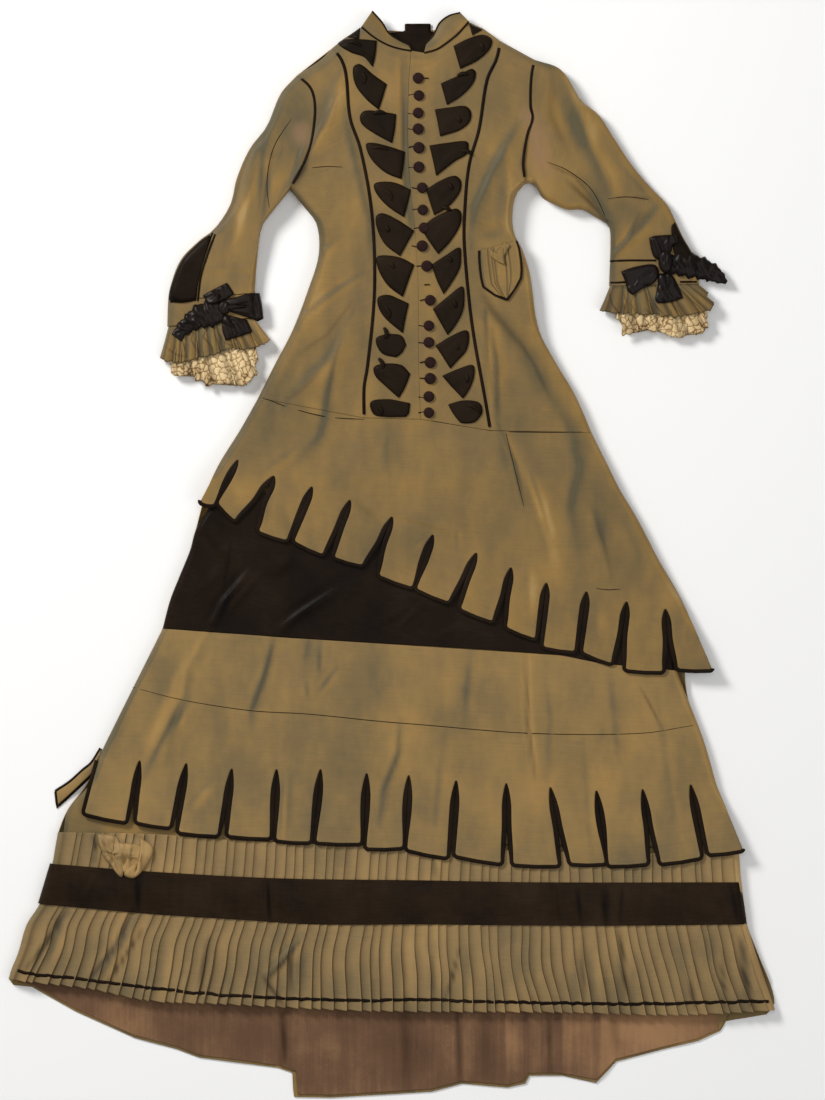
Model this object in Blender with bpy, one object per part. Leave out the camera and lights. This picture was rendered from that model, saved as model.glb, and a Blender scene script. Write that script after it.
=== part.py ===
"""Bustle dress of changeant silk and dark satin, laid flat on its back with its front up.

Every piece of cloth is a closed wall of its own. The dress is a row of flattened tubes: a back
that lies on the floor, and fronts, sleeves and overskirts that close on it along the sides.
Lengths in the tables are millimetres: x to the right, y from hem to neck, z up from the floor.
"""
import math

import bmesh
import bpy
import numpy as np
from mathutils import Vector

MM = 0.001

# Cloth and seams
CLOTH = 1.5
TRIM = 1.1
SEAM = 0.3
SEAT = 0.35
SEAT_SPACING = 2.5
LAYER_PITCH = 2.4
SIDE_ROUND = 10.0
ROUND_STEPS = ((0.0, 0.0), (0.293, 0.7071), (1.0, 1.0))

# Thickness of the tube that the dress makes as it lies: y, height of its top
TUBE_HEIGHTS = ((830, 25), (547, 28), (450, 26), (190, 21), (0, 16), (-420, 13), (-830, 12))

# Bodice lines: x, y
SHOULDER_LEFT = ((-142, 718), (-106, 742), (-89, 759))
SHOULDER_RIGHT = ((163, 770), (188, 756), (214, 742))
NECK_LEFT = ((-89, 759), (-71, 774), (-45, 790), (-27, 775), (-6, 763), (13, 757), (30, 754))
NECK_RIGHT = ((30, 754), (49, 751), (67, 756), (83, 766), (100, 780), (116, 798), (137, 789),
              (163, 770))
NECK_BACK = ((-142, 718), (-89, 759), (-45, 790), (-10, 787), (30, 785), (75, 788), (116, 798),
             (163, 770), (214, 742))
ARMHOLE_LEFT = ((-142, 718), (-122, 700), (-115, 678), (-116, 642), (-124, 603), (-152, 547))
ARMHOLE_RIGHT = ((214, 742), (209, 714), (208, 670), (211, 654), (203, 628), (197, 588), (200, 556))
SIDE_LEFT = ((-152, 547), (-130, 520), (-112, 495), (-109, 450), (-125, 397), (-148, 337),
             (-175, 285), (-200, 235))
SIDE_RIGHT = ((200, 556), (186, 538), (181, 500), (185, 478), (197, 456), (208, 418), (220, 340),
              (244, 292), (275, 240), (300, 183))
PRINCESS_LEFT = ((-89, 759), (-75, 741), (-68, 718), (-62, 654), (-47, 609), (-32, 532),
                 (-26, 463), (-26, 382), (-36, 282), (-41, 250), (-41, 205))
PRINCESS_RIGHT = ((163, 770), (157, 742), (143, 711), (131, 637), (116, 583), (109, 505),
                  (109, 463), (116, 382), (124, 322), (140, 234), (148, 186))
FRONT_EDGE = ((30, 754), (26, 700), (25, 607), (29, 547), (35, 490), (40, 412), (41, 285), (44, 203))
WAIST_SEAM = ((-200, 235), (-41, 205), (44, 203), (148, 186), (300, 183))
WAIST_BACK = ((-200, 235), (300, 183))
UNDERARM_AT = 0.34
ARMHOLE_ROWS = (0.0, 0.02, 0.065, 0.28, 0.52, 0.76, 0.935, 1.0)
SIDE_ROWS = (0.12, 0.25, 0.38, 0.51, 0.64, 0.76, 0.88, 1.0)

# Sleeve lines: x, y
SLEEVE_OUTER_LEFT = ((-142, 718), (-166, 691), (-187, 642), (-212, 609), (-232, 564), (-241, 526),
                     (-265, 489), (-287, 472), (-316, 442), (-332, 400), (-335, 376))
SLEEVE_INNER_LEFT = ((-152, 547), (-176, 517), (-194, 492), (-200, 456), (-205, 388))
SLEEVE_OUTER_RIGHT = ((214, 742), (254, 727), (286, 679), (310, 660), (333, 625), (364, 579),
                      (392, 547), (413, 525), (424, 504), (436, 478), (452, 450))
SLEEVE_INNER_RIGHT = ((200, 556), (213, 555), (226, 535), (244, 525), (263, 517), (286, 517),
                      (304, 507), (325, 493), (328, 469), (326, 403))
SLEEVE_ROWS = (0.0, 0.12, 0.26, 0.4, 0.52, 0.64, 0.76, 0.88, 1.0)
CUFF_HEIGHT = 17.0

# Cuff trims: lines from the outer to the inner side of the arm
RUFFLE_TOP_LEFT = ((-335, 375), (-205, 387))
RUFFLE_HEM_LEFT = ((-347, 294), (-332, 289), (-308, 289), (-285, 296), (-264, 300), (-243, 309),
                   (-213, 308), (-181, 321))
LACE_HEM_LEFT = ((-333, 272), (-322, 267), (-302, 270), (-285, 259), (-264, 253), (-251, 259),
                 (-231, 252), (-206, 265), (-203, 304))
RUFFLE_TOP_RIGHT = ((326, 402), (452, 449))
RUFFLE_HEM_RIGHT = ((312, 365), (349, 361), (390, 360), (433, 357), (465, 364), (481, 369), (470, 397))
LACE_HEM_RIGHT = ((337, 364), (352, 325), (369, 337), (404, 333), (433, 325), (439, 332),
                  (468, 333), (474, 366))
RUFFLE_WAVES = 12
LACE_WAVES = 12

# Overskirt: slit tops and tab feet (left corner x, y, right corner x, y)
APRON_SIDE_LEFT = ((-200, 235), (-227, 187), (-250, 150))
APRON_SIDE_RIGHT = ((300, 183), (322, 139), (343, 97), (370, 52), (400, -6), (439, -75))
APRON_SLITS = ((-230, 142), (-176, 118), (-119, 102), (-62, 82), (1, 57), (62, 30), (127, 3),
               (179, -19), (232, -42), (292, -55), (352, -70), (410, -81))
APRON_FEET = ((-286, 79, -266, 75), (-260, 78, -235, 52), (-199, 36, -157, 22), (-146, 21, -103, 1),
              (-86, -3, -44, -15), (-19, -30, 31, -48), (37, -50, 85, -70), (103, -80, 151, -99),
              (172, -108, 215, -125), (227, -137, 274, -144), (286, -145, 329, -162),
              (350, -171, 406, -174), (428, -170, 480, -171))
APRON_ROWS = (0.0, 0.12, 0.3, 0.5, 0.75, 1.0)
BINDING_WIDTH = 6.5

# Satin panel: x, y
SATIN_TOP = ((-264, 112), (-60, 60), (130, 20), (310, 60))
SATIN_SIDE_LEFT = ((-264, 112), (-274, 72), (-293, 39), (-302, 7), (-317, -30), (-332, -68),
                   (-343, -110))
SATIN_SIDE_RIGHT = ((310, 60), (380, 0), (412, -68), (424, -120), (427, -172))
SATIN_HEM = ((-343, -110), (-150, -124), (253, -150), (313, -162), (427, -172))
SATIN_ROWS = (0.0, 0.2, 0.4, 0.6, 0.8, 1.0)

# Tier: slit tops and tab feet as on the overskirt
TIER_SIDE_LEFT = ((-343, -110), (-434, -293), (-440, -308))
TIER_SIDE_RIGHT = ((428, -173), (445, -218), (468, -278), (487, -344))
TIER_TOP = ((-343, -110), (-150, -124), (253, -150), (313, -162), (428, -173))
TIER_SLITS = ((-377, -308), (-307, -312), (-239, -320), (-172, -321), (-106, -321), (-37, -327),
              (26, -330), (97, -338), (172, -342), (238, -348), (307, -353), (376, -351), (448, -344))
TIER_FEET = ((-460, -386, -398, -399), (-382, -399, -332, -407), (-319, -414, -260, -419),
             (-245, -419, -182, -423), (-173, -426, -122, -429), (-113, -429, -46, -431),
             (-38, -438, 17, -437), (23, -440, 83, -452), (95, -449, 164, -461),
             (182, -462, 250, -464), (268, -461, 320, -461), (325, -464, 383, -461),
             (403, -461, 463, -452), (475, -447, 526, -441))
TIER_ROWS = (0.0, 0.35, 0.7, 1.0)
TIER_FOOT_RISE = 4.6
APRON_FOOT_RISE = 1.2
TAB_SAG = 0.35
SIDE_DROP = 4.0

# Loose tab at the left side: upper x, y, lower x, y, height
SIDE_TAB = ((-434.9, -291, -441, -307, 8.6), (-449, -313, -450, -327, 8.6), (-461, -323, -461, -338, 8.2),
            (-481, -341, -479, -355, 3.2), (-503, -356, -500, -374, 1.6))

# Foundation skirt, flounce, ribbon and braid: x, y
SKIRT_TOP = ((-252, 100), (-60, 50), (130, 10), (300, 50))
SKIRT_SIDE_LEFT = ((-252, 100), (-278, 39), (-312, -68), (-328, -115), (-418, -298), (-450, -342),
                   (-485, -381), (-492, -418), (-500, -465), (-516, -522), (-534, -560), (-552, -625))
SKIRT_SIDE_RIGHT = ((300, 50), (370, -6), (402, -68), (416, -120), (420, -173), (438, -218),
                    (461, -278), (480, -353), (507, -425), (513, -465), (516, -522), (520, -554),
                    (548, -645))
SKIRT_HEM = ((-552, -625), (-350, -646), (0, -660), (300, -664), (548, -645))
SKIRT_ROWS = (0.0, 0.12, 0.24, 0.34, 0.45, 0.56, 0.66, 0.78, 0.89, 1.0)
FLOUNCE_TOP = ((-500, -415), (-356, -418), (-251, -426), (0, -437), (260, -444), (521, -448))
FLOUNCE_SIDE_LEFT = ((-500, -415), (-509, -465), (-527, -522), (-547, -554), (-559, -594), (-574, -635))
FLOUNCE_SIDE_RIGHT = ((521, -448), (524, -485), (528, -522), (533, -554), (575, -682))
FLOUNCE_HEM = ((-574, -635), (-542, -639), (-457, -649), (-364, -667), (-251, -672), (-58, -682),
               (125, -684), (274, -685), (424, -689), (575, -682))
FLOUNCE_ROWS = (0.0, 0.26, 0.42, 1.0)
PLEATS = 66
PLEAT_DEPTHS = (1.7, 1.0, 1.0, 3.0)
PLEAT_LEAN = 0.82
RIBBON_TOP = ((-500, -463), (-359, -474), (-169, -484), (43, -487), (221, -490), (514, -490))
RIBBON_FOOT = ((-517, -522), (-364, -537), (-226, -546), (-113, -553), (43, -553), (293, -555),
               (521, -553))
BRAID_LINE = ((-556, -625), (-457, -636), (-364, -648), (-251, -659), (-58, -667), (43, -666),
              (143, -669), (359, -670), (560, -671))
BRAID_WIDTH = 5.0

# Back skirt and train: x, y
BACK_SIDE_LEFT = ((-200, 235), (-227, 187), (-257, 139), (-277, 97), (-283, 78), (-293, 39),
                  (-305, -8), (-332, -68), (-343, -110), (-434, -293), (-458, -345), (-485, -381),
                  (-500, -418), (-509, -465), (-527, -522), (-547, -554), (-559, -594),
                  (-574, -635), (-567, -645))
BACK_SIDE_RIGHT = ((300, 183), (322, 139), (343, 97), (370, 52), (400, -6), (439, -75), (450, -110),
                   (440, -165), (445, -218), (468, -278), (487, -344), (515, -425), (524, -485),
                   (528, -522), (533, -554), (548, -594), (575, -668), (563, -689))
TRAIN_EDGE = ((-567, -645), (-539, -648), (-473, -685), (-386, -724), (-323, -741), (-288, -754),
              (-171, -769), (-147, -777), (-146, -813), (-92, -814), (13, -808), (61, -805),
              (106, -793), (174, -799), (201, -793), (207, -781), (256, -781), (307, -792),
              (337, -760), (405, -742), (460, -729), (493, -714), (497, -700), (563, -689))
BACK_ROWS = (0.0, 0.12, 0.25, 0.4, 0.55, 0.7, 0.84, 0.94, 1.0)
HEM_AT = 0.94
BACK_MARGIN = 0.022
LINING_TOP = ((-540, -612), (-200, -640), (150, -652), (488, -655))
LINING_EDGE = ((-560, -640), (-537, -645), (-473, -681), (-386, -720), (-323, -737), (-288, -750),
               (-171, -765), (-143, -774), (-141, -809), (-92, -810), (13, -804), (61, -801),
               (106, -789), (174, -795), (198, -789), (205, -777), (256, -777), (307, -787),
               (336, -756), (405, -738), (460, -725), (490, -711))
LINING_ROWS = (0.0, 0.45, 0.8, 1.0)
# Folds of the train: x, height, half width
TRAIN_FOLDS = ((-152, 4.0, 14), (-60, 2.0, 20), (103, 5.0, 16), (205, 4.0, 14), (252, 4.5, 12),
               (312, 5.5, 16), (405, 2.0, 22))

# Soft folds of the upper cloth: start x, y, end x, y, half width, height
FOLDS = (
    (140, 378, 205, 318, 15, 5.0),
    (205, 318, 272, 190, 16, 5.5),
    (-50, 418, -132, 356, 15, 3.5),
    (-60, 600, -112, 580, 12, 3.0),
    (150, 690, 190, 600, 14, 3.0),
    (160, 560, 185, 470, 12, 3.0),
    (-120, 330, -60, 250, 16, 3.0),
    (-88, 230, -118, 160, 16, 4.0),
    (-118, 160, -166, 128, 14, 3.0),
    (238, 140, 262, -30, 16, 3.5),
    (170, 150, 186, 20, 15, 2.5),
    (60, 180, 70, 60, 16, 2.0),
    (330, 90, 372, -40, 15, 3.0),
    (-190, 630, -150, 600, 14, 4.0),
    (-225, 530, -165, 560, 14, 4.0),
    (-265, 440, -215, 470, 14, 4.5),
    (240, 690, 260, 600, 16, 4.5),
    (300, 610, 330, 540, 15, 4.5),
    (360, 550, 345, 480, 15, 4.5),
)
SATIN_FOLDS = (
    (-245, 30, -170, -95, 15, 4.0),
    (-180, 0, -90, -100, 15, 4.0),
    (-95, -45, -10, -112, 13, 3.5),
    (15, -88, 80, -128, 11, 2.0),
    (-295, -20, -255, -98, 13, 3.0),
)

# Collar: seam x, y, edge x, y
COLLAR_LEFT = ((-45, 790, -29, 814), (-27, 775, -13, 795), (-6, 763, -4, 779), (13, 757, 10, 769),
               (30, 754, 26, 762))
COLLAR_RIGHT = ((116, 798, 103, 812), (100, 780, 86, 807), (83, 766, 74, 797), (67, 756, 64, 778),
                (49, 751, 52, 764))
COLLAR_DROP = 6.0
COLLAR_REACH = 3.0
NECK_LINING = ((-4, 733, 67, 733), (-4, 783, 67, 783))
NECK_TAB = (20, 59, 797)

# Flaps: left x, right x, lower y, upper y
FLAPS_LEFT = ((-83, -22, 728, 772), (-59, -8, 660, 728), (-50, 6, 615, 659), (-38, 18, 560, 612),
              (-26, 26, 506, 557), (-24, 30, 447, 504), (-23, 29, 387, 445), (-21, 24, 330, 384),
              (-23, 20, 297, 328), (-26, 26, 233, 288), (-32, 24, 206, 231))
FLAPS_RIGHT = ((91, 151, 731, 776), (73, 130, 672, 727), (64, 121, 629, 670), (57, 115, 568, 618),
               (58, 109, 508, 567), (60, 106, 451, 505), (61, 104, 389, 447), (70, 112, 329, 386),
               (67, 116, 275, 326), (75, 124, 230, 272), (84, 138, 196, 226))
FLAP_DOME = 2.2

# Buttons: x, y
BUTTON_PLACES = ((40, 713), (41, 687), (40, 661), (40, 637), (41, 609), (41, 580), (46, 549),
                 (47, 516), (49, 489), (46, 462), (53, 432), (58, 381), (56, 343), (56, 318),
                 (58, 288), (58, 264), (56, 237), (56, 213))
BUTTON_RADIUS = 8.5
BUTTON_HEIGHT = 5.0
BUTTON_SIDES = 10
PIPING_WIDTH = 5.5

# Pocket: left x, y, right x, y
POCKET_ROWS = ((131, 454, 179, 466), (133, 430, 185, 440), (136, 408, 190, 416), (145, 398, 184, 400),
               (166, 384, 178, 385))
POCKET_PLEATS = (0.0, 1.6, 0.4, 2.0, 0.4, 1.6, 0.0)

# Bows: knot x, y and loops (tip x, y, half width at the tip, rise)
BOW_LEFT = ((-248, 372), ((-279, 404, 12, 9), (-194, 378, 15, 10), (-214, 340, 12, 7)))
BOW_RIGHT = ((413, 427), ((345, 409, 15, 10), (408, 476, 17, 10), (420, 384, 14, 7)))
POCKET_BOW = ((162, 455), ((147, 459, 6, 3), (177, 462, 6, 3)))
BOW_KNOT = 9.0
CUFF_RIBBON_LEFT = ((-262, 364), (-290, 350), (-326, 332))
CUFF_RIBBON_RIGHT = ((426, 430), (455, 437), (496, 424))
CUFF_RIBBON_WIDTH = 19.0
RUCHES = 8

# Finishes: base colour, roughness
FINISHES = {
    "silk": ((0.27, 0.19, 0.09), 0.45),
    "satin": ((0.025, 0.017, 0.012), 0.35),
    "silk_lining": ((0.19, 0.11, 0.065), 0.6),
    "lace": ((0.52, 0.36, 0.17), 0.8),
    "button": ((0.03, 0.011, 0.009), 0.5),
}
FINISH_METAL = 0.0

facets = {}


def start_clean():
    """Empty the file of its objects."""
    for thing in list(bpy.data.objects):
        bpy.data.objects.remove(thing, do_unlink=True)


def finish_material(finish):
    """The Principled material of a finish, made once."""
    material = bpy.data.materials.get(finish)
    if material is None:
        colour, roughness = FINISHES[finish]
        material = bpy.data.materials.new(finish)
        material.use_nodes = True
        shader = material.node_tree.nodes["Principled BSDF"]
        shader.inputs["Base Color"].default_value = (*colour, 1.0)
        shader.inputs["Roughness"].default_value = roughness
        shader.inputs["Metallic"].default_value = FINISH_METAL
    return material


def interpolate(table, at):
    """Value at a place in a table of (place, value) rows, which may run either way."""
    rows = sorted(table)
    return float(np.interp(at, [row[0] for row in rows], [row[1] for row in rows]))


def tube_half(y):
    """Half the thickness of the flattened tube at a height up the dress."""
    return interpolate(TUBE_HEIGHTS, y) / 2


class Line:
    """A line of straight stretches, read by the fraction of its length."""

    def __init__(self, points):
        self.points = np.array(points, dtype=float)
        steps = np.linalg.norm(np.diff(self.points, axis=0), axis=1)
        self.at = np.concatenate(([0.0], np.cumsum(steps))) / steps.sum()

    def point(self, fraction):
        return np.array([np.interp(fraction, self.at, self.points[:, k]) for k in (0, 1)])


class TwoLines:
    """Two lines end to end, which meet at a set fraction."""

    def __init__(self, first, second, meeting):
        self.first = Line(first)
        self.second = Line(second)
        self.meeting = meeting

    def point(self, fraction):
        if fraction <= self.meeting:
            return self.first.point(fraction / self.meeting)
        return self.second.point((fraction - self.meeting) / (1 - self.meeting))


def coons(edges, u, v):
    """Point of the patch between four edges (left, right, top, foot)."""
    left, right, top, foot = edges
    across = (1 - u) * left.point(v) + u * right.point(v)
    down = (1 - v) * top.point(u) + v * foot.point(u)
    upper = (1 - u) * top.point(0) + u * top.point(1)
    lower = (1 - u) * foot.point(0) + u * foot.point(1)
    return across + down - ((1 - v) * upper + v * lower)


def fold_height(folds, x, y):
    """Height of the soft folds at a place."""
    total = 0.0
    for x0, y0, x1, y1, half_width, height in folds:
        start = np.array((x0, y0), dtype=float)
        run = np.array((x1 - x0, y1 - y0), dtype=float)
        fraction = np.clip(np.dot((x, y) - start, run) / np.dot(run, run), 0, 1)
        away = np.linalg.norm((x, y) - (start + fraction * run))
        total += height * math.exp(-((away / half_width) ** 2)) * math.sin(math.pi * (0.15 + 0.7 * fraction))
    return total


def closed_cloth(name, finish, outer, inner, cells):
    """One closed wall between an outer and an inner set of points, over four-sided cells."""
    outer = [np.array(p, dtype=float) for p in outer]
    inner = [np.array(p, dtype=float) for p in inner]
    count = len(outer)
    triangles = []
    for a, b, c, d in cells:
        triangles += [(a, b, c), (a, c, d)] if a != d else [(a, b, c)]
    edges = {}
    for a, b, c in triangles:
        for pair in ((a, b), (b, c), (c, a)):
            edges[pair] = edges.get(pair, 0) + 1
    mesh = bpy.data.meshes.new(name)
    made = bmesh.new()
    verts = [made.verts.new(Vector(p * MM)) for p in outer + inner]
    for a, b, c in triangles:
        made.faces.new((verts[a], verts[b], verts[c]))
        made.faces.new((verts[c + count], verts[b + count], verts[a + count]))
    for a, b in edges:
        if (b, a) not in edges:
            made.faces.new((verts[b], verts[a], verts[a + count]))
            made.faces.new((verts[b], verts[a + count], verts[b + count]))
    bmesh.ops.delete(made, geom=[v for v in made.verts if not v.link_faces], context="VERTS")
    bmesh.ops.recalc_face_normals(made, faces=made.faces)
    made.to_mesh(mesh)
    made.free()
    mesh.materials.append(finish_material(finish))
    thing = bpy.data.objects.new(name, mesh)
    bpy.context.scene.collection.objects.link(thing)
    corners = np.array([[outer[i] for i in triangle] for triangle in triangles])
    facets[name] = corners
    return thing


def height_on(names, x, y):
    """Height of the highest outer facet of the named pieces at a place, or None."""
    best = None
    for name in names:
        a, b, c = (facets[name][:, k, :] for k in range(3))
        across = (b[:, 0] - a[:, 0]) * (c[:, 1] - a[:, 1]) - (c[:, 0] - a[:, 0]) * (b[:, 1] - a[:, 1])
        across = np.where(np.abs(across) < 1e-9, 1e-9, across)
        s = ((x - a[:, 0]) * (c[:, 1] - a[:, 1]) - (c[:, 0] - a[:, 0]) * (y - a[:, 1])) / across
        t = ((b[:, 0] - a[:, 0]) * (y - a[:, 1]) - (x - a[:, 0]) * (b[:, 1] - a[:, 1])) / across
        inside = (s >= -1e-6) & (t >= -1e-6) & (s + t <= 1 + 1e-6)
        if inside.any():
            z = (a[:, 2] + s * (b[:, 2] - a[:, 2]) + t * (c[:, 2] - a[:, 2]))[inside].max()
            best = z if best is None else max(best, z)
    return best


def seated_heights(places, cells, names, lift):
    """Heights that lay flat cells on the named pieces, clear of every facet below them."""
    heights = np.full(len(places), -1e9)
    for k, (x, y) in enumerate(places):
        below = height_on(names, x, y)
        heights[k] = -1e9 if below is None else below + lift
    known = heights > -1e8
    nearest = [int(np.argmin([np.hypot(x - p[0], y - p[1]) if ok else 1e9
                              for p, ok in zip(places, known)])) for x, y in places]
    heights = np.array([heights[k] if ok else heights[near]
                        for k, (ok, near) in enumerate(zip(known, nearest))])
    for _ in range(3):
        for cell in cells:
            for trio in (cell[:3], (cell[0], cell[2], cell[3])):
                corners = np.array([places[i] for i in trio], dtype=float)
                reach = max(np.linalg.norm(corners[0] - corners[1]), np.linalg.norm(corners[0] - corners[2]))
                steps = np.linspace(0, 1, max(4, int(reach / SEAT_SPACING) + 2))
                for s in steps:
                    for t in steps:
                        if s + t > 1:
                            continue
                        weight = np.array((1 - s - t, s, t))
                        x, y = weight @ corners
                        below = height_on(names, x, y)
                        lack = 0 if below is None else below + lift - weight @ heights[list(trio)]
                        if lack > 0.01:
                            for i, share in zip(trio, weight):
                                heights[i] += lack * share / (weight @ weight)
    return heights


def grid_cells(rows, columns, start=0, wrap=False):
    """Cells of a grid of points that are stored row by row."""
    cells = []
    for r in range(rows - 1):
        for c in range(columns if wrap else columns - 1):
            a = start + r * columns + c
            b = start + r * columns + (c + 1) % columns
            cells.append((a, b, b + columns, a + columns))
    return cells


def column_steps(width, between, round_left, round_right):
    """Fractions across a row, with the share of full height and the side of each column."""
    share = SIDE_ROUND / width
    low = share if round_left else 0.0
    high = 1 - share if round_right else 1.0
    columns = [(share * d, a, -1) for d, a in ROUND_STEPS[:-1]] if round_left else []
    columns += [(low + (high - low) * k, 1.0, 0) for k in between]
    if round_right:
        columns += [(1 - share * d, a, 1) for d, a in reversed(ROUND_STEPS[:-1])]
    return columns


def shell_points(place, flank, lean, rise, level, wall, upper):
    """Outer and inner point of a wall that rounds down to a seam at half the tube's thickness."""
    middle = tube_half(place[1])
    half = middle + (level * LAYER_PITCH if upper else 0.0)
    turn = 1.0 if upper else -1.0
    normal = np.array((flank[0] * lean[0], flank[1] * lean[0] + lean[1], max(rise, 0.0)))
    normal /= np.linalg.norm(normal)
    z = middle + turn * (SEAM / 2 + (half - SEAM / 2) * rise)
    outer = np.array((place[0], place[1], z))
    return outer, outer - wall * normal * np.array((1.0, 1.0, turn))


def body_panel(name, finish, edges, rows, between, round_left=False, round_right=False,
               upper=True, level=0.0, folds=(), closure=None, top_closure=None, wall=CLOTH):
    """A panel of the body: a patch between four edges, rounded down to its side seams."""
    outer, inner = [], []
    columns = 0
    for r, v in enumerate(rows):
        start, end = edges[0].point(v), edges[1].point(v)
        width = np.linalg.norm(end - start)
        flank = (end - start) / width
        steps = column_steps(width, between, round_left, round_right)
        columns = len(steps)
        shut = 1.0 if closure is None else closure(v)
        for c, (u, height, side) in enumerate(steps):
            place = coons(edges, u, v)
            if c == 0 and not round_left:
                place = place + (SEAM / 2, 0)
            if c == columns - 1 and not round_right:
                place = place - (SEAM / 2, 0)
            capped = 0.0
            if top_closure is not None and r < len(ROUND_STEPS):
                capped = top_closure(u)
            row_height = ROUND_STEPS[min(r, len(ROUND_STEPS) - 1)][1]
            rise = (1 - shut * (1 - height)) * (1 - capped * (1 - row_height))
            lean = (shut * side * math.sqrt(1 - height ** 2), capped * math.sqrt(1 - row_height ** 2))
            above = level(place[1]) if callable(level) else level
            a, b = shell_points(place, flank, lean, rise, above, wall, upper)
            fold = (0, 0, fold_height(folds, *place) * (height == 1.0) * (1 - capped))
            outer.append(a + fold)
            inner.append(b + fold)
    return closed_cloth(name, finish, outer, inner, grid_cells(len(rows), columns))


def even(count):
    """Even fractions from 0 to 1, as many as asked."""
    return tuple(k / (count - 1) for k in range(count))


def bodice_rows():
    """Rows of the bodice: those of the armhole, then those of the side seam."""
    upper = [UNDERARM_AT * f for f in ARMHOLE_ROWS]
    return upper + [UNDERARM_AT + (1 - UNDERARM_AT) * f for f in SIDE_ROWS]


def below_underarm(v):
    """The side is a closed seam from the underarm down, and open along the armhole."""
    return 1.0 if v >= UNDERARM_AT - 1e-6 else 0.0


def make_bodice():
    """Back, side fronts, centre fronts and the lining that shows in the neck."""
    rows = bodice_rows()
    side_left = TwoLines(ARMHOLE_LEFT, SIDE_LEFT, UNDERARM_AT)
    side_right = TwoLines(ARMHOLE_RIGHT, SIDE_RIGHT, UNDERARM_AT)
    princess_left, princess_right = Line(PRINCESS_LEFT), Line(PRINCESS_RIGHT)
    front_edge = Line(FRONT_EDGE)
    foot = waist_stretches()
    body_panel("bodice_back", "silk", (side_left, side_right, Line(NECK_BACK), Line(WAIST_BACK)), rows,
               even(7),
               True, True, upper=False, closure=below_underarm, top_closure=back_shoulder)
    body_panel("side_front_left", "silk", (side_left, princess_left, Line(SHOULDER_LEFT), foot[0]),
               rows, even(5), True, False, folds=FOLDS, closure=below_underarm,
               top_closure=lambda u: 1.0)
    body_panel("centre_front_left", "silk", (princess_left, front_edge, Line(NECK_LEFT), foot[1]),
               rows, tuple(Line(NECK_LEFT).at), folds=FOLDS,
               top_closure=lambda u: 1.0 if u < 0.4 else 0.0)
    body_panel("centre_front_right", "silk", (front_edge, princess_right, Line(NECK_RIGHT), foot[2]),
               rows, tuple(Line(NECK_RIGHT).at), folds=FOLDS,
               top_closure=lambda u: 1.0 if u > 0.64 else 0.0)
    body_panel("side_front_right", "silk", (princess_right, side_right, Line(SHOULDER_RIGHT), foot[3]),
               rows, even(7), False, True, folds=FOLDS, closure=below_underarm,
               top_closure=lambda u: 1.0)
    (x0, y0, x1, _), (_, y1, _, _) = NECK_LINING
    tab_left, tab_right, tab_top = NECK_TAB
    places = [(x0, y1), (tab_left, y1), (tab_right, y1), (x1, y1), (x0, y0), (tab_left, y0),
              (tab_right, y0), (x1, y0), (tab_left, tab_top), (tab_right, tab_top)]
    cells = grid_cells(2, 4) + [(8, 9, 2, 1)]
    floor_height = CLOTH + SEAT + TRIM
    outer = [(x, y, floor_height) for x, y in places]
    inner = [(x, y, floor_height - TRIM) for x, y in places]
    closed_cloth("neck_lining", "satin", outer, inner, cells)


def back_shoulder(u):
    """The back closes on the front along the shoulders and is open at the neck."""
    return 0.0 if 0.27 < u < 0.73 else 1.0


def waist_stretches():
    """The bodice's lower seam, cut where the princess seams and the front edge meet it."""
    marks = (-41, 44, 148)
    stretches, current = [], [WAIST_SEAM[0]]
    for point in WAIST_SEAM[1:]:
        current.append(point)
        if point[0] in marks:
            stretches.append(Line(current))
            current = [point]
    stretches.append(Line(current))
    return stretches


def sleeve_point(edges, u, v, rise, lean, upper, wall):
    """Outer and inner point of a sleeve, which thins from the armhole to the cuff."""
    place = coons(edges, u, v)
    flank = edges[1].point(v) - edges[0].point(v)
    flank /= np.linalg.norm(flank)
    middle = (1 - v) * tube_half(edges[2].point(u)[1]) + v * CUFF_HEIGHT / 2
    turn = 1.0 if upper else -1.0
    normal = np.array((flank[0] * lean, flank[1] * lean, max(rise, 0.0)))
    normal /= np.linalg.norm(normal)
    outer = np.array((place[0], place[1], middle + turn * (SEAM / 2 + (middle - SEAM / 2) * rise)))
    return outer, outer - wall * normal * np.array((1.0, 1.0, turn))


def sleeve_edges(side):
    """Edges of a sleeve patch, laid so that its columns run as the armhole's rows do."""
    if side == "left":
        return (Line(SLEEVE_OUTER_LEFT), Line(SLEEVE_INNER_LEFT), Line(ARMHOLE_LEFT),
                Line((SLEEVE_OUTER_LEFT[-1], SLEEVE_INNER_LEFT[-1])))
    return (Line(SLEEVE_OUTER_RIGHT), Line(SLEEVE_INNER_RIGHT), Line(ARMHOLE_RIGHT),
            Line((SLEEVE_OUTER_RIGHT[-1], SLEEVE_INNER_RIGHT[-1])))


def make_sleeve(side):
    """Upper and under sleeve, open at the armhole and at the cuff."""
    edges = sleeve_edges(side)
    out = -1.0 if side == "left" else 1.0
    columns = ARMHOLE_ROWS
    heights = (0.0, 0.7071) + (1.0,) * (len(columns) - 3) + (0.0,)
    sides = (-1, -1) + (0,) * (len(columns) - 3) + (1,)
    for part, upper in (("upper", True), ("under", False)):
        outer, inner = [], []
        for r, v in enumerate(SLEEVE_ROWS):
            for u, height, turn in zip(columns, heights, sides):
                lean = turn * math.sqrt(1 - height ** 2)
                a, b = sleeve_point(edges, u, v, height, lean, upper, CLOTH)
                seam = np.array((out * SEAM, 0, 0)) if r == 0 else np.zeros(3)
                fold = np.array((0, 0, fold_height(FOLDS, a[0], a[1]) if upper and not turn else 0.0))
                outer.append(a + seam + fold)
                inner.append(b + seam + fold)
        name = f"sleeve_{part}_{side}"
        closed_cloth(name, "silk", outer, inner, grid_cells(len(SLEEVE_ROWS), len(columns)))


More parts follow.
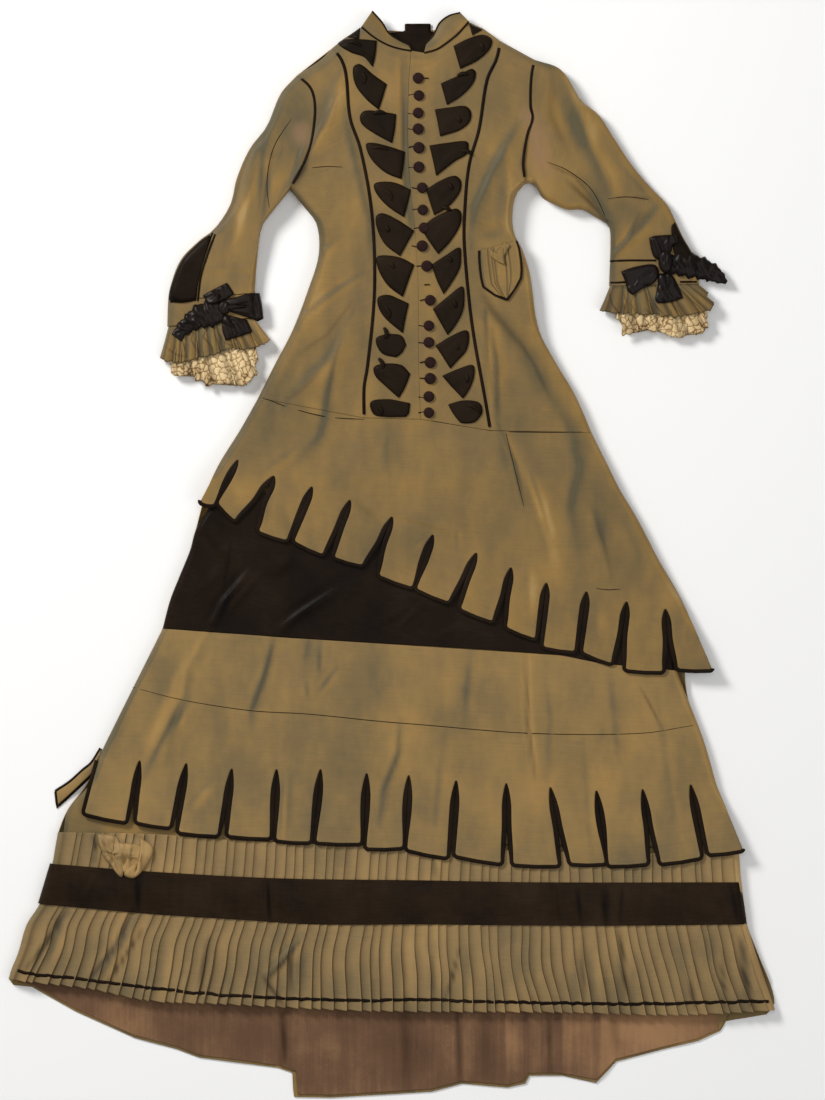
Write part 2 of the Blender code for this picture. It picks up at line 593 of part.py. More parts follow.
def make_cuff_panel(side):
    """Dark band on the outer side of a sleeve, over its last third."""
    edges = sleeve_edges(side)
    outer, inner = [], []
    reach = (0.34, 0.3, 0.22, 0.14) if side == "left" else (0.2, 0.24, 0.24, 0.2)
    rows = (0.66, 0.76, 0.88, 0.985)
    for v, far in zip(rows, reach):
        for step in (0.0, 0.45, 1.0):
            u = 0.05 + far * step
            a, _ = sleeve_point(edges, u, v, 1.0, 0.0, True, CLOTH)
            outer.append(a)
    cells = grid_cells(len(rows), 3)
    places = [(p[0], p[1]) for p in outer]
    heights = seated_heights(places, cells, [f"sleeve_upper_{side}"], SEAT)
    outer = [(x, y, z + TRIM) for (x, y), z in zip(places, heights)]
    inner = [(x, y, z) for (x, y), z in zip(places, heights)]
    closed_cloth(f"cuff_panel_{side}", "satin", outer, inner, cells)


def make_gathered_tube(name, finish, top, foot, waves, depth, middle, half, wall, rows):
    """A gathered ring: waves over its upper half, plain where it lies on the floor."""
    top, foot = Line(top), Line(foot)
    crest = [(k + 1) / (2 * waves) for k in range(2 * waves - 1)]
    upper = [(0.0, 0.0, 0.0)]
    upper += [(u, 1.0, depth * (k % 2)) for k, u in enumerate(crest)]
    lower = [(1.0, 0.0, 0.0), (0.88, -1.0, 0.0), (0.5, -1.0, 0.0), (0.12, -1.0, 0.0)]
    outer, inner = [], []
    for v, swell in rows:
        start, end = top.point(0) * (1 - v) + foot.point(0) * v, top.point(1) * (1 - v) + foot.point(1) * v
        flank = (end - start) / np.linalg.norm(end - start)
        for u, height, wave in upper + lower:
            place = (1 - v) * top.point(u) + v * foot.point(u)
            outer.append((place[0], place[1], middle + half * height + wave * swell))
            away = {0.0: 1.0, 1.0: -1.0}.get(u, 0.0) * wall * 1.4
            inner.append((place[0] + flank[0] * away, place[1] + flank[1] * away,
                          middle + (half - wall) * height + wave * swell))
    closed_cloth(name, finish, outer, inner, grid_cells(len(rows), len(upper + lower), wrap=True))


def shifted(line, x, y):
    """A line moved by a step."""
    return tuple((px + x, py + y) for px, py in line)


def narrowed(line, inset):
    """A line that is shortened at both ends."""
    whole = Line(line)
    length = np.linalg.norm(whole.point(1) - whole.point(0))
    share = inset / length
    return tuple(tuple(whole.point(share + (1 - 2 * share) * k / 8)) for k in range(9))


def make_cuff_frills(side):
    """Silk ruffle on the sleeve's end, and the lace that shows below it."""
    left = side == "left"
    top = RUFFLE_TOP_LEFT if left else RUFFLE_TOP_RIGHT
    hem = RUFFLE_HEM_LEFT if left else RUFFLE_HEM_RIGHT
    lace_hem = LACE_HEM_LEFT if left else LACE_HEM_RIGHT
    half = CUFF_HEIGHT / 2
    down = -1.6
    make_gathered_tube(f"ruffle_{side}", "silk", shifted(top, 0, down), hem, RUFFLE_WAVES, 2.6,
                       half, half, CLOTH, ((0.0, 0.25), (0.5, 0.7), (1.0, 1.0)))
    start, end = Line(top), Line(hem)
    inside = [tuple(0.55 * start.point(u) + 0.45 * end.point(u)) for u in even(7)]
    make_gathered_tube(f"lace_{side}", "lace", narrowed(inside, 5.0), narrowed(lace_hem, 3.0), LACE_WAVES,
                       1.2, half - 0.4, half - CLOTH - 2.3, 1.0, ((0.0, 0.3), (1.0, 1.0)))


def snapped(points, fractions):
    """A line whose inner corners fall on the nearest of the given fractions."""
    line = Line(points)
    for k in range(1, len(points) - 1):
        line.at[k] = min(fractions, key=lambda f: abs(f - line.at[k]))
    return line


def tab_layout(slits, ends, feet):
    """Corners of the tabs: top left, top right, foot left and foot right of each."""
    tops = [ends[0]] + list(slits) + [ends[1]]
    return [(np.array(tops[k], float), np.array(tops[k + 1], float),
             np.array(foot[:2], float), np.array(foot[2:], float)) for k, foot in enumerate(feet)]


def make_tabbed(name, finish, sides, top, slits, feet, rows, level, foot_rise, folds):
    """A layer that is whole above its slits and hangs in tabs below them."""
    left, right = Line(sides[0]), Line(sides[1])
    tops = [tuple(left.points[-1])] + list(slits) + [tuple(right.points[-1])]
    row = []
    for k in range(len(tops) - 1):
        row += [tops[k], tuple((np.array(tops[k]) + tops[k + 1]) / 2)]
    row.append(tops[-1])
    slit_row = Line(row)
    across = list(slit_row.at)
    edges = (left, right, snapped(top, across), slit_row)
    outer, inner, cells = [], [], []
    for v in rows:
        start, end = left.point(v), right.point(v)
        width = np.linalg.norm(end - start)
        flank = (end - start) / width
        share = SIDE_ROUND / width
        steps = [(0.0, 0.0, -1), (share * 0.293, 0.7071, -1)]
        steps += [(max(u, share), 1.0, 0) for u in across[1:-1]]
        steps += [(1 - share * 0.293, 0.7071, 1), (1.0, 0.0, 1)]
        for u, height, side in steps:
            place = coons(edges, u, v)
            above = level(place[1]) if callable(level) else level
            lean = (side * math.sqrt(1 - height ** 2), 0.0)
            a, b = shell_points(place, flank, lean, height, above, CLOTH, True)
            fold = (0, 0, fold_height(folds, *place) * (side == 0))
            outer.append(a + fold)
            inner.append(b + fold)
    columns = len(across) + 2
    cells += grid_cells(len(rows), columns)
    last = (len(rows) - 1) * columns
    tabs = tab_layout(slits, (tops[0], tops[-1]), feet)
    for k, (_, _, foot_left, foot_right) in enumerate(tabs):
        first = last + 2 * k + 1 if k else last
        count = 4 if k in (0, len(tabs) - 1) else 3
        upper_row = list(range(first, first + count))
        starts = [outer[i][:2] for i in upper_row]
        span = starts[-1] - starts[0]
        shares = [np.dot(p - starts[0], span) / np.dot(span, span) for p in starts]
        previous = upper_row
        for v in (0.5, 1.0):
            current = []
            for share, start, above_id in zip(shares, starts, upper_row):
                foot = foot_left * (1 - share) + foot_right * share
                place = start * (1 - v) + foot * v
                if v == 0.5:
                    place = place + (0, -SEAM)
                above = level(place[1]) if callable(level) else level
                middle = tube_half(place[1])
                full = 2 * middle + above * LAYER_PITCH + foot_rise * v + fold_height(folds, *place)
                top_z = outer[above_id][2]
                drop = full - top_z
                z = full - TAB_SAG * drop if v < 1.0 and drop >= SIDE_DROP else full
                outer.append(np.array((place[0], place[1], z)))
                inner.append(np.array((place[0], place[1], z - CLOTH)))
                current.append(len(outer) - 1)
            for i in range(count - 1):
                cells.append((previous[i], previous[i + 1], current[i + 1], current[i]))
            previous = current
    closed_cloth(name, finish, outer, inner, cells)
    return tabs


def make_binding(name, tabs, under):
    """Dark binding round the tabs: one strip that runs down and up every slit."""
    edge, inside = [], []
    for k, (top_left, top_right, foot_left, foot_right) in enumerate(tabs):
        w = BINDING_WIDTH
        clear = 0.6
        foot_mid = (foot_left + foot_right) / 2
        side_left = (top_left + foot_left) / 2 + (0, -SEAM)
        side_right = (top_right + foot_right) / 2 + (0, -SEAM)
        if k:
            edge.append(top_left + (0, clear))
            inside.append(top_left + (0, clear + w))
        else:
            edge.append(top_left * 0.8 + foot_left * 0.2 + (SIDE_ROUND, 0))
            inside.append(edge[-1] + (w, 2))
        edge.append(side_left + (clear, 0))
        inside.append(side_left + (clear + w, 0))
        edge.append(foot_left + (clear, clear))
        inside.append(foot_left + (clear + w, clear + w))
        edge.append(foot_mid + (0, clear))
        inside.append(foot_mid + (0, clear + w))
        edge.append(foot_right + (-clear, clear))
        inside.append(foot_right + (-clear - w, clear + w))
        edge.append(side_right + (-clear, 0))
        inside.append(side_right + (-clear - w, 0))
    last = tabs[-1]
    edge.append(last[1] * 0.8 + last[3] * 0.2 + (-SIDE_ROUND, 0))
    inside.append(edge[-1] + (-BINDING_WIDTH, 2))
    places = [tuple(p) for p in edge + inside]
    count = len(edge)
    cells = [(k, k + 1, count + k + 1, count + k) for k in range(count - 1)]
    lay_on(name, "satin", places, cells, under)


def lay_on(name, finish, places, cells, under, wall=TRIM, lift=SEAT, rises=None):
    """A flat piece laid on the named pieces, with an optional rise at each point."""
    heights = seated_heights(places, cells, under, lift)
    rises = rises or [0.0] * len(places)
    outer = [(x, y, z + wall + rise) for (x, y), z, rise in zip(places, heights, rises)]
    inner = [(x, y, z + rise) for (x, y), z, rise in zip(places, heights, rises)]
    return closed_cloth(name, finish, outer, inner, cells)


def strip_places(points, width):
    """Two rows of places on both sides of a line."""
    points = [np.array(p, dtype=float) for p in points]
    left, right = [], []
    for k, point in enumerate(points):
        run = points[min(k + 1, len(points) - 1)] - points[max(k - 1, 0)]
        side = np.array((-run[1], run[0])) / np.linalg.norm(run) * width / 2
        left.append(tuple(point + side))
        right.append(tuple(point - side))
    return left + right, grid_cells(2, len(points))


def apron_level(y):
    """The overskirt leaves the waist seam on the body and runs up over two layers."""
    return interpolate(((240, 0.0), (185, 0.15), (120, 2.0), (-200, 2.0)), y)


def make_skirts():
    """Foundation, satin panel, overskirt, tier, flounce, ribbon and braid."""
    waist = shifted(WAIST_SEAM, 0, -SEAM)
    body_panel("skirt_front", "silk", (Line(SKIRT_SIDE_LEFT), Line(SKIRT_SIDE_RIGHT), Line(SKIRT_TOP),
                                       Line(SKIRT_HEM)), SKIRT_ROWS, even(7), True, True)
    body_panel("satin_panel", "satin", (Line(SATIN_SIDE_LEFT), Line(SATIN_SIDE_RIGHT), Line(SATIN_TOP),
                                        Line(SATIN_HEM)), SATIN_ROWS, even(10), True, True, level=1.0,
               folds=SATIN_FOLDS)
    left = (waist[0],) + APRON_SIDE_LEFT[1:]
    right = (waist[-1],) + APRON_SIDE_RIGHT[1:]
    tabs = make_tabbed("apron", "silk", (left, right), waist, APRON_SLITS, APRON_FEET, APRON_ROWS,
                       apron_level, APRON_FOOT_RISE, FOLDS)
    make_binding("apron_binding", tabs, ["apron"])
    tier_top = shifted(TIER_TOP, 0, -SEAM)
    tier_left = (tier_top[0],) + TIER_SIDE_LEFT[1:]
    tier_right = (tier_top[-1],) + TIER_SIDE_RIGHT[1:]
    tabs = make_tabbed("tier", "silk", (tier_left, tier_right), tier_top, TIER_SLITS, TIER_FEET,
                       TIER_ROWS, 1.0, TIER_FOOT_RISE, FOLDS)
    make_binding("tier_binding", tabs, ["tier"])
    make_side_tab()
    make_flounce()


def make_side_tab():
    """Tab that has slipped out from behind the tier and slopes down to the floor."""
    outer = []
    for x0, y0, x1, y1, z in SIDE_TAB:
        outer += [(x0, y0, z), ((x0 + x1) / 2, (y0 + y1) / 2, z), (x1, y1, z)]
    inner = [(x, y, z - CLOTH) for x, y, z in outer]
    closed_cloth("side_tab", "silk", outer, inner, grid_cells(len(SIDE_TAB), 3))


def make_flounce():
    """Knife-pleated flounce with its heading, the ribbon on it and the dark line of its hem."""
    edges = (Line(FLOUNCE_SIDE_LEFT), Line(FLOUNCE_SIDE_RIGHT), Line(FLOUNCE_TOP), Line(FLOUNCE_HEM))
    outer, inner = [], []
    columns = 0
    for v, depth in zip(FLOUNCE_ROWS, PLEAT_DEPTHS):
        start, end = edges[0].point(v), edges[1].point(v)
        width = np.linalg.norm(end - start)
        flank = (end - start) / width
        share = SIDE_ROUND / width
        steps = [(0.0, 0.0, -1, 0.0), (share * 0.293, 0.7071, -1, 0.0)]
        for k in range(PLEATS):
            low = share + (1 - 2 * share) * k / PLEATS
            high = share + (1 - 2 * share) * (k + PLEAT_LEAN) / PLEATS
            steps += [(low, 1.0, 0, 0.0), (high, 1.0, 0, depth)]
        steps += [(1 - share, 1.0, 0, 0.0), (1 - share * 0.293, 0.7071, 1, 0.0), (1.0, 0.0, 1, 0.0)]
        columns = len(steps)
        for u, height, side, pleat in steps:
            place = coons(edges, u, v)
            lean = (side * math.sqrt(1 - height ** 2), 0.0)
            a, b = shell_points(place, flank, lean, height, 1.0, CLOTH, True)
            outer.append(a + (0, 0, pleat))
            inner.append(b + (0, 0, pleat))
    closed_cloth("flounce", "silk", outer, inner, grid_cells(len(FLOUNCE_ROWS), columns))
    top, foot = Line(RIBBON_TOP), Line(RIBBON_FOOT)
    places = [tuple(line.point(u)) for line in (top, foot) for u in even(15)]
    lay_on("ribbon_band", "satin", places, grid_cells(2, 15), ["flounce"])
    braid = Line(BRAID_LINE)
    places, cells = strip_places([braid.point(u) for u in even(25)], BRAID_WIDTH)
    lay_on("hem_braid", "satin", places, cells, ["flounce"])


def make_back():
    """Back skirt with its train, and the lining that shows past the front hem."""
    waist = Line(shifted(WAIST_BACK, 0, -SEAM))
    left = Line((tuple(waist.points[0]),) + BACK_SIDE_LEFT[1:])
    right = Line((tuple(waist.points[-1]),) + BACK_SIDE_RIGHT[1:])
    train = Line(TRAIN_EDGE)
    edges = (left, right, waist, train)
    outer, inner = [], []
    columns = 0
    for v in BACK_ROWS:
        width = np.linalg.norm(right.point(v) - left.point(v))
        flank = (right.point(v) - left.point(v)) / width
        share = SIDE_ROUND / width
        across = [u for u in train.at if BACK_MARGIN < u < 1 - BACK_MARGIN]
        steps = [(share * d, h, -1) for d, h in ROUND_STEPS] + [(u, 1.0, 0) for u in across]
        steps += [(1 - share * d, h, 1) for d, h in reversed(ROUND_STEPS)]
        columns = len(steps)
        shut = 1.0 if v < HEM_AT - 1e-6 else 0.0
        for u, height, side in steps:
            rise = 1 - shut * (1 - height)
            lean = (shut * side * math.sqrt(1 - height ** 2), 0.0)
            a, b = shell_points(coons(edges, u, v), flank, lean, rise, 0.0, CLOTH, False)
            outer.append(a)
            inner.append(b)
    closed_cloth("skirt_back", "silk", outer, inner, grid_cells(len(BACK_ROWS), columns))
    edge = Line(LINING_EDGE)
    sides = (Line((LINING_TOP[0], LINING_EDGE[0])), Line((LINING_TOP[-1], LINING_EDGE[-1])))
    edges = (*sides, Line(LINING_TOP), edge)
    outer = []
    for v in LINING_ROWS:
        for u in edge.at:
            x, y = coons(edges, u, v)
            fold = sum(h * math.exp(-(((x - at) / w) ** 2)) for at, h, w in TRAIN_FOLDS)
            outer.append((x, y, CLOTH + SEAT + TRIM + fold * (0.35 + 0.65 * v)))
    inner = [(x, y, z - TRIM) for x, y, z in outer]
    closed_cloth("train_lining", "silk_lining", outer, inner, grid_cells(len(LINING_ROWS), len(edge.at)))


def make_collar(side, stations, under):
    """Stand collar, lying open from its seam on the front to its bound edge."""
    outer = []
    for x0, y0, x1, y1 in stations:
        seam, edge = np.array((x0, y0), dtype=float), np.array((x1, y1), dtype=float)
        seam += (edge - seam) / np.linalg.norm(edge - seam) * SEAM
        base = height_on(under, x0, y0 - COLLAR_REACH) or 2 * tube_half(y0)
        for share, drop in ((0.0, 0.0), (0.5, 0.25), (1.0, 1.0)):
            x, y = seam + (edge - seam) * share
            outer.append((x, y, base - COLLAR_DROP * drop))
    inner = [(x, y, z - CLOTH) for x, y, z in outer]
    closed_cloth(f"collar_{side}", "silk", outer, inner, grid_cells(len(stations), 3))


def make_piping():
    """Flat piping down the princess seams and round the armholes."""
    fronts = {"left": ["side_front_left", "centre_front_left"],
              "right": ["side_front_right", "centre_front_right"]}
    lines = {"left": (PRINCESS_LEFT, ARMHOLE_LEFT), "right": (PRINCESS_RIGHT, ARMHOLE_RIGHT)}
    for side in ("left", "right"):
        princess, armhole = (Line(points) for points in lines[side])
        points = [princess.point(0.035 + 0.955 * u) for u in even(15)]
        places, cells = strip_places(points, PIPING_WIDTH)
        lay_on(f"princess_piping_{side}", "satin", places, cells, fronts[side])
        points = [armhole.point(0.08 + 0.8 * u) for u in even(9)]
        shift = -PIPING_WIDTH / 2 - 1.0 if side == "left" else PIPING_WIDTH / 2 + 1.0
        places, cells = strip_places([p + (shift, 0) for p in points], PIPING_WIDTH)
        lay_on(f"armhole_piping_{side}", "satin", places, cells, [f"sleeve_upper_{side}"])


def make_flaps(side, boxes, under):
    """Eleven satin leaves in a chain: each is straight at its inner end and pointed at its outer end."""
    places, rises, cells = [], [], []
    neck = None
    for x0, x1, y0, y1 in boxes:
        width, height = x1 - x0, y1 - y0
        rows = (((0.16, 1.0), (0.42, 0.97), (0.56, 0.92), (0.86, 0.74)),
                ((0.0, 0.66), (0.42, 0.56), (0.6, 0.46), (1.0, 0.44)),
                ((0.3, 0.24), (0.54, 0.10), (0.68, 0.04), (0.94, 0.02)))
        domes = ((0.0, 0.3, 0.3, 0.0), (0.0, 1.0, 1.0, 0.0), (0.0, 0.3, 0.3, 0.0))
        first = len(places)
        for row, dome in zip(rows, domes):
            for (u, v), d in zip(row, dome):
                across = x0 + width * u if side == "left" else x1 - width * u
                places.append((across, y0 + height * v))
                rises.append(d * FLAP_DOME)
        if side == "left":
            grid = grid_cells(3, 4, first)
        else:
            grid = [(b, a, d, c) for a, b, c, d in grid_cells(3, 4, first)]
        cells += grid
        if neck is not None:
            cells.append((neck[0], neck[1], first + 2, first + 1) if side == "left"
                         else (neck[1], neck[0], first + 1, first + 2))
        neck = (first + 9, first + 10)
    lay_on(f"flaps_{side}", "satin", places, cells, under, lift=SEAT, rises=rises)


def make_button(number, x, y):
    """A domed covered button that stands on the front."""
    ring = [(x + BUTTON_RADIUS * math.cos(2 * math.pi * k / BUTTON_SIDES),
             y + BUTTON_RADIUS * math.sin(2 * math.pi * k / BUTTON_SIDES)) for k in range(BUTTON_SIDES)]
    base = max(height_on(["centre_front_right"], *place) for place in ring + [(x, y)]) + SEAT
    rims = ((0.72, 0.0), (1.0, 1.4), (0.72, BUTTON_HEIGHT - 0.9))
    made = bmesh.new()
    rings = [[made.verts.new(Vector((x + (px - x) * share, y + (py - y) * share, base + up)) * MM)
              for px, py in ring] for share, up in rims]
    top = made.verts.new(Vector((x, y, base + BUTTON_HEIGHT)) * MM)
    made.faces.new(rings[0])
    for lower, upper in zip(rings, rings[1:]):
        for k in range(BUTTON_SIDES):
            after = (k + 1) % BUTTON_SIDES
            made.faces.new((lower[k], lower[after], upper[after], upper[k]))
    for k in range(BUTTON_SIDES):
        made.faces.new((rings[-1][k], rings[-1][(k + 1) % BUTTON_SIDES], top))
    bmesh.ops.recalc_face_normals(made, faces=made.faces)
    name = f"button_{number:02d}"
    mesh = bpy.data.meshes.new(name)
    made.to_mesh(mesh)
    made.free()
    mesh.shade_smooth()
    mesh.materials.append(finish_material("button"))
    bpy.context.scene.collection.objects.link(bpy.data.objects.new(name, mesh))


def make_pocket():
    """Pleated pocket on the right hip, with its small bow."""
    places, rises = [], []
    for x0, y0, x1, y1 in POCKET_ROWS:
        for k, rise in enumerate(POCKET_PLEATS):
            share = k / (len(POCKET_PLEATS) - 1)
            places.append((x0 + (x1 - x0) * share, y0 + (y1 - y0) * share))
            rises.append(rise)
    cells = grid_cells(len(POCKET_ROWS), len(POCKET_PLEATS))
    lay_on("pocket", "silk", places, cells, ["side_front_right"], rises=rises)
    make_bow("pocket_bow", *POCKET_BOW, 4.0, ["pocket"])


def make_bow(name, knot, loops, radius, under):
    """A bow: loops that arch out of a raised knot."""
    order = sorted(loops, key=lambda loop: math.atan2(loop[1] - knot[1], loop[0] - knot[0]))
    places, rises, cells = [knot], [radius * 0.8], []
    ring = []
    for x, y, width, _ in order:
        turn = math.atan2(y - knot[1], x - knot[0])
        for side in (-0.6, 0.6):
            places.append((knot[0] + radius * math.cos(turn + side), knot[1] + radius * math.sin(turn + side)))
            rises.append(radius * 0.35)
            ring.append(len(places) - 1)
    for k, corner in enumerate(ring):
        cells.append((0, corner, ring[(k + 1) % len(ring)], 0))
    for k, (x, y, width, rise) in enumerate(order):
        turn = math.atan2(y - knot[1], x - knot[0])
        length = math.hypot(x - knot[0], y - knot[1])
        side = np.array((-math.sin(turn), math.cos(turn)))
        ahead = np.array((math.cos(turn), math.sin(turn)))
        low, high = ring[2 * k], ring[2 * k + 1]
        for share, spread, lift in ((0.45, 0.8, 1.0), (0.8, 1.0, 0.8), (1.0, 0.6, 0.0)):
            centre = np.array(knot) + ahead * length * share
            places.append(tuple(centre - side * width * spread))
            places.append(tuple(centre + side * width * spread))
            rises += [rise * lift * 0.6, rise * lift]
            cells.append((low, len(places) - 2, len(places) - 1, high))
            low, high = len(places) - 2, len(places) - 1
    lay_on(name, "satin", places, cells, under, lift=SEAT, rises=rises)


def make_cuff_trims(side):
    """Bow and ruched ribbon on a cuff."""
    left = side == "left"
    knot, loops = BOW_LEFT if left else BOW_RIGHT
    under = [f"sleeve_upper_{side}", f"ruffle_{side}", f"cuff_panel_{side}"]
    points = Line(CUFF_RIBBON_LEFT if left else CUFF_RIBBON_RIGHT)
    count = 2 * RUCHES + 1
    places, cells = strip_places([points.point(u) for u in even(count)], CUFF_RIBBON_WIDTH)
    rises = [2.2 * (k % 2) for k in range(count)] * 2
    lay_on(f"cuff_ribbon_{side}", "satin", places, cells, under, rises=rises)
    make_bow(f"bow_{side}", knot, loops, BOW_KNOT, under + [f"cuff_ribbon_{side}"])


def stand_on_origin():
    """Move every mesh so that the origin is at the centre of the dress, on the floor."""
    things = [thing for thing in bpy.data.objects if thing.type == "MESH"]
    points = np.array([vertex.co for thing in things for vertex in thing.data.vertices])
    low, high = points.min(axis=0), points.max(axis=0)
    shift = Vector((-(low[0] + high[0]) / 2, -(low[1] + high[1]) / 2, -low[2]))
    for thing in things:
        for vertex in thing.data.vertices:
            vertex.co += shift


def main():
    """Build the dress from the floor up."""
    start_clean()
    make_back()
    make_bodice()
    for side in ("left", "right"):
        make_sleeve(side)
        make_cuff_panel(side)
        make_cuff_frills(side)
    make_skirts()
    make_collar("left", COLLAR_LEFT, ["centre_front_left"])
    make_collar("right", COLLAR_RIGHT, ["centre_front_right"])
    make_piping()
    make_flaps("left", FLAPS_LEFT, ["side_front_left", "centre_front_left", "princess_piping_left"])
    make_flaps("right", FLAPS_RIGHT, ["side_front_right", "centre_front_right", "princess_piping_right"])
    for number, (x, y) in enumerate(BUTTON_PLACES, start=1):
        make_button(number, x, y)
    make_pocket()
    for side in ("left", "right"):
        make_cuff_trims(side)
    stand_on_origin()


main()
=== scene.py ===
"""Looks of a bustle dress that lies flat on its back with its front up.

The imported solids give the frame. Every length in the tables is in millimetres: x to the right,
y from hem to neck, z up from the floor. The solids stand half a millimetre to the left of them.
"""

import logging
import math
from collections.abc import Callable, Sequence
from dataclasses import dataclass, field
from enum import Enum

import bpy
import numpy as np
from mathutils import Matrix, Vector
from mathutils.bvhtree import BVHTree


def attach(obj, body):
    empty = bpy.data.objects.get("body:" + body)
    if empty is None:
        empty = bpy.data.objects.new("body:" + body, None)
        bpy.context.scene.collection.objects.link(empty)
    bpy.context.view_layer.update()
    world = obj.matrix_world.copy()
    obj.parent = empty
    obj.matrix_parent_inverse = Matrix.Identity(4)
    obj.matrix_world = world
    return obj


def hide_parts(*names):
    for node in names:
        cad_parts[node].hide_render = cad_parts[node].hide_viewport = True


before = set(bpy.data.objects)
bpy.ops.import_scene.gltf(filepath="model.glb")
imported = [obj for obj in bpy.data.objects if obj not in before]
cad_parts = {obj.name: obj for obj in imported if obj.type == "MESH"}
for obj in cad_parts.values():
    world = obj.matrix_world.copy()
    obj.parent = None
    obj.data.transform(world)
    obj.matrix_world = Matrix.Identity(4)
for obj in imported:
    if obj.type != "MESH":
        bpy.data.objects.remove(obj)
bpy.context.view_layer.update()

log = logging.getLogger("bustle_dress")

MM = 0.001
SHIFT_X = -0.5

# Thickness of the flattened dress: y, height of its top
TUBE_Y = np.array((-830, -420, 0, 190, 450, 547, 830), float)
TUBE_Z = np.array((12, 13, 16, 21, 26, 28, 25), float)
SEAM = 0.3
LAYER_PITCH = 2.4
SIDE_ROUND = 10.0
TOP_ROUND = 13.0
SILK_WALL = 0.9
TRIM_WALL = 0.8
CELL = 3.7
COARSE_CELL = 10.0
SEAT = 0.3
WELD = 0.02
RAY_TOP = 200.0

# Painted sheen and shade: difference between a streak's sides, painted shade and sheen for each turn of the
# cloth, and its limit
STREAK_UNEVEN = 0.45
SHADING_PER_TURN = 4.4
MOST_SHADING = 1.1
HIDDEN_TINT = 0.4

# Cuts: least share of its cut that a sheet shows, ease of seams, and the flounce's and a sleeve's sizes
LEAST_SHARE = 0.32
EASE = 1.02
FLOUNCE_WIDTH = 1170.0
FLOUNCE_FULLNESS = 1.9
FLOUNCE_LENGTH = 262.0
SLEEVE_WIDTH = 212.0

Rows = Sequence[Sequence[float]]

# Bodice lines: x, y
SHOULDER_LEFT = ((-142, 718), (-106, 742), (-89, 759))
SHOULDER_RIGHT = ((163, 770), (188, 756), (214, 742))
NECK_LEFT = ((-89, 759), (-71, 774), (-45, 790), (-27, 775), (-6, 763), (13, 757), (30, 754))
NECK_RIGHT = ((30, 754), (49, 751), (67, 756), (83, 766), (100, 780), (116, 798), (137, 789),
              (163, 770))
NECK_BACK = ((-142, 718), (-89, 759), (-45, 790), (-10, 787), (30, 785), (75, 788), (116, 798),
             (163, 770), (214, 742))
ARMHOLE_LEFT = ((-142, 718), (-122, 700), (-115, 678), (-116, 642), (-124, 603), (-152, 547))
ARMHOLE_RIGHT = ((214, 742), (209, 714), (208, 670), (211, 654), (203, 628), (197, 588), (200, 556))
SIDE_LEFT = ((-152, 547), (-130, 520), (-112, 495), (-109, 450), (-125, 397), (-148, 337),
             (-175, 285), (-200, 235))
SIDE_RIGHT = ((200, 556), (186, 538), (181, 500), (185, 478), (197, 456), (208, 418), (220, 340),
              (244, 292), (275, 240), (300, 183))
PRINCESS_LEFT = ((-89, 759), (-75, 741), (-68, 718), (-62, 654), (-47, 609), (-32, 532),
                 (-26, 463), (-26, 382), (-36, 282), (-41, 250), (-41, 205))
PRINCESS_RIGHT = ((163, 770), (157, 742), (143, 711), (131, 637), (116, 583), (109, 505),
                  (109, 463), (116, 382), (124, 322), (140, 234), (148, 186))
FRONT_EDGE = ((30, 754), (26, 700), (25, 607), (29, 547), (35, 490), (40, 412), (41, 285), (44, 203))
WAIST_SEAM = ((-200, 235), (-41, 205), (44, 203), (148, 186), (300, 183))
WAIST_BACK = ((-200, 235), (300, 183))
UNDERARM_AT = 0.34

# Sleeve lines: x, y
SLEEVE_OUTER_LEFT = ((-142, 718), (-166, 691), (-187, 642), (-212, 609), (-232, 564), (-241, 526),
                     (-265, 489), (-287, 472), (-316, 442), (-332, 400), (-335, 376), (-336, 342))
SLEEVE_INNER_LEFT = ((-152, 547), (-176, 517), (-194, 492), (-200, 456), (-205, 388), (-204, 356))
SLEEVE_OUTER_RIGHT = ((214, 742), (254, 727), (286, 679), (310, 660), (333, 625), (364, 579),
                      (392, 547), (413, 525), (424, 504), (436, 478), (452, 450), (459, 426), (461, 406))
SLEEVE_INNER_RIGHT = ((200, 556), (213, 555), (226, 535), (244, 525), (263, 517), (286, 517),
                      (304, 507), (325, 493), (328, 469), (326, 403))
CUFF_HEIGHT = 17.0
RUFFLE_TOP_LEFT = ((-336, 339), (-204, 352))
RUFFLE_HEM_LEFT = ((-347, 294), (-332, 289), (-308, 289), (-285, 296), (-264, 300), (-243, 309),
                   (-213, 308), (-181, 321))
LACE_HEM_LEFT = ((-333, 272), (-322, 267), (-302, 270), (-285, 259), (-264, 253), (-251, 259),
                 (-231, 252), (-206, 265), (-203, 304))
RUFFLE_TOP_RIGHT = ((326, 401), (461, 404))
RUFFLE_HEM_RIGHT = ((312, 365), (349, 361), (390, 360), (433, 357), (465, 364), (481, 369), (470, 397))
LACE_HEM_RIGHT = ((337, 364), (352, 325), (369, 337), (404, 333), (433, 325), (439, 332),
                  (468, 333), (474, 366))

# Overskirt: slit tops, tab feet (left corner x, y, right corner x, y)
APRON_SIDE_LEFT = ((-200, 235), (-227, 187), (-250, 150))
APRON_SIDE_RIGHT = ((300, 183), (322, 139), (343, 97), (370, 52), (400, -6), (439, -75))
APRON_SLITS = ((-230, 142), (-176, 118), (-119, 102), (-62, 82), (1, 57), (62, 30), (127, 3),
               (179, -19), (232, -42), (292, -55), (352, -70), (410, -81))
APRON_FEET = ((-286, 79, -266, 75), (-260, 78, -235, 52), (-199, 36, -157, 22), (-146, 21, -103, 1),
              (-86, -3, -44, -15), (-19, -30, 31, -48), (37, -50, 85, -70), (103, -80, 151, -99),
              (172, -108, 215, -125), (227, -137, 274, -144), (286, -145, 329, -162),
              (350, -171, 406, -174), (428, -170, 480, -171))
SATIN_TOP = ((-264, 112), (-60, 60), (130, 20), (310, 60))
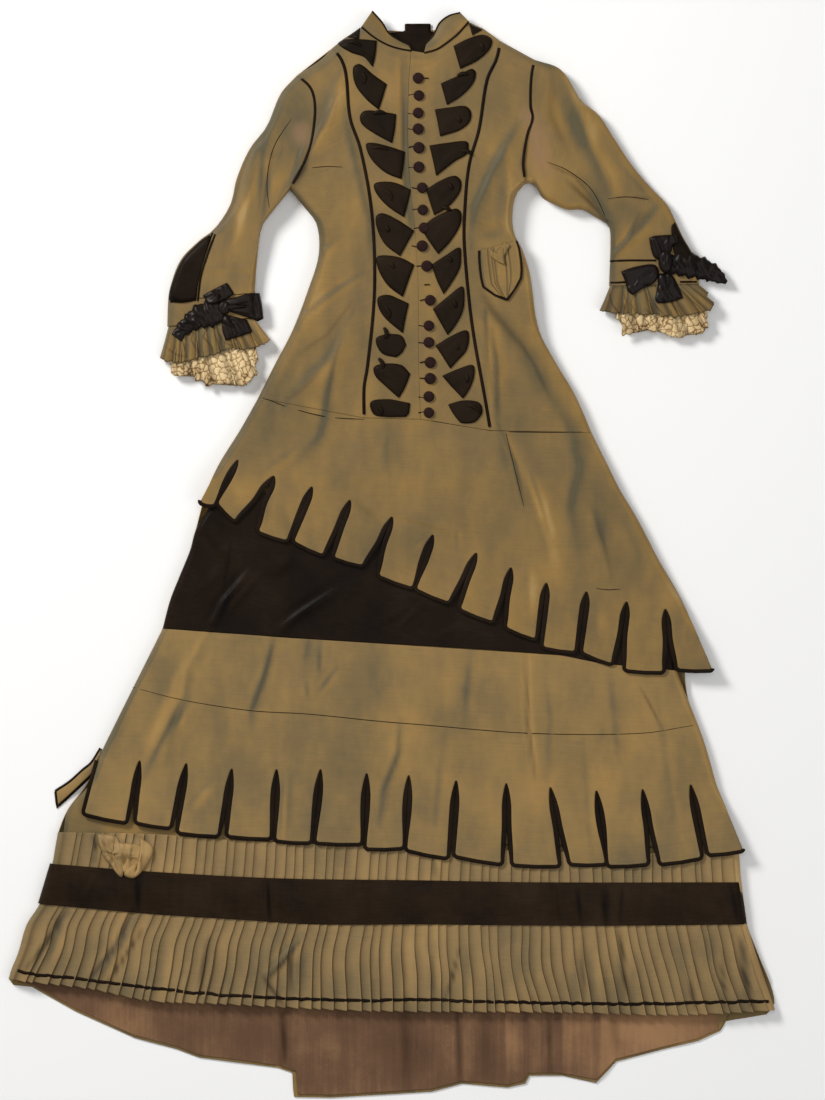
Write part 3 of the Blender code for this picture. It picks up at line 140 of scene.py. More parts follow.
SATIN_SIDE_LEFT = ((-264, 112), (-274, 72), (-293, 39), (-302, 7), (-317, -30), (-332, -68),
                   (-343, -110))
SATIN_SIDE_RIGHT = ((310, 60), (380, 0), (412, -68), (424, -120), (427, -172))
SATIN_HEM = ((-343, -110), (-150, -124), (253, -150), (313, -162), (427, -172))

# Tier: slit tops and tab feet as on the overskirt
TIER_SIDE_LEFT = ((-343, -110), (-434, -293), (-440, -308))
TIER_SIDE_RIGHT = ((428, -173), (445, -218), (468, -278), (487, -344))
TIER_TOP = ((-343, -110), (-150, -124), (253, -150), (313, -162), (428, -173))
TIER_SLITS = ((-377, -308), (-307, -312), (-239, -320), (-172, -321), (-106, -321), (-37, -327),
              (26, -330), (97, -338), (172, -342), (238, -348), (307, -353), (376, -351), (448, -344))
TIER_FEET = ((-460, -386, -398, -399), (-382, -399, -332, -407), (-319, -414, -260, -419),
             (-245, -419, -182, -423), (-173, -426, -122, -429), (-113, -429, -46, -431),
             (-38, -438, 17, -437), (23, -440, 83, -452), (95, -449, 164, -461),
             (182, -462, 250, -464), (268, -461, 320, -461), (325, -464, 383, -461),
             (403, -461, 463, -452), (475, -447, 526, -441))

# Foundation skirt, flounce, ribbon and braid: x, y
SKIRT_TOP = ((-252, 100), (-60, 50), (130, 10), (300, 50))
SKIRT_SIDE_LEFT = ((-252, 100), (-278, 39), (-312, -68), (-328, -115), (-418, -298), (-450, -342),
                   (-485, -381), (-492, -418), (-500, -465), (-516, -522), (-534, -560), (-552, -625))
SKIRT_SIDE_RIGHT = ((300, 50), (370, -6), (402, -68), (416, -120), (420, -173), (438, -218),
                    (461, -278), (480, -353), (507, -425), (513, -465), (516, -522), (520, -554),
                    (548, -645))
SKIRT_HEM = ((-552, -625), (-350, -646), (0, -660), (300, -664), (548, -645))
FLOUNCE_TOP = ((-500, -415), (-356, -418), (-251, -426), (0, -437), (260, -444), (521, -448))
FLOUNCE_SIDE_LEFT = ((-500, -415), (-509, -465), (-527, -522), (-547, -554), (-559, -594), (-574, -635))
FLOUNCE_SIDE_RIGHT = ((521, -448), (524, -485), (528, -522), (533, -554), (575, -682))
FLOUNCE_HEM = ((-574, -635), (-542, -639), (-457, -649), (-364, -667), (-251, -672), (-58, -682),
               (125, -684), (274, -685), (424, -689), (575, -682))
PLEATS = 66
RIBBON_TOP = ((-512, -462), (-359, -474), (-169, -484), (43, -487), (221, -490), (524, -490))
RIBBON_FOOT = ((-530, -522), (-364, -537), (-226, -546), (-113, -553), (43, -553), (293, -555),
               (533, -553))
BRAID_LINE = ((-560, -622), (-540, -627), (-457, -636), (-364, -648), (-251, -659), (-58, -667),
              (43, -666), (143, -669), (359, -672), (565, -668))

# Back skirt, train and its lining: x, y
BACK_SIDE_LEFT = ((-200, 235), (-227, 187), (-257, 139), (-277, 97), (-283, 78), (-293, 39),
                  (-305, -8), (-332, -68), (-343, -110), (-434, -293), (-458, -345), (-485, -381),
                  (-500, -418), (-509, -465), (-527, -522), (-547, -554), (-559, -594),
                  (-574, -635), (-567, -645))
BACK_SIDE_RIGHT = ((300, 183), (322, 139), (343, 97), (370, 52), (400, -6), (439, -75), (450, -110),
                   (440, -165), (445, -218), (468, -278), (487, -344), (515, -425), (524, -485),
                   (528, -522), (533, -554), (548, -594), (575, -668), (563, -689))
TRAIN_EDGE = ((-567, -645), (-539, -648), (-473, -685), (-386, -724), (-323, -741), (-288, -754),
              (-171, -769), (-147, -777), (-146, -813), (-92, -814), (13, -808), (61, -805),
              (106, -793), (174, -799), (201, -793), (207, -781), (256, -781), (307, -792),
              (337, -760), (405, -742), (460, -729), (493, -714), (497, -700), (563, -689))
LINING_TOP = ((-540, -612), (-200, -640), (150, -652), (488, -655))
LINING_EDGE = ((-560, -640), (-537, -645), (-473, -681), (-386, -720), (-323, -737), (-288, -750),
               (-171, -765), (-143, -774), (-141, -809), (-92, -810), (13, -804), (61, -801),
               (106, -789), (174, -795), (198, -789), (205, -777), (256, -777), (307, -787),
               (336, -756), (405, -738), (460, -725), (490, -711))

# Creases: half width, height, unevenness, then the places that they run through
BODICE_CREASES = (
    (15, 5.0, 0.0, 135, 374, 176, 340, 208, 298, 240, 242, 272, 190),
    (9, 2.6, 0.7, 143, 354, 156, 298, 160, 202),
    (5, 1.2, 0.3, 141, 362, 143, 270, 146, 205),
    (12, 3.2, 0.5, 192, 644, 156, 583, 127, 519, 121, 471),
    (10, 2.2, -0.4, 172, 607, 176, 535, 172, 479),
    (9, -2.8, 0.0, 132, 483, 156, 488, 184, 479),
    (7, 2.2, 0.6, 162, 762, 184, 747, 206, 735),
    (5, -1.6, 0.0, 208, 337, 221, 334),
    (13, 3.6, 0.3, -80, 712, -95, 656, -121, 601),
    (5, 1.6, 0.6, -83, 687, -100, 640),
    (5, 1.5, 0.4, -103, 644, -125, 599),
    (6, 1.6, 0.9, -47, 419, -95, 387, -135, 354),
    (7, 1.5, 0.8, -85, 469, -105, 451),
    (15, 3.2, 0.5, -65, 348, -87, 298, -125, 262, -153, 230),
    (10, 2.4, 0.5, -79, 310, -91, 254, -99, 202),
    (10, 1.8, 0.3, -69, 660, -51, 575, -36, 511),
    (4, -0.9, 0.0, -119, 579, -73, 580),
    (5, -1.8, 0.0, 14, 745, 17, 700, 18, 607, 20, 551, 26, 470),
    (6, 1.5, 0.5, -5, 746, 27, 738, 63, 736),
    (4, 1.3, 0.6, 31, 727, 59, 729),
    (6, 1.6, 0.5, -42, 744, -20, 724, 0, 716),
    (7, 1.4, 0.4, 70, 744, 84, 728, 92, 700),
)
SLEEVE_CREASES = (
    (7, 2.8, 0.7, -133, 607, -147, 555),
    (11, 3.0, 0.5, -183, 644, -191, 583, -196, 535),
    (11, 2.6, 0.3, -169, 591, -181, 551, -191, 503),
    (10, 2.4, -0.5, -208, 555, -226, 511, -234, 475),
    (4, 1.2, 0.8, -276, 427, -246, 422),
    (3, 0.9, 0.8, -238, 446, -206, 444),
    (4, 1.2, 0.8, -238, 431, -210, 422),
    (6, 1.4, 0.6, -155, 700, -167, 692),
    (10, 2.0, 0.2, -202, 607, -214, 543, -210, 487),
    (14, -3.0, 0.0, 240, 708, 260, 652, 282, 607),
    (12, 4.2, 0.3, 260, 712, 300, 607, 332, 535),
    (10, -3.2, 0.0, 288, 551, 322, 499),
    (8, 2.6, 0.6, 401, 523, 370, 484, 336, 451),
    (5, 1.6, 0.8, 372, 508, 352, 470, 332, 450),
    (6, -1.6, 0.2, 202, 607, 203, 559),
    (7, 2.0, 0.5, 212, 632, 224, 583),
    (9, 2.2, 0.4, 330, 600, 372, 556, 398, 520),
)
APRON_CREASES = (
    (14, 2.2, 0.4, 268, 178, 285, 136, 272, 73, 280, 10),
    (10, 1.8, 0.4, 306, 73, 327, -11),
    (12, 1.6, 0.4, -90, 215, -103, 178, -132, 151),
    (9, 0.9, 0.3, -6, 187, -4, 124),
    (4, 1.2, 0.9, 167, 183, 184, 140, 198, 73),
    (5, 1.4, 0.9, 209, 124, 224, 80, 238, 27),
    (12, 1.6, 0.3, 196, 124, 230, 44, 243, -32),
    (9, 1.6, 0.6, -56, 82, -36, 68, -14, 52),
    (8, 1.7, 0.6, 3, 60, 62, 44, 99, 31),
    (4, 1.0, 0.7, 99, 35, 99, 10),
    (3, 0.9, 0.7, 36, 10, 49, 23),
    (8, 1.2, 0.5, -140, 161, -191, 124),
    (8, 1.4, 0.5, 205, -24, 206, -87),
    (6, 1.0, 0.4, -180, 92, -186, 45),
    (9, 1.2, 0.3, 350, 60, 385, -30),
)
SATIN_CREASES = (
    (7, 3.6, 0.9, -216, -24, -254, -70, -273, -108),
    (5, 2.2, 0.9, -203, -32, -240, -74, -255, -108),
    (8, 3.2, 0.9, -82, -49, -140, -87, -172, -112),
    (12, 2.2, 0.4, -150, 0, -191, -18, -233, -52),
    (5, 1.8, 0.7, 49, -67, 28, -88, 11, -108),
    (8, 2.0, 0.4, -149, 0, -178, -28),
    (9, 1.8, 0.4, -240, 20, -265, -30, -300, -60),
    (6, 1.4, 0.6, 20, -78, -20, -100),
    (5, 1.2, 0.6, 100, -104, 66, -124),
    (7, 1.6, 0.4, -60, -44, -84, -84),
    (9, 1.4, 0.4, -280, 40, -250, 0, -235, -20),
)
TIER_CREASES = (
    (11, 1.5, 0.5, -287, -122, -310, -170, -318, -205),
    (9, 1.8, 0.7, -316, -222, -330, -255, -352, -300, -368, -330),
    (8, 1.3, 0.6, -176, -126, -189, -180, -206, -225),
    (8, 1.2, 0.6, 11, -262, 11, -293, -11, -351, -18, -402),
    (5, 1.3, 0.8, -84, -173, -106, -202),
    (4, 1.0, 0.8, -127, -191, -124, -213),
    (5, 1.0, 0.6, -106, -133, -107, -173, -90, -178),
    (7, 1.4, 0.5, -273, -344, -302, -377),
    (5, 1.4, 0.8, -312, -232, -322, -256),
    (4, 1.1, 0.5, -160, -330, -166, -420),
    (8, 1.2, 0.5, 120, -150, 112, -235),
    (9, 1.2, 0.5, 230, -165, 240, -240, 236, -330),
    (4, 1.6, 0.8, 200, -150, 203, -250, 214, -338),
    (8, 1.4, 0.5, 330, -180, 340, -300),
    (8, 1.2, 0.4, 80, -270, 66, -420),
    (8, 1.2, 0.4, 290, -280, 300, -440),
    (9, 1.3, 0.4, 400, -210, 430, -420),
)
LINING_CREASES = (
    (7, 4.2, 0.8, -157, -690, -160, -730, -165, -772),
    (14, 2.6, 0.5, -152, -640, -150, -800),
    (22, 1.6, 0.2, -60, -640, -62, -800),
    (14, 3.8, 0.6, 103, -660, 104, -792),
    (13, 3.0, 0.5, 205, -660, 206, -785),
    (11, 3.6, 0.6, 252, -665, 255, -780),
    (15, 4.2, 0.6, 312, -665, 312, -788),
    (20, 2.0, 0.3, 405, -665, 405, -740),
    (9, 1.2, 0.6, -240, -660, -258, -735),
    (12, 1.0, 0.3, -380, -660, -400, -715),
    (7, 1.4, 0.6, 20, -690, 24, -800),
    (7, 1.6, 0.6, 168, -690, 170, -795),
)
BACK_CREASES = (
    (12, 1.6, 0.3, -120, 700, -90, 600, -60, 470),
    (12, 1.6, 0.3, 190, 700, 160, 600, 130, 480),
    (9, 1.3, 0.4, -60, 420, -120, 330, -160, 240),
    (10, 1.4, 0.4, 120, 430, 180, 330, 230, 220),
    (14, 1.8, 0.4, -150, 200, -220, 0, -300, -260, -380, -520),
    (14, 1.8, 0.4, -40, 190, -70, 20, -110, -240, -130, -620),
    (14, 1.7, 0.4, 90, 180, 120, 20, 150, -240, 190, -640),
    (14, 1.8, 0.4, 230, 170, 290, 0, 350, -260, 440, -600),
    (9, 1.2, 0.5, -250, -320, -300, -440, -330, -600),
    (9, 1.2, 0.5, 20, -300, 40, -460, 30, -640),
    (9, 1.2, 0.5, 260, -330, 290, -480, 300, -650),
    (7, 1.1, 0.5, -200, 60, -180, -40),
    (7, 1.1, 0.5, 330, 30, 300, -60),
)

# Painted sheen and shade of the silk along its folds: half width, strength (below nought painted grey shade,
# above it painted amber sheen), then its places
SHEEN = (
    (9, -1.3, -69, 660, -51, 575, -36, 511, -30, 440),
    (7, -1.3, 16, 740, 14, 680, 17, 607, 19, 551, 30, 480),
    (16, -1.0, 192, 644, 156, 583, 127, 519, 121, 460),
    (13, -1.3, 150, 366, 176, 336, 208, 294, 240, 238, 272, 178, 282, 130, 268, 73, 280, 10),
    (15, -0.7, 122, 500, 140, 480, 180, 470),
    (9, 0.9, 141, 372, 146, 300, 150, 205),
    (12, 0.8, 172, 607, 176, 535, 172, 479),
    (12, 1.0, -80, 705, -98, 656, -122, 601),
    (12, 0.9, -196, 560, -188, 590, -176, 540),
    (12, 0.7, -226, 540, -232, 490, -245, 450),
    (9, -0.8, -202, 607, -212, 543, -206, 487),
    (11, 0.8, -95, 460, -120, 380, -133, 352),
    (12, -0.9, -130, 330, -160, 270, -185, 230),
    (9, 1.0, -70, 350, -88, 298, -112, 262),
    (11, -1.0, -95, 262, -100, 215, -112, 172, -140, 146),
    (13, -1.1, 240, 712, 262, 652, 290, 596),
    (9, -1.0, 280, 566, 322, 500),
    (12, 0.8, 262, 712, 306, 607, 340, 540, 372, 520),
    (12, 0.6, 350, 520, 340, 460),
    (14, -0.5, -260, 440, -230, 400),
    (15, -0.8, -6, 200, -4, 110),
    (9, -0.7, 154, 237, 163, 157, 171, 124),
    (14, -1.1, 306, 73, 327, -11),
    (8, -0.9, -150, 22, -158, 66),
    (14, 0.9, -130, 236, -112, 205),
    (12, 1.2, 167, 183, 196, 124, 230, 44, 243, -32),
    (11, 1.1, 205, -24, 205, -90),
    (10, 1.0, 310, -87, 314, -128),
    (14, 0.7, -240, 110, -214, 66),
    (12, 1.3, -287, -118, -324, -187, -333, -213, -347, -242, -371, -304),
    (8, -1.4, -273, -118, -305, -173, -309, -213, -324, -242, -338, -300),
    (7, -1.3, -176, -124, -189, -180, -211, -231, -211, -271),
    (7, -1.3, 11, -253, 11, -293, -11, -351, -18, -402),
    (6, -1.0, -154, -322, -158, -424),
    (6, -0.9, -124, -122, -131, -160),
    (10, 0.8, -273, -344, -302, -377),
    (8, 1.0, 201, -150, 203, -250, 214, -340),
    (12, -0.8, 330, -180, 342, -300),
    (14, -0.7, 110, -150, 104, -235),
    (16, 0.5, 250, -380, 262, -460),
    (16, -0.6, 420, -260, 440, -420),
    (14, 0.8, -420, -560, -416, -640),
    (12, -0.9, -500, -545, -520, -620),
    (10, -0.8, -386, -545, -440, -640),
    (9, 0.9, 20, -560, 22, -660),
    (10, 0.9, 70, -560, 72, -660),
    (9, -0.8, -120, -560, -150, -660),
)
STAINS = (
    (17, 0.9, -141, 650, -129, 610),
    (15, 0.7, 196, 672, 214, 640),
    (17, 1.0, 216, 650, 224, 590, 232, 560),
    (9, 0.5, 420, 400, 430, 380),
)

# Darkness in sharp folds: half width, strength, then its places
SHADOWS = (
    # Folds of the bunch in the heading
    (1.1, 0.9, -436, -424, -426, -446, -416, -462), (1.1, 0.9, -428, -424, -418, -448, -408, -468),
    (1.2, 1.0, -419, -424, -412, -446, -403, -476), (7.0, 0.7, -401, -430, -398, -452),
    (1.1, 0.9, -396, -476, -388, -458, -382, -444), (1.0, 0.8, -366, -432, -378, -452, -390, -474),
    (0.9, 0.7, -372, -428, -376, -446), (1.3, 0.7, -440, -430, -424, -456, -410, -474),
    # Folds of the ruffles on the cuffs
    (1.0, 0.9, -318, 330, -312, 318, -306, 296), (0.9, 0.8, -296, 336, -300, 322, -290, 304),
    (1.0, 0.9, -276, 340, -282, 326, -270, 314, -268, 302), (0.9, 0.8, -262, 338, -254, 324, -258, 312),
    (0.9, 0.8, -340, 312, -322, 300, -304, 296), (0.9, 0.8, -244, 330, -250, 318, -236, 312),
    (1.0, 0.9, 326, 394, 330, 376, 342, 360), (0.9, 0.8, 346, 394, 352, 380, 348, 362),
    (0.9, 0.8, 362, 390, 358, 376, 368, 360), (1.0, 0.9, 392, 384, 396, 372, 410, 358),
    (0.9, 0.8, 412, 392, 420, 376, 428, 362), (0.9, 0.7, 378, 370, 392, 358, 400, 352),
    (5, 1.0, -126, 600, -131, 578, -150, 550),
    (3, 0.55, -88, 676, -104, 642, -122, 606),
    (3, 0.5, -177, 604, -186, 556, -192, 510),
    (3, 0.4, -190, 630, -194, 580, -197, 527),
    (4, 0.5, -146, 540, -130, 518, -116, 497),
    (2.6, 0.6, -158, 702, -167, 690),
    (3, 0.4, -213, 610, -240, 520, -262, 480),
    (3.6, 1.0, 202, 622, 197, 584, 202, 560),
    (6, 0.35, 240, 705, 238, 657, 266, 597),
    (4, 0.75, 262, 560, 296, 529, 322, 500),
    (2.2, 0.6, 236, 584, 275, 566, 305, 528),
    (3.4, 0.4, 384, 516, 362, 484, 338, 448),
    (2.4, 0.4, 360, 536, 390, 534),
    (6, 0.6, 134, 394, 150, 366, 170, 342, 202, 304),
    (3, 0.5, 150, 340, 158, 290, 160, 210),
    (3, 0.45, 190, 322, 214, 284, 236, 236),
    (2.6, 0.5, 140, 366, 144, 300, 150, 240),
    (2.4, 0.4, -58, 380, -96, 330, -140, 300),
    (3, 0.4, -80, 310, -92, 255, -100, 206),
    (2.4, 0.35, -110, 270, -140, 242, -170, 226),
    (2.2, 0.5, 14, 742, 17, 680, 18, 607, 20, 551),
    (2.2, 0.6, 372, -197, 388, -226, 406, -262),
    (2.4, 0.5, -318, -222, -334, -258, -356, -300),
    (2.2, 0.5, -176, -128, -190, -180, -208, -232),
    (2.2, 0.4, 12, -262, 10, -300, -12, -352),
    (2.2, 0.6, 203, -152, 205, -250, 216, -336),
    (2.4, 0.4, 168, 182, 186, 138, 200, 76),
    (2.4, 0.4, 300, 72, 320, 10, 330, -40),
    (3, 0.9, -437, -418, -430, -440, -425, -458),
    (2.6, 0.9, -446, -420, -441, -446),
    (3, 1.0, -412, -436, -398, -478),
    (3, 0.8, -366, -448, -398, -480),
    (3, 0.8, -368, -428, -362, -452),
    (6, 0.5, -392, -452),
    (3.4, 1.0, -486, -533, -512, -575, -552, -626),
    (3.0, 0.6, -500, -540, -540, -630),
    (4.0, 1.0, -387, -533, -412, -585, -457, -643),
    (2.8, 0.9, -372, -560, -428, -646),
    (3.0, 0.9, -273, -572, -282, -620, -288, -660),
    (3.4, 1.0, -138, -577, -164, -612, -189, -636),
    (3.0, 0.9, -193, -630, -176, -654, -160, -676),
    (2.6, 0.7, -150, -590, -150, -650),
    (2.6, 0.8, 102, -589, 92, -630, 80, -668),
    (2.6, 0.6, 60, -600, 62, -664),
    (3.4, 1.0, 343, -560, 347, -620, 351, -672),
    (3.0, 0.7, 283, -570, 290, -672),
    (3.0, 0.9, 447, -640, 454, -680),
    (3.4, 1.0, 522, -572, 530, -630, 538, -676),
    (2.6, 0.7, 494, -590, 500, -676),
    (4.0, 0.9, -380, -474, -379, -534),
    (3.0, 0.9, -185, -488, -182, -550),
    (3.6, 0.8, 277, -494, 284, -553),
    (6.0, 0.8, 318, -496, 322, -553),
    (3.0, 0.6, 346, -492, 342, -552),
    (4.0, 0.8, 508, -495, 520, -552),
    (5.0, 0.9, -166, -680, -161, -730, -157, -765),
    (3.4, 0.7, 99, -684, 103, -794),
    (13.0, 0.45, 140, -684, 142, -792),
    (5.0, 0.8, 236, -684, 238, -786),
    (8.0, 0.4, 330, -684, 340, -750),
    (9.0, 0.5, 20, -664, 26, -800),
    (2.4, 0.5, -240, 22, -254, -70),
    (5.0, 0.9, -232, -30, -262, -108),
    (5.0, 0.8, -96, -52, -160, -112),
)
# Lighter and darker streaks of the lining, as on the sheen's rows
LINING_STREAKS = ((60, 3.2, 300, -740, 360, -720, 470, -690), (22, 2.2, 180, -700, 186, -780),
         (40, -1.6, -90, -700, 40, -740))

FLAPS_LEFT = (
    (-80, 765, -71, 771, -45, 771, -22, 769, -24, 748, -28, 730, -41, 745, -61, 752),
    (-57, 729, -47, 734, -27, 718, -7, 704, -13, 684, -19, 666, -37, 681, -54, 704),
    (-47, 656, -40, 664, -17, 663, 7, 659, 5, 636, 1, 616, -25, 630, -44, 644),
    (-38, 614, -27, 616, -5, 611, 20, 603, 18, 583, 15, 562, -9, 572, -30, 592),
    (-26, 554, -13, 558, 7, 556, 29, 546, 24, 525, 19, 505, -5, 521, -22, 540),
    (-23, 506, -13, 511, 11, 500, 34, 485, 23, 465, 13, 447, -9, 464, -21, 487),
    (-22, 445, -9, 448, 15, 444, 34, 434, 25, 409, 17, 386, -5, 403, -19, 426),
    (-20, 385, -5, 389, 11, 383, 26, 376, 21, 354, 17, 332, -9, 354, -19, 370),
    (-22, 325, -5, 330, 15, 328, 22, 314, 15, 302, 7, 296, -13, 301, -22, 314),
    (-26, 281, -11, 286, 15, 284, 28, 271, 20, 250, 11, 235, -9, 253, -24, 268),
    (-31, 229, -5, 233, 13, 230, 28, 227, 26, 212, 22, 207, -9, 207, -27, 211),
)
FLAPS_RIGHT = (
    (93, 761, 115, 772, 137, 778, 150, 771, 147, 757, 129, 740, 103, 727, 98, 744),
    (74, 705, 99, 716, 120, 727, 126, 722, 123, 707, 105, 687, 83, 673, 78, 691),
    (65, 666, 87, 669, 111, 671, 119, 662, 117, 648, 103, 636, 73, 626, 69, 648),
    (57, 612, 83, 616, 113, 618, 115, 607, 112, 599, 95, 589, 67, 567, 62, 591),
    (52, 546, 72, 559, 95, 567, 104, 559, 102, 542, 84, 520, 64, 508, 57, 529),
    (44, 489, 65, 505, 96, 518, 104, 512, 103, 494, 88, 469, 70, 450, 55, 471),
    (60, 434, 83, 449, 102, 460, 104, 447, 102, 429, 90, 407, 78, 390, 68, 411),
    (62, 368, 84, 386, 106, 402, 109, 390, 107, 366, 96, 344, 84, 329, 72, 350),
    (66, 313, 91, 328, 113, 336, 116, 323, 112, 306, 99, 291, 88, 279, 76, 298),
    (76, 268, 102, 279, 122, 284, 124, 270, 119, 253, 113, 242, 107, 234, 88, 254),
    (85, 225, 107, 231, 131, 228, 136, 214, 126, 200, 112, 197, 103, 198, 92, 212),
)
# Rolled loops at the flaps' outer ends: start x, y, end x, y
LOOPS_LEFT = ((-65, 766, -45, 760), (-44, 722, -41, 704), (-27, 659, -9, 660), (-29, 607, -5, 605),
              (-9, 545, 1, 529), (-9, 491, -5, 483), (-3, 437, 3, 427), (-11, 372, -3, 354),
              (-11, 340, -9, 323), (-19, 294, -13, 278), (-21, 224, -15, 210))
LOOPS_RIGHT = ((132, 766, 135, 752), (99, 716, 115, 718), (97, 654, 103, 646), (103, 603, 121, 599),
               (85, 555, 90, 546), (75, 519, 88, 515), (85, 445, 89, 437), (91, 382, 95, 370),
               (95, 314, 100, 306), (111, 270, 112, 258), (111, 224, 133, 212))
BUTTON_PLACES = ((40, 713), (41, 687), (40, 661), (40, 637), (41, 609), (41, 580), (46, 549),
                 (47, 516), (49, 489), (46, 462), (53, 432), (58, 381), (56, 343), (56, 318),
                 (58, 288), (58, 264), (56, 237), (56, 213))
BUTTON_RADIUS = 8.2
BUTTON_HEIGHT = 4.6


class Cloth(Enum):
    """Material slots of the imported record."""

    SILK = "silk"
    SATIN = "satin"
    LINING = "silk_lining"
    LACE = "lace"
    BUTTON = "button"


class Side(Enum):
    """Sides of the dress as it is looked at."""

    LEFT = "left"
    RIGHT = "right"


def tube_half(y: np.ndarray) -> np.ndarray:
    """Half the thickness of the flattened tube at heights up the dress."""
    return np.interp(y, TUBE_Y, TUBE_Z) / 2


def even(count: int) -> np.ndarray:
    """Even fractions from 0 to 1."""
    return np.linspace(0.0, 1.0, count)


def pairs(row: Sequence[float]) -> np.ndarray:
    """Places from numbers that give x and y in turn."""
    return np.array(row, dtype=float).reshape(-1, 2)


def raised(place: np.ndarray, z: np.ndarray) -> np.ndarray:
    """Places with a height each."""
    return np.concatenate((place, z[..., None]), axis=-1)


def quarter_round(share: np.ndarray) -> np.ndarray:
    """Height on a quarter circle, from 0 at its start to 1 at its end."""
    return np.sqrt(1 - (1 - share) ** 2)


def softened(heights: np.ndarray, reach: int) -> np.ndarray:
    """Heights averaged with their neighbours on both sides."""
    count = 2 * reach + 1
    return np.convolve(np.pad(heights, reach, mode="edge"), np.ones(count) / count, mode="valid")


def smooth_step(value: np.ndarray, low: float, high: float) -> np.ndarray:
    """Soft step from 0 at low to 1 at high."""
    share = np.clip((value - low) / (high - low), 0.0, 1.0)
    return share * share * (3 - 2 * share)


def value_noise(x: np.ndarray, y: np.ndarray, size: float, seed: int) -> np.ndarray:
    """Smooth noise between -1 and 1.

    Args:
        x: Places across.
        y: Places along.
        size: Distance between two values of the noise.
        seed: Number that picks the noise.

    Returns:
        The noise at each place.
    """
    gx, gy = x / size, y / size
    ix, iy = np.floor(gx), np.floor(gy)
    fx, fy = gx - ix, gy - iy
    fx, fy = fx * fx * (3 - 2 * fx), fy * fy * (3 - 2 * fy)

    def corner(dx: int, dy: int) -> np.ndarray:
        """Value at a corner of the noise's grid."""
        turn = np.sin((ix + dx) * 127.1 + (iy + dy) * 311.7 + seed * 74.7) * 43758.5453
        return 2 * (turn - np.floor(turn)) - 1

    low = corner(0, 0) * (1 - fx) + corner(1, 0) * fx
    high = corner(0, 1) * (1 - fx) + corner(1, 1) * fx
    return low * (1 - fy) + high * fy


class Line:
    """A line of straight stretches, read by the fraction of its length."""

    def __init__(self, points: Rows, soft: bool = True) -> None:
        """Keep the points, with their corners rounded where the line is soft."""
        kept = np.array(points, dtype=float)[:, :2]
        if soft and len(kept) > 2:
            kept = self.rounded(kept)
        self.points = kept
        steps = np.linalg.norm(np.diff(kept, axis=0), axis=1)
        self.at = np.concatenate(([0.0], np.cumsum(steps))) / steps.sum()

    @staticmethod
    def rounded(points: np.ndarray, steps: int = 6) -> np.ndarray:
        """Points of a curve through all the given ones, with gentle tangents."""
        padded = np.vstack((2 * points[0] - points[1], points, 2 * points[-1] - points[-2]))
        made = []
        for k in range(len(points) - 1):
            a, b, c, d = padded[k:k + 4]
            size = np.linalg.norm(c - b)
            start = (c - a) / (np.linalg.norm(b - a) + size) * size
            end = (d - b) / (np.linalg.norm(d - c) + size) * size
            for t in np.arange(steps) / steps:
                h = np.array((2 * t**3 - 3 * t**2 + 1, t**3 - 2 * t**2 + t,
                              -2 * t**3 + 3 * t**2, t**3 - t**2))
                made.append(h[0] * b + h[1] * start + h[2] * c + h[3] * end)
        made.append(points[-1])
        return np.array(made)

    def at_fraction(self, fraction: np.ndarray) -> np.ndarray:
        """Points at fractions of the line's length."""
        x = np.interp(fraction, self.at, self.points[:, 0])
        y = np.interp(fraction, self.at, self.points[:, 1])
        return np.stack((x, y), axis=-1)

    @property
    def length(self) -> float:
        """Length of the line."""
        return float(np.linalg.norm(np.diff(self.points, axis=0), axis=1).sum())


def across_lines(left: Line, right: Line, t: np.ndarray, s: np.ndarray) -> np.ndarray:
    """Places at share s of the way from one line to another, at fraction t of both."""
    return left.at_fraction(t) * (1 - s)[..., None] + right.at_fraction(t) * s[..., None]


def hung_from(top: np.ndarray, left: Rows, right: Rows) -> tuple[np.ndarray, np.ndarray]:
    """Side lines of a layer, moved to start at the ends of its top."""
    return (np.vstack((top[:1], np.array(left[1:], dtype=float))),
            np.vstack((top[-1:], np.array(right[1:], dtype=float))))


class TwoLines:
    """Two lines end to end, which meet at a set fraction."""

    def __init__(self, first: Rows, second: Rows, meeting: float) -> None:
        """Keep the two lines and where they meet."""
        self.first, self.second, self.meeting = Line(first), Line(second), meeting

    def at_fraction(self, fraction: np.ndarray) -> np.ndarray:
        """Points at fractions of the whole."""
        fraction = np.asarray(fraction, dtype=float)
        upper = self.first.at_fraction(np.clip(fraction / self.meeting, 0, 1))
        lower = self.second.at_fraction(np.clip((fraction - self.meeting) / (1 - self.meeting), 0, 1))
        return np.where((fraction <= self.meeting)[..., None], upper, lower)

    @property
    def length(self) -> float:
        """Length of both lines."""
        return self.first.length + self.second.length


@dataclass
class Patch:
    """A patch of cloth between four lines."""

    left: Line | TwoLines
    right: Line | TwoLines
    top: Line
    foot: Line

    def place(self, u: np.ndarray, v: np.ndarray) -> np.ndarray:
        """Places in the patch.

        Args:
            u: Fractions from the left to the right line.
            v: Fractions from the top to the foot.

        Returns:
            The x and y of each place.
        """
        a, b = u[..., None], v[..., None]
        across = (1 - a) * self.left.at_fraction(v) + a * self.right.at_fraction(v)
        down = (1 - b) * self.top.at_fraction(u) + b * self.foot.at_fraction(u)
        ends = np.array((0.0, 1.0))
        top, foot = self.top.at_fraction(ends), self.foot.at_fraction(ends)
        upper = (1 - a) * top[0] + a * top[1]
        lower = (1 - a) * foot[0] + a * foot[1]
        return across + down - ((1 - b) * upper + b * lower)

    def width(self, v: np.ndarray) -> np.ndarray:
        """Distance between the side lines."""
        return np.linalg.norm(self.right.at_fraction(v) - self.left.at_fraction(v), axis=-1)


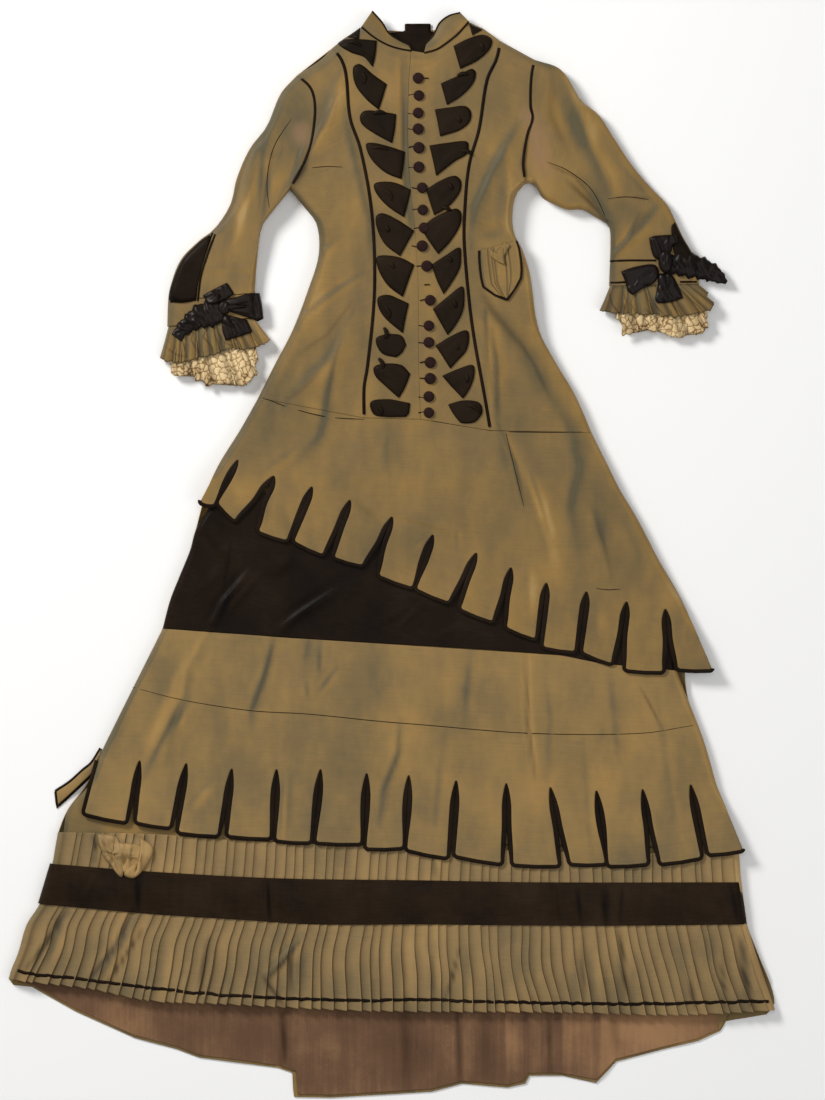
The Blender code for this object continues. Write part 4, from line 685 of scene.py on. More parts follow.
def spread(length: float, cell: float, round_low: bool, round_high: bool) -> np.ndarray:
    """Fractions along an edge, closer together where it rounds over.

    Args:
        length: Length of the edge.
        cell: Distance between the places elsewhere.
        round_low: Whether the start rounds over.
        round_high: Whether the end rounds over.

    Returns:
        Fractions from 0 to 1.
    """
    curve = np.array((0.0, 0.25, 0.9, 2.0, 3.6, 5.6, 8.0)) / length
    low = curve if round_low else np.array((0.0, 1.2 / length))
    high = 1 - curve[::-1] if round_high else np.array((1 - 1.2 / length, 1.0))
    count = max(2, int(round((high[0] - low[-1]) * length / cell)))
    return np.concatenate((low, np.linspace(low[-1], high[0], count + 1)[1:-1], high))


def along_lines(rows: Rows, x: np.ndarray, y: np.ndarray) -> np.ndarray:
    """Sum of soft troughs and ridges along lines.

    Args:
        rows: Half width, height, unevenness and places of each.
        x: Places across.
        y: Places along.

    Returns:
        The height at each place.
    """
    total = np.zeros_like(x, dtype=float)
    for width, height, uneven, *path in rows:
        points = np.array(path, dtype=float).reshape(-1, 2)
        low, high = points.min(axis=0) - 3 * width, points.max(axis=0) + 3 * width
        near = (x > low[0]) & (x < high[0]) & (y > low[1]) & (y < high[1])
        if not near.any():
            continue
        px, py = x[near], y[near]
        lengths = np.linalg.norm(np.diff(points, axis=0), axis=1)
        best = np.full(px.shape, 1e9)
        signed = np.zeros_like(best)
        along = np.zeros_like(best)
        before = 0.0
        for start, end, size in zip(points, points[1:], lengths):
            run = (end - start) / size
            t = np.clip((px - start[0]) * run[0] + (py - start[1]) * run[1], 0, size)
            dx, dy = px - start[0] - t * run[0], py - start[1] - t * run[1]
            away = np.hypot(dx, dy)
            closer = away < best
            best = np.where(closer, away, best)
            signed = np.where(closer, np.sign(run[0] * dy - run[1] * dx) * away, signed)
            along = np.where(closer, before + t, along)
            before += size
        share = best / width
        bell = np.exp(-share**2)
        fade = np.sin(math.pi * (0.06 + 0.88 * along / before)) ** 0.7
        profile = (1 - abs(uneven)) * bell + uneven * 1.7 * (signed / width) * bell
        profile = profile + abs(uneven) * 0.6 * np.exp(-(share * 2.2) ** 2)
        total[near] += height * profile * fade
    return total


def streaks(rows: Rows, x: np.ndarray, y: np.ndarray, uneven: float = 0.0) -> np.ndarray:
    """Sum of streaks of colour along lines, softer on one side where they are uneven.

    Args:
        rows: Half width, strength and places of each.
        x: Places across.
        y: Places along.
        uneven: Difference between their two sides.

    Returns:
        The strength at each place.
    """
    return along_lines([(row[0], row[1], uneven, *row[2:]) for row in rows], x, y)


@dataclass
class Weave:
    """Points and cells of a cloth before it has a thickness."""

    points: list[np.ndarray] = field(default_factory=list)
    threads: list[np.ndarray] = field(default_factory=list)
    cells: list[np.ndarray] = field(default_factory=list)
    count: int = 0

    def add_grid(self, points: np.ndarray, wrap: bool = False, flip: bool = False) -> None:
        """Add a grid of points, row by row.

        Args:
            points: Rows, columns and the three coordinates.
            wrap: Whether the last column joins the first.
            flip: Whether the cells face the other way.
        """
        rows, columns = points.shape[:2]
        ids = self.count + np.arange(rows * columns).reshape(rows, columns)
        if wrap:
            ids = np.concatenate((ids, ids[:, :1]), axis=1)
        cells = np.stack((ids[:-1, :-1], ids[1:, :-1], ids[1:, 1:], ids[:-1, 1:]), axis=-1)
        cells = cells.reshape(-1, 4)
        across = np.zeros((rows, columns))
        across[:, 1:] = np.cumsum(np.linalg.norm(np.diff(points, axis=1), axis=-1), axis=1)
        along = np.zeros((rows, columns))
        along[1:] = np.cumsum(np.linalg.norm(np.diff(points, axis=0), axis=-1), axis=0)
        self.points.append(points.reshape(-1, 3))
        self.threads.append(np.stack((across, along), axis=-1).reshape(-1, 2) * MM)
        self.cells.append(cells[:, ::-1] if flip else cells)
        self.count += rows * columns

    def face_up(self) -> None:
        """Turn the cells so that they face up on the whole."""
        normals = point_normals(np.concatenate(self.points), np.concatenate(self.cells))
        if normals[:, 2].mean() < 0:
            self.cells = [cells[:, ::-1] for cells in self.cells]

    def welded(self) -> tuple[np.ndarray, np.ndarray, np.ndarray, np.ndarray]:
        """Points, thread places and cells with the points that meet made one, and which were kept."""
        points, threads = np.concatenate(self.points), np.concatenate(self.threads)
        keys = np.round(points / WELD).astype(np.int64)
        _, first, inverse = np.unique(keys, axis=0, return_index=True, return_inverse=True)
        cells = inverse.ravel()[np.concatenate(self.cells)]
        return points[first], threads[first], cells, first


def point_normals(points: np.ndarray, cells: np.ndarray) -> np.ndarray:
    """Normal at each point, from the cells round it."""
    a, b, c, d = (points[cells[:, k]] for k in range(4))
    faces = np.cross(c - a, d - b)
    normals = np.zeros_like(points)
    for k in range(4):
        np.add.at(normals, cells[:, k], faces)
    size = np.linalg.norm(normals, axis=1, keepdims=True)
    return normals / np.where(size < 1e-12, 1.0, size)


def thickened(points: np.ndarray, cells: np.ndarray, wall: float) -> tuple[np.ndarray, np.ndarray]:
    """Closed wall under a sheet of cells.

    Args:
        points: Points of the outer face.
        cells: Four-sided cells that face outwards.
        wall: Thickness of the wall.

    Returns:
        Points and cells of the closed wall.
    """
    inner = points - point_normals(points, cells) * wall
    count = len(points)
    starts = cells.ravel()
    ends = np.roll(cells, -1, axis=1).ravel()
    proper = starts != ends
    starts, ends = starts[proper], ends[proper]
    keys, back = starts * count + ends, ends * count + starts
    open_edge = ~np.isin(keys, back)
    a, b = starts[open_edge], ends[open_edge]
    rim = np.stack((b, a, a + count, b + count), axis=1)
    return np.vstack((points, inner)), np.vstack((cells, cells[:, ::-1] + count, rim))


def half_surface(points: np.ndarray, cells: np.ndarray) -> float:
    """Area of a sheet of cells, in square metres."""
    a, b, c, d = (points[cells[:, k]] for k in range(4))
    return float(np.linalg.norm(np.cross(c - a, d - b), axis=1).sum() / 2 * MM**2)


class Relief:
    """The cloth made so far, which trims are laid on."""

    def __init__(self) -> None:
        """Start with no cloth."""
        self.trees: dict[str, BVHTree] = {}

    def add(self, name: str, points: np.ndarray, cells: np.ndarray) -> None:
        """Keep a piece of cloth."""
        self.trees[name] = BVHTree.FromPolygons(points.tolist(), cells.tolist())

    def heights(self, places: np.ndarray, names: Sequence[str]) -> np.ndarray:
        """Height of the highest of the named pieces at places, the nearest known where there is none."""
        found = np.full(len(places), np.nan)
        down = Vector((0, 0, -1))
        for k, (x, y) in enumerate(places):
            for name in names:
                hit = self.trees[name].ray_cast(Vector((x, y, RAY_TOP)), down)[0]
                if hit is not None and not hit.z <= found[k]:
                    found[k] = hit.z
        known = ~np.isnan(found)
        if not known.any():
            return np.zeros(len(places))
        order = np.arange(len(places))
        return np.interp(order, order[known], found[known])


relief = Relief()


@dataclass
class Maker:
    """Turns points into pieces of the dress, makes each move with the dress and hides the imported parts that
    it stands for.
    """

    finishes: dict[str, bpy.types.Material]
    triangles: int = 0

    def object_from(self, name: str, points: np.ndarray, cells: Sequence[Sequence[int]],
                    finish: str, threads: np.ndarray | None = None,
                    marks: dict[str, np.ndarray] | None = None) -> bpy.types.Object:
        """A mesh object at the origin, in metres.

        Args:
            name: Name of the piece.
            points: Points in millimetres.
            cells: Faces.
            finish: Name of its finish.
            threads: Place of each point in the cloth, in metres.
            marks: Named values of each point, such as its sheen.

        Returns:
            The object.
        """
        mesh = bpy.data.meshes.new(name)
        faces = [list(dict.fromkeys(cell)) for cell in np.asarray(cells).tolist()]
        faces = [face for face in faces if len(face) > 2]
        mesh.from_pydata(((points + (SHIFT_X, 0, 0)) * MM).tolist(), [], faces)
        if threads is not None:
            layer = mesh.uv_layers.new(name="UVMap")
            corners = np.zeros(len(mesh.loops), dtype=np.int32)
            mesh.loops.foreach_get("vertex_index", corners)
            layer.data.foreach_set("uv", threads[corners].astype(np.float32).ravel())
        for mark, values in (marks or {}).items():
            attribute = mesh.attributes.new(mark, "FLOAT", "POINT")
            attribute.data.foreach_set("value", values.astype(np.float32))
        mesh.validate()
        mesh.shade_smooth()
        mesh.materials.append(self.finishes[finish])
        thing = bpy.data.objects.new(name, mesh)
        bpy.context.scene.collection.objects.link(thing)
        self.triangles += sum(len(face) - 2 for face in faces)
        return thing

    def tie(self, thing: bpy.types.Object, slot: Cloth, nodes: Sequence[str]) -> bpy.types.Object:
        """Make a piece move with the dress and hide the solids that it stands for."""
        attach(thing, "root")
        if nodes:
            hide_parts(*nodes)
        log.info("%s: %d faces", thing.name, len(thing.data.polygons))
        return thing

    def cloth(self, name: str, weave: Weave, finish: str, slot: Cloth, cut: tuple[float, float],
              held: str, rests_on: Sequence[str] = (), wall: float = SILK_WALL,
              nodes: Sequence[str] | None = None, laid: bool = True,
              fold_shade: np.ndarray | None = None, own_streaks: Rows = ()) -> bpy.types.Object:
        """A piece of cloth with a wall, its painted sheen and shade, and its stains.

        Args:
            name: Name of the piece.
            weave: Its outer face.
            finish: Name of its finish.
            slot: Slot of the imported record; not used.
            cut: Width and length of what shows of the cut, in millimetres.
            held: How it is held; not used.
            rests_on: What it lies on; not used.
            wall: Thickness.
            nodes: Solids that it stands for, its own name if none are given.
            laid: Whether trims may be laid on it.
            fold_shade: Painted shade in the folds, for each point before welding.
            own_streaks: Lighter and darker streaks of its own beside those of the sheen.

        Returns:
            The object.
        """
        points, threads, cells, kept = weave.welded()
        if laid:
            relief.add(name, points, cells)
        area = half_surface(points, cells)
        x, y = points[:, 0], points[:, 1]
        normals = point_normals(points, cells)
        # Painted shade and sheen: each point is greyer or more amber by which way it turns, and along the
        # sheen's streaks and the piece's own streaks
        facing = (normals[:, 0] - 0.6 * normals[:, 1]) * SHADING_PER_TURN
        tint = streaks(SHEEN, x, y, STREAK_UNEVEN) + np.clip(facing, -MOST_SHADING, MOST_SHADING)
        tint = tint + streaks(own_streaks, x, y)
        stain = streaks(STAINS, x, y)
        # Painted shade in the folds, from the piece's own grooves
        dark = np.zeros(len(points)) if fold_shade is None else fold_shade[kept]
        # Faces that look up also get the painted shade of the sharp folds in SHADOWS
        if normals[:, 2].mean() > 0:
            dark = np.clip(dark + streaks(SHADOWS, x, y), 0, 1)
        else:
            # Faces that look down get only tone that differs at random
            tint = HIDDEN_TINT * value_noise(x, y, 90, 5)
        whole, faces = thickened(points, cells, wall)
        whole[:, 2] = np.maximum(whole[:, 2], 0.0)
        marks = {"tint": np.tile(tint, 2), "stain": np.tile(stain, 2), "dark": np.tile(dark, 2)}
        thing = self.object_from(f"{name}_cloth", whole, faces, finish, np.tile(threads, (2, 1)), marks)
        self.tie(thing, slot, [name] if nodes is None else nodes)
        width, length = cut[0] * MM, cut[1] * MM
        share = min(1.0, max(LEAST_SHARE, area / (width * length)))
        share * width * length
        return thing

    def solid(self, name: str, weave: Weave, finish: str, slot: Cloth,
              nodes: Sequence[str] = ()) -> bpy.types.Object:
        """A closed trim such as a piping, with no wall of its own."""
        thing = self.object_from(name, np.concatenate(weave.points), np.concatenate(weave.cells), finish,
                                 np.concatenate(weave.threads))
        return self.tie(thing, slot, nodes)


def swept(weave: Weave, path: np.ndarray, width: float | np.ndarray, thick: float, sink: float = 0.5,
          inset: float | np.ndarray = 0.0, taper: float = 0.0) -> None:
    """Add a rounded strip that follows a path.

    Args:
        weave: What the strip is added to.
        path: Points that it follows, in millimetres.
        width: Its width, all along or for each point.
        thick: Its height over the path.
        sink: Its depth under the path.
        inset: How far it is moved to the left of its own run, all along or for each point.
        taper: Share of the width that is lost at both ends.
    """
    runs = np.gradient(path, axis=0)
    runs /= np.linalg.norm(runs, axis=1, keepdims=True)
    before = np.vstack((runs[:1], np.diff(path, axis=0)))
    after = np.vstack((np.diff(path, axis=0), runs[-1:]))
    cosine = np.sum(before * after, axis=1) / (np.linalg.norm(before, axis=1)
                                               * np.linalg.norm(after, axis=1) + 1e-9)
    mitre = 1 / np.sqrt(np.clip((1 + cosine) / 2, 0.3, 1.0))
    sides = np.cross(np.array((0.0, 0.0, 1.0)), runs)
    sides /= np.maximum(np.linalg.norm(sides, axis=1, keepdims=True), 1e-6)
    ups = np.cross(runs, sides)
    turns = np.linspace(0, math.pi, 7)
    ring = [(math.cos(t), thick * math.sin(t)) for t in turns] + [(-0.85, -sink), (0.85, -sink)]
    fraction = even(len(path))
    size = np.broadcast_to(width, len(path)) / 2 * (1 - taper * (np.abs(2 * fraction - 1) ** 4))
    moved = np.broadcast_to(inset, len(path)) * mitre
    rows = []
    for k, point in enumerate(path):
        centre = point + sides[k] * moved[k]
        rows.append([centre + sides[k] * a * size[k] * mitre[k] + ups[k] * b for a, b in ring])
    grid = np.array(rows)
    base = weave.count
    weave.add_grid(grid, wrap=True, flip=True)
    last = base + (len(path) - 1) * len(ring)
    caps = []
    for first, turned in ((base, True), (last, False)):
        for k in range(1, len(ring) - 1, 2):
            cap = (first, first + k, first + k + 1, first + min(k + 2, len(ring) - 1))
            caps.append(cap[::-1] if turned else cap)
    weave.cells.append(np.array(caps))


def laid_path(points: np.ndarray, names: Sequence[str], lift: float = SEAT) -> np.ndarray:
    """A path on the named cloth.

    Args:
        points: Its places.
        names: The cloth.
        lift: Height over the cloth.

    Returns:
        The path's points.
    """
    heights = relief.heights(points, names)
    return np.column_stack((points, np.maximum(heights - 0.6, softened(heights, 2)) + lift))


def panel_points(patch: Patch, u: np.ndarray, v: np.ndarray, upper: bool, level: Callable | float,
                 creases: Rows, round_left: bool, round_right: bool, shut: np.ndarray,
                 top_cap: Callable | None = None, seed: int = 1, crumple: float = 0.35) -> np.ndarray:
    """Grid of a panel that rounds down to its side seams.

    Args:
        patch: Its outline.
        u: Fractions across.
        v: Fractions down.
        upper: Whether it is the front layer of the tube.
        level: Layers that it lies on, as a number or for each height.
        creases: Its creases.
        round_left: Whether its left side closes on the other layer.
        round_right: Whether its right side does.
        shut: For each row, 1 where the side is closed and 0 where it is open.
        top_cap: Share by which the top closes, for each fraction across.
        seed: Number that picks its fine unevenness.
        crumple: Height of its fine unevenness.

    Returns:
        Rows, columns and the three coordinates.
    """
    uu, vv = np.meshgrid(u, v)
    place = patch.place(uu, vv)
    x, y = place[..., 0], place[..., 1]
    width = patch.width(v)[:, None]
    height = np.ones_like(uu)
    for used, away in ((round_left, uu * width), (round_right, (1 - uu) * width)):
        if used:
            share = np.clip(away / SIDE_ROUND, 0, 1)
            height = np.minimum(height, quarter_round(share))
    rise = 1 - shut[:, None] * (1 - height)
    if top_cap is not None:
        drop = np.clip(vv * patch.left.length / TOP_ROUND, 0, 1)
        cap = 1 - top_cap(uu) * (1 - quarter_round(drop))
        rise = rise * cap
    middle = tube_half(y)
    above = level(y) if callable(level) else level
    turn = 1.0 if upper else -1.0
    half = middle + (above * LAYER_PITCH if upper else 0.0)
    z = middle + turn * (SEAM / 2 + (half - SEAM / 2) * rise)
    calm = np.clip((rise - 0.55) / 0.45, 0, 1)
    fine = value_noise(x, y, 46, seed) * 0.55 + value_noise(x, y * 0.6, 19, seed + 7) * 0.3
    fine = fine + value_noise(x, y, 8, seed + 3) * 0.12
    bumps = along_lines(creases, x, y) + crumple * fine
    if not upper:
        bumps = np.maximum(bumps, 0.0)
    return np.stack((x, y, z + bumps * calm), axis=-1)


APRON_LEVEL_Y = (-200.0, 120.0, 185.0, 240.0)
APRON_LEVEL = (2.0, 2.0, 0.15, 0.0)


def apron_level(y: np.ndarray) -> np.ndarray:
    """Layers under the overskirt, which runs up over two of them."""
    return np.interp(y, APRON_LEVEL_Y, APRON_LEVEL)


def inset_path(points: np.ndarray, inset: float) -> np.ndarray:
    """A path moved to the left of its own run, with square corners kept."""
    before = np.vstack((points[1:2] - points[:1], np.diff(points, axis=0)))
    after = np.vstack((np.diff(points, axis=0), points[-1:] - points[-2:-1]))
    before = before / np.linalg.norm(before, axis=1, keepdims=True)
    after = after / np.linalg.norm(after, axis=1, keepdims=True)
    sides = np.stack((-before[:, 1] - after[:, 1], before[:, 0] + after[:, 0]), axis=1)
    size = np.linalg.norm(sides, axis=1, keepdims=True)
    sides = sides / np.maximum(size, 1e-6)
    mitre = 1 / np.clip(size / 2, 0.6, 1.0)
    return points + sides * inset * mitre


def resampled(points: np.ndarray, cell: float, soft: bool = True) -> np.ndarray:
    """Points of a line at even steps."""
    line = Line(points, soft)
    return line.at_fraction(even(max(3, int(line.length / cell) + 1)))


def closed_outline(places: np.ndarray, cell: float, soft: bool = True) -> np.ndarray:
    """Points at even steps once round, with the first not repeated."""
    return resampled(np.vstack((places, places[:1])), cell, soft)[:-1]


@dataclass
class Bodice:
    """Fitted bodice: back, side fronts and centre fronts between princess seams."""

    maker: Maker
    closing_rise: float = 1.1

    def rows(self, cell: float = CELL) -> np.ndarray:
        """Rows of the bodice, which are finer at the shoulders."""
        length = TwoLines(ARMHOLE_LEFT, SIDE_LEFT, UNDERARM_AT).length
        rows = spread(length, cell, True, False)
        return np.unique(np.concatenate((rows, (UNDERARM_AT,))))

    def shut(self, rows: np.ndarray) -> np.ndarray:
        """Whether the side is closed in each row: it is open along the armhole."""
        return (rows >= UNDERARM_AT - 1e-6).astype(float)

    def waist_lines(self) -> list[Line]:
        """The waist seam, cut where the princess seams and the front edge meet it."""
        points = np.array(WAIST_SEAM, dtype=float)
        return [Line(points[k:k + 2]) for k in range(len(points) - 1)]

    def patches(self) -> dict[str, Patch]:
        """Outlines of the five panels."""
        side_left = TwoLines(ARMHOLE_LEFT, SIDE_LEFT, UNDERARM_AT)
        side_right = TwoLines(ARMHOLE_RIGHT, SIDE_RIGHT, UNDERARM_AT)
        left, right, edge = Line(PRINCESS_LEFT), Line(PRINCESS_RIGHT), Line(FRONT_EDGE)
        waist = self.waist_lines()
        return {
            "bodice_back": Patch(side_left, side_right, Line(NECK_BACK, False), Line(WAIST_BACK)),
            "side_front_left": Patch(side_left, left, Line(SHOULDER_LEFT), waist[0]),
            "centre_front_left": Patch(left, edge, Line(NECK_LEFT, False), waist[1]),
            "centre_front_right": Patch(edge, right, Line(NECK_RIGHT, False), waist[2]),
            "side_front_right": Patch(right, side_right, Line(SHOULDER_RIGHT), waist[3]),
        }

    def build(self) -> None:
        """Make the five panels."""
        rows, coarse = self.rows(), self.rows(COARSE_CELL)
        patches = self.patches()
        caps: dict[str, Callable] = {
            "bodice_back": lambda u: 1.0 - ((u > 0.27) & (u < 0.73)).astype(float),
            "side_front_left": np.ones_like,
            "centre_front_left": lambda u: 1.0 - smooth_step(u, 0.3, 0.42),
            "centre_front_right": lambda u: smooth_step(u, 0.58, 0.7),
            "side_front_right": np.ones_like,
        }
        closed = {"bodice_back": (True, True), "side_front_left": (True, False),
                  "centre_front_left": (False, False), "centre_front_right": (False, False),
                  "side_front_right": (False, True)}
        for name, patch in patches.items():
            upper = name != "bodice_back"
            used = rows if upper else coarse
            widths = patch.width(used)
            cell = CELL if upper else COARSE_CELL
            columns = spread(float(widths.max()), cell, closed[name][0], closed[name][1])
            creases = BODICE_CREASES + APRON_CREASES if upper else BACK_CREASES
            grid = panel_points(patch, columns, used, upper, 0.0, creases, *closed[name],
                                self.shut(used), caps[name], seed=len(name), crumple=0.5)
            if name == "centre_front_right":
                near = np.clip(1 - columns * float(widths.mean()) / 34, 0, 1)
                grid[..., 2] += self.closing_rise * near * near * (3 - 2 * near)
            weave = Weave()
            weave.add_grid(grid, flip=not upper)
            length = TwoLines(ARMHOLE_LEFT, SIDE_LEFT, UNDERARM_AT).length
            self.maker.cloth(name, weave, "silk", Cloth.SILK, (float(widths.max()) * EASE, length),
                             "laid", ("floor",) if not upper else ("bodice_back",))


@dataclass
class Sleeve:
    """Two-piece sleeve with its dark panel, pipings and seam."""

    maker: Maker
    side: Side
    seam_lines: dict[Side, Rows] = field(default_factory=lambda: {
        Side.LEFT: ((-150, 652, -176, 610, -186, 560, -182, 512), (-300, 383, -240, 389, -210, 392)),
        Side.RIGHT: ((233, 588, 264, 575, 300, 546, 324, 498), (324, 533, 352, 536, 385, 532)),
    })
    pipings: dict[Side, Rows] = field(default_factory=lambda: {
        Side.LEFT: ((-268, 482, -279, 452, -289, 418, -294, 380),
                    (-264, 480, -275, 450, -285, 418, -290, 380),
                    (-331, 379, -316, 380, -297, 381)),
        Side.RIGHT: ((327, 440, 352, 441, 396, 441), (328, 408, 340, 408, 352, 409), (432, 409, 457, 409)),
    })
    panel: dict[Side, Rows] = field(default_factory=lambda: {
        Side.LEFT: ((-287, 469), (-313, 441), (-330, 400), (-331, 380), (-296, 381), (-291, 400),
                    (-284, 430), (-271, 478)),
        Side.RIGHT: ((424, 498), (436, 474), (449, 448), (428, 441), (423, 452), (420, 474), (419, 492)),
    })

    def patch(self) -> Patch:
        """Outline of the sleeve, with its columns along the armhole."""
        left = self.side is Side.LEFT
        outer = Line(SLEEVE_OUTER_LEFT if left else SLEEVE_OUTER_RIGHT)
        inner = Line(SLEEVE_INNER_LEFT if left else SLEEVE_INNER_RIGHT)
        top = Line(ARMHOLE_LEFT if left else ARMHOLE_RIGHT)
        ends = (outer.points[-1], inner.points[-1])
        return Patch(outer, inner, top, Line(ends))

    def grid(self, upper: bool, cell: float) -> np.ndarray:
        """Points of the upper or the under sleeve."""
        patch = self.patch()
        length = (patch.left.length + patch.right.length) / 2
        v = spread(length, cell, False, False)
        u = spread(175.0, cell, True, True)
        uu, vv = np.meshgrid(u, v)
        place = patch.place(uu, vv)
        width = patch.width(v)[:, None]
        share = np.clip(np.minimum(uu, 1 - uu) * width / SIDE_ROUND, 0, 1)
        rise = quarter_round(share)
        armhole = tube_half(patch.top.at_fraction(u)[:, 1])[None, :]
        middle = (1 - vv) * armhole + vv * CUFF_HEIGHT / 2
        turn = 1.0 if upper else -1.0
        z = middle + turn * (SEAM / 2 + (middle - SEAM / 2) * rise)
        x, y = place[..., 0], place[..., 1]
        calm = np.clip((rise - 0.5) / 0.5, 0, 1)
        bumps = along_lines(SLEEVE_CREASES, x, y)
        bumps = bumps + 0.9 * value_noise(x, y, 44, 3) + 0.4 * value_noise(x, y, 17, 9)
        if not upper:
            bumps = np.maximum(bumps * 0.5, 0)
        return np.stack((x, y, z + bumps * calm), axis=-1)

    def build(self) -> None:
        """Make both halves of the sleeve, its panel and its seams."""
        side = self.side.value
        left = self.side is Side.LEFT
        length = self.patch().left.length
        for part, upper in (("upper", True), ("under", False)):
            grid = self.grid(upper, CELL if upper else COARSE_CELL)
            weave = Weave()
            weave.add_grid(grid, flip=upper != left)
            cut = (SLEEVE_WIDTH, length * EASE)
            self.maker.cloth(f"sleeve_{part}_{side}", weave, "silk", Cloth.SILK, cut, "laid", ("floor",))
        name = f"sleeve_upper_{side}"
        places = np.array(self.panel[self.side], dtype=float)
        outline = closed_outline(places, 2.5)
        weave = Weave()
        add_domed(weave, outline, (name,), 0.5, 7, (), SEAT + TRIM_WALL)
        size = (outline.max(axis=0) - outline.min(axis=0)) * 1.05
        self.maker.cloth(f"cuff_panel_{side}", weave, "satin", Cloth.SATIN, (float(size[0]), float(size[1])),
                         "laid", (name,), TRIM_WALL)
        weave = Weave()
        # Thin dark strips along the seams, as painted shade of the seams
        for row in self.seam_lines[self.side]:
            path = resampled(pairs(row), 3.0)
            swept(weave, laid_path(path, (name,), -0.1), 1.4, 0.4, 0.6, taper=0.6)
        for row in self.pipings[self.side]:
            path = resampled(pairs(row), 3.0)
            swept(weave, laid_path(path, (name,), 0.1), 3.0, 1.4)
        self.maker.solid(f"sleeve_piping_{side}", weave, "satin", Cloth.SATIN)


def add_domed(weave: Weave, outline: np.ndarray, under: Sequence[str], dome: float, rings: int,
              creases: Rows, lift: float, fullness: float = 2.4) -> None:
    """Add a domed patch inside an outline, as rings round its middle.

    Args:
        weave: What the patch is added to.
        outline: Places round it.
        under: What it lies on.
        dome: Height of its middle over its edge.
        rings: Rings of points from the edge to the middle.
        creases: Its creases.
        lift: Height over what it lies on.
        fullness: Steepness of its edge, high for a flat piece with a folded edge.
    """
    following = np.roll(outline, -1, axis=0)
    turn = np.sum(outline[:, 0] * following[:, 1] - following[:, 0] * outline[:, 1])
    middle = outline.mean(axis=0)
    shares = np.concatenate((even(rings)[:-1], (0.97,)))
    places = np.array([outline * (1 - s) + middle * s for s in shares])
    flat = places.reshape(-1, 2)
    heights = relief.heights(flat, under).reshape(places.shape[:2])
    heights = np.maximum(heights, heights[0][None, :] - 1.0)
    bulge = dome * np.sqrt(np.clip(1 - (1 - shares) ** fullness, 0, 1))
    z = heights + lift + bulge[:, None]
    z = z + along_lines(creases, places[..., 0], places[..., 1]) * np.clip(shares * 5, 0.2, 1)[:, None]
    grid = raised(places, z)
    base = weave.count
    weave.add_grid(grid, wrap=True, flip=turn < 0)
    count = len(outline)
    last = base + (len(shares) - 1) * count
    centre = np.append(middle, z[-1].mean())[None, :]
    weave.points.append(centre)
    weave.threads.append(centre[:, :2] * MM)
    top = weave.count
    weave.count += 1
    ids = last + np.arange(count)
    after = np.roll(ids, -1)
    first, second = (ids, after) if turn < 0 else (after, ids)
    weave.cells.append(np.stack((first, second, np.full(count, top), np.full(count, top)), axis=1))


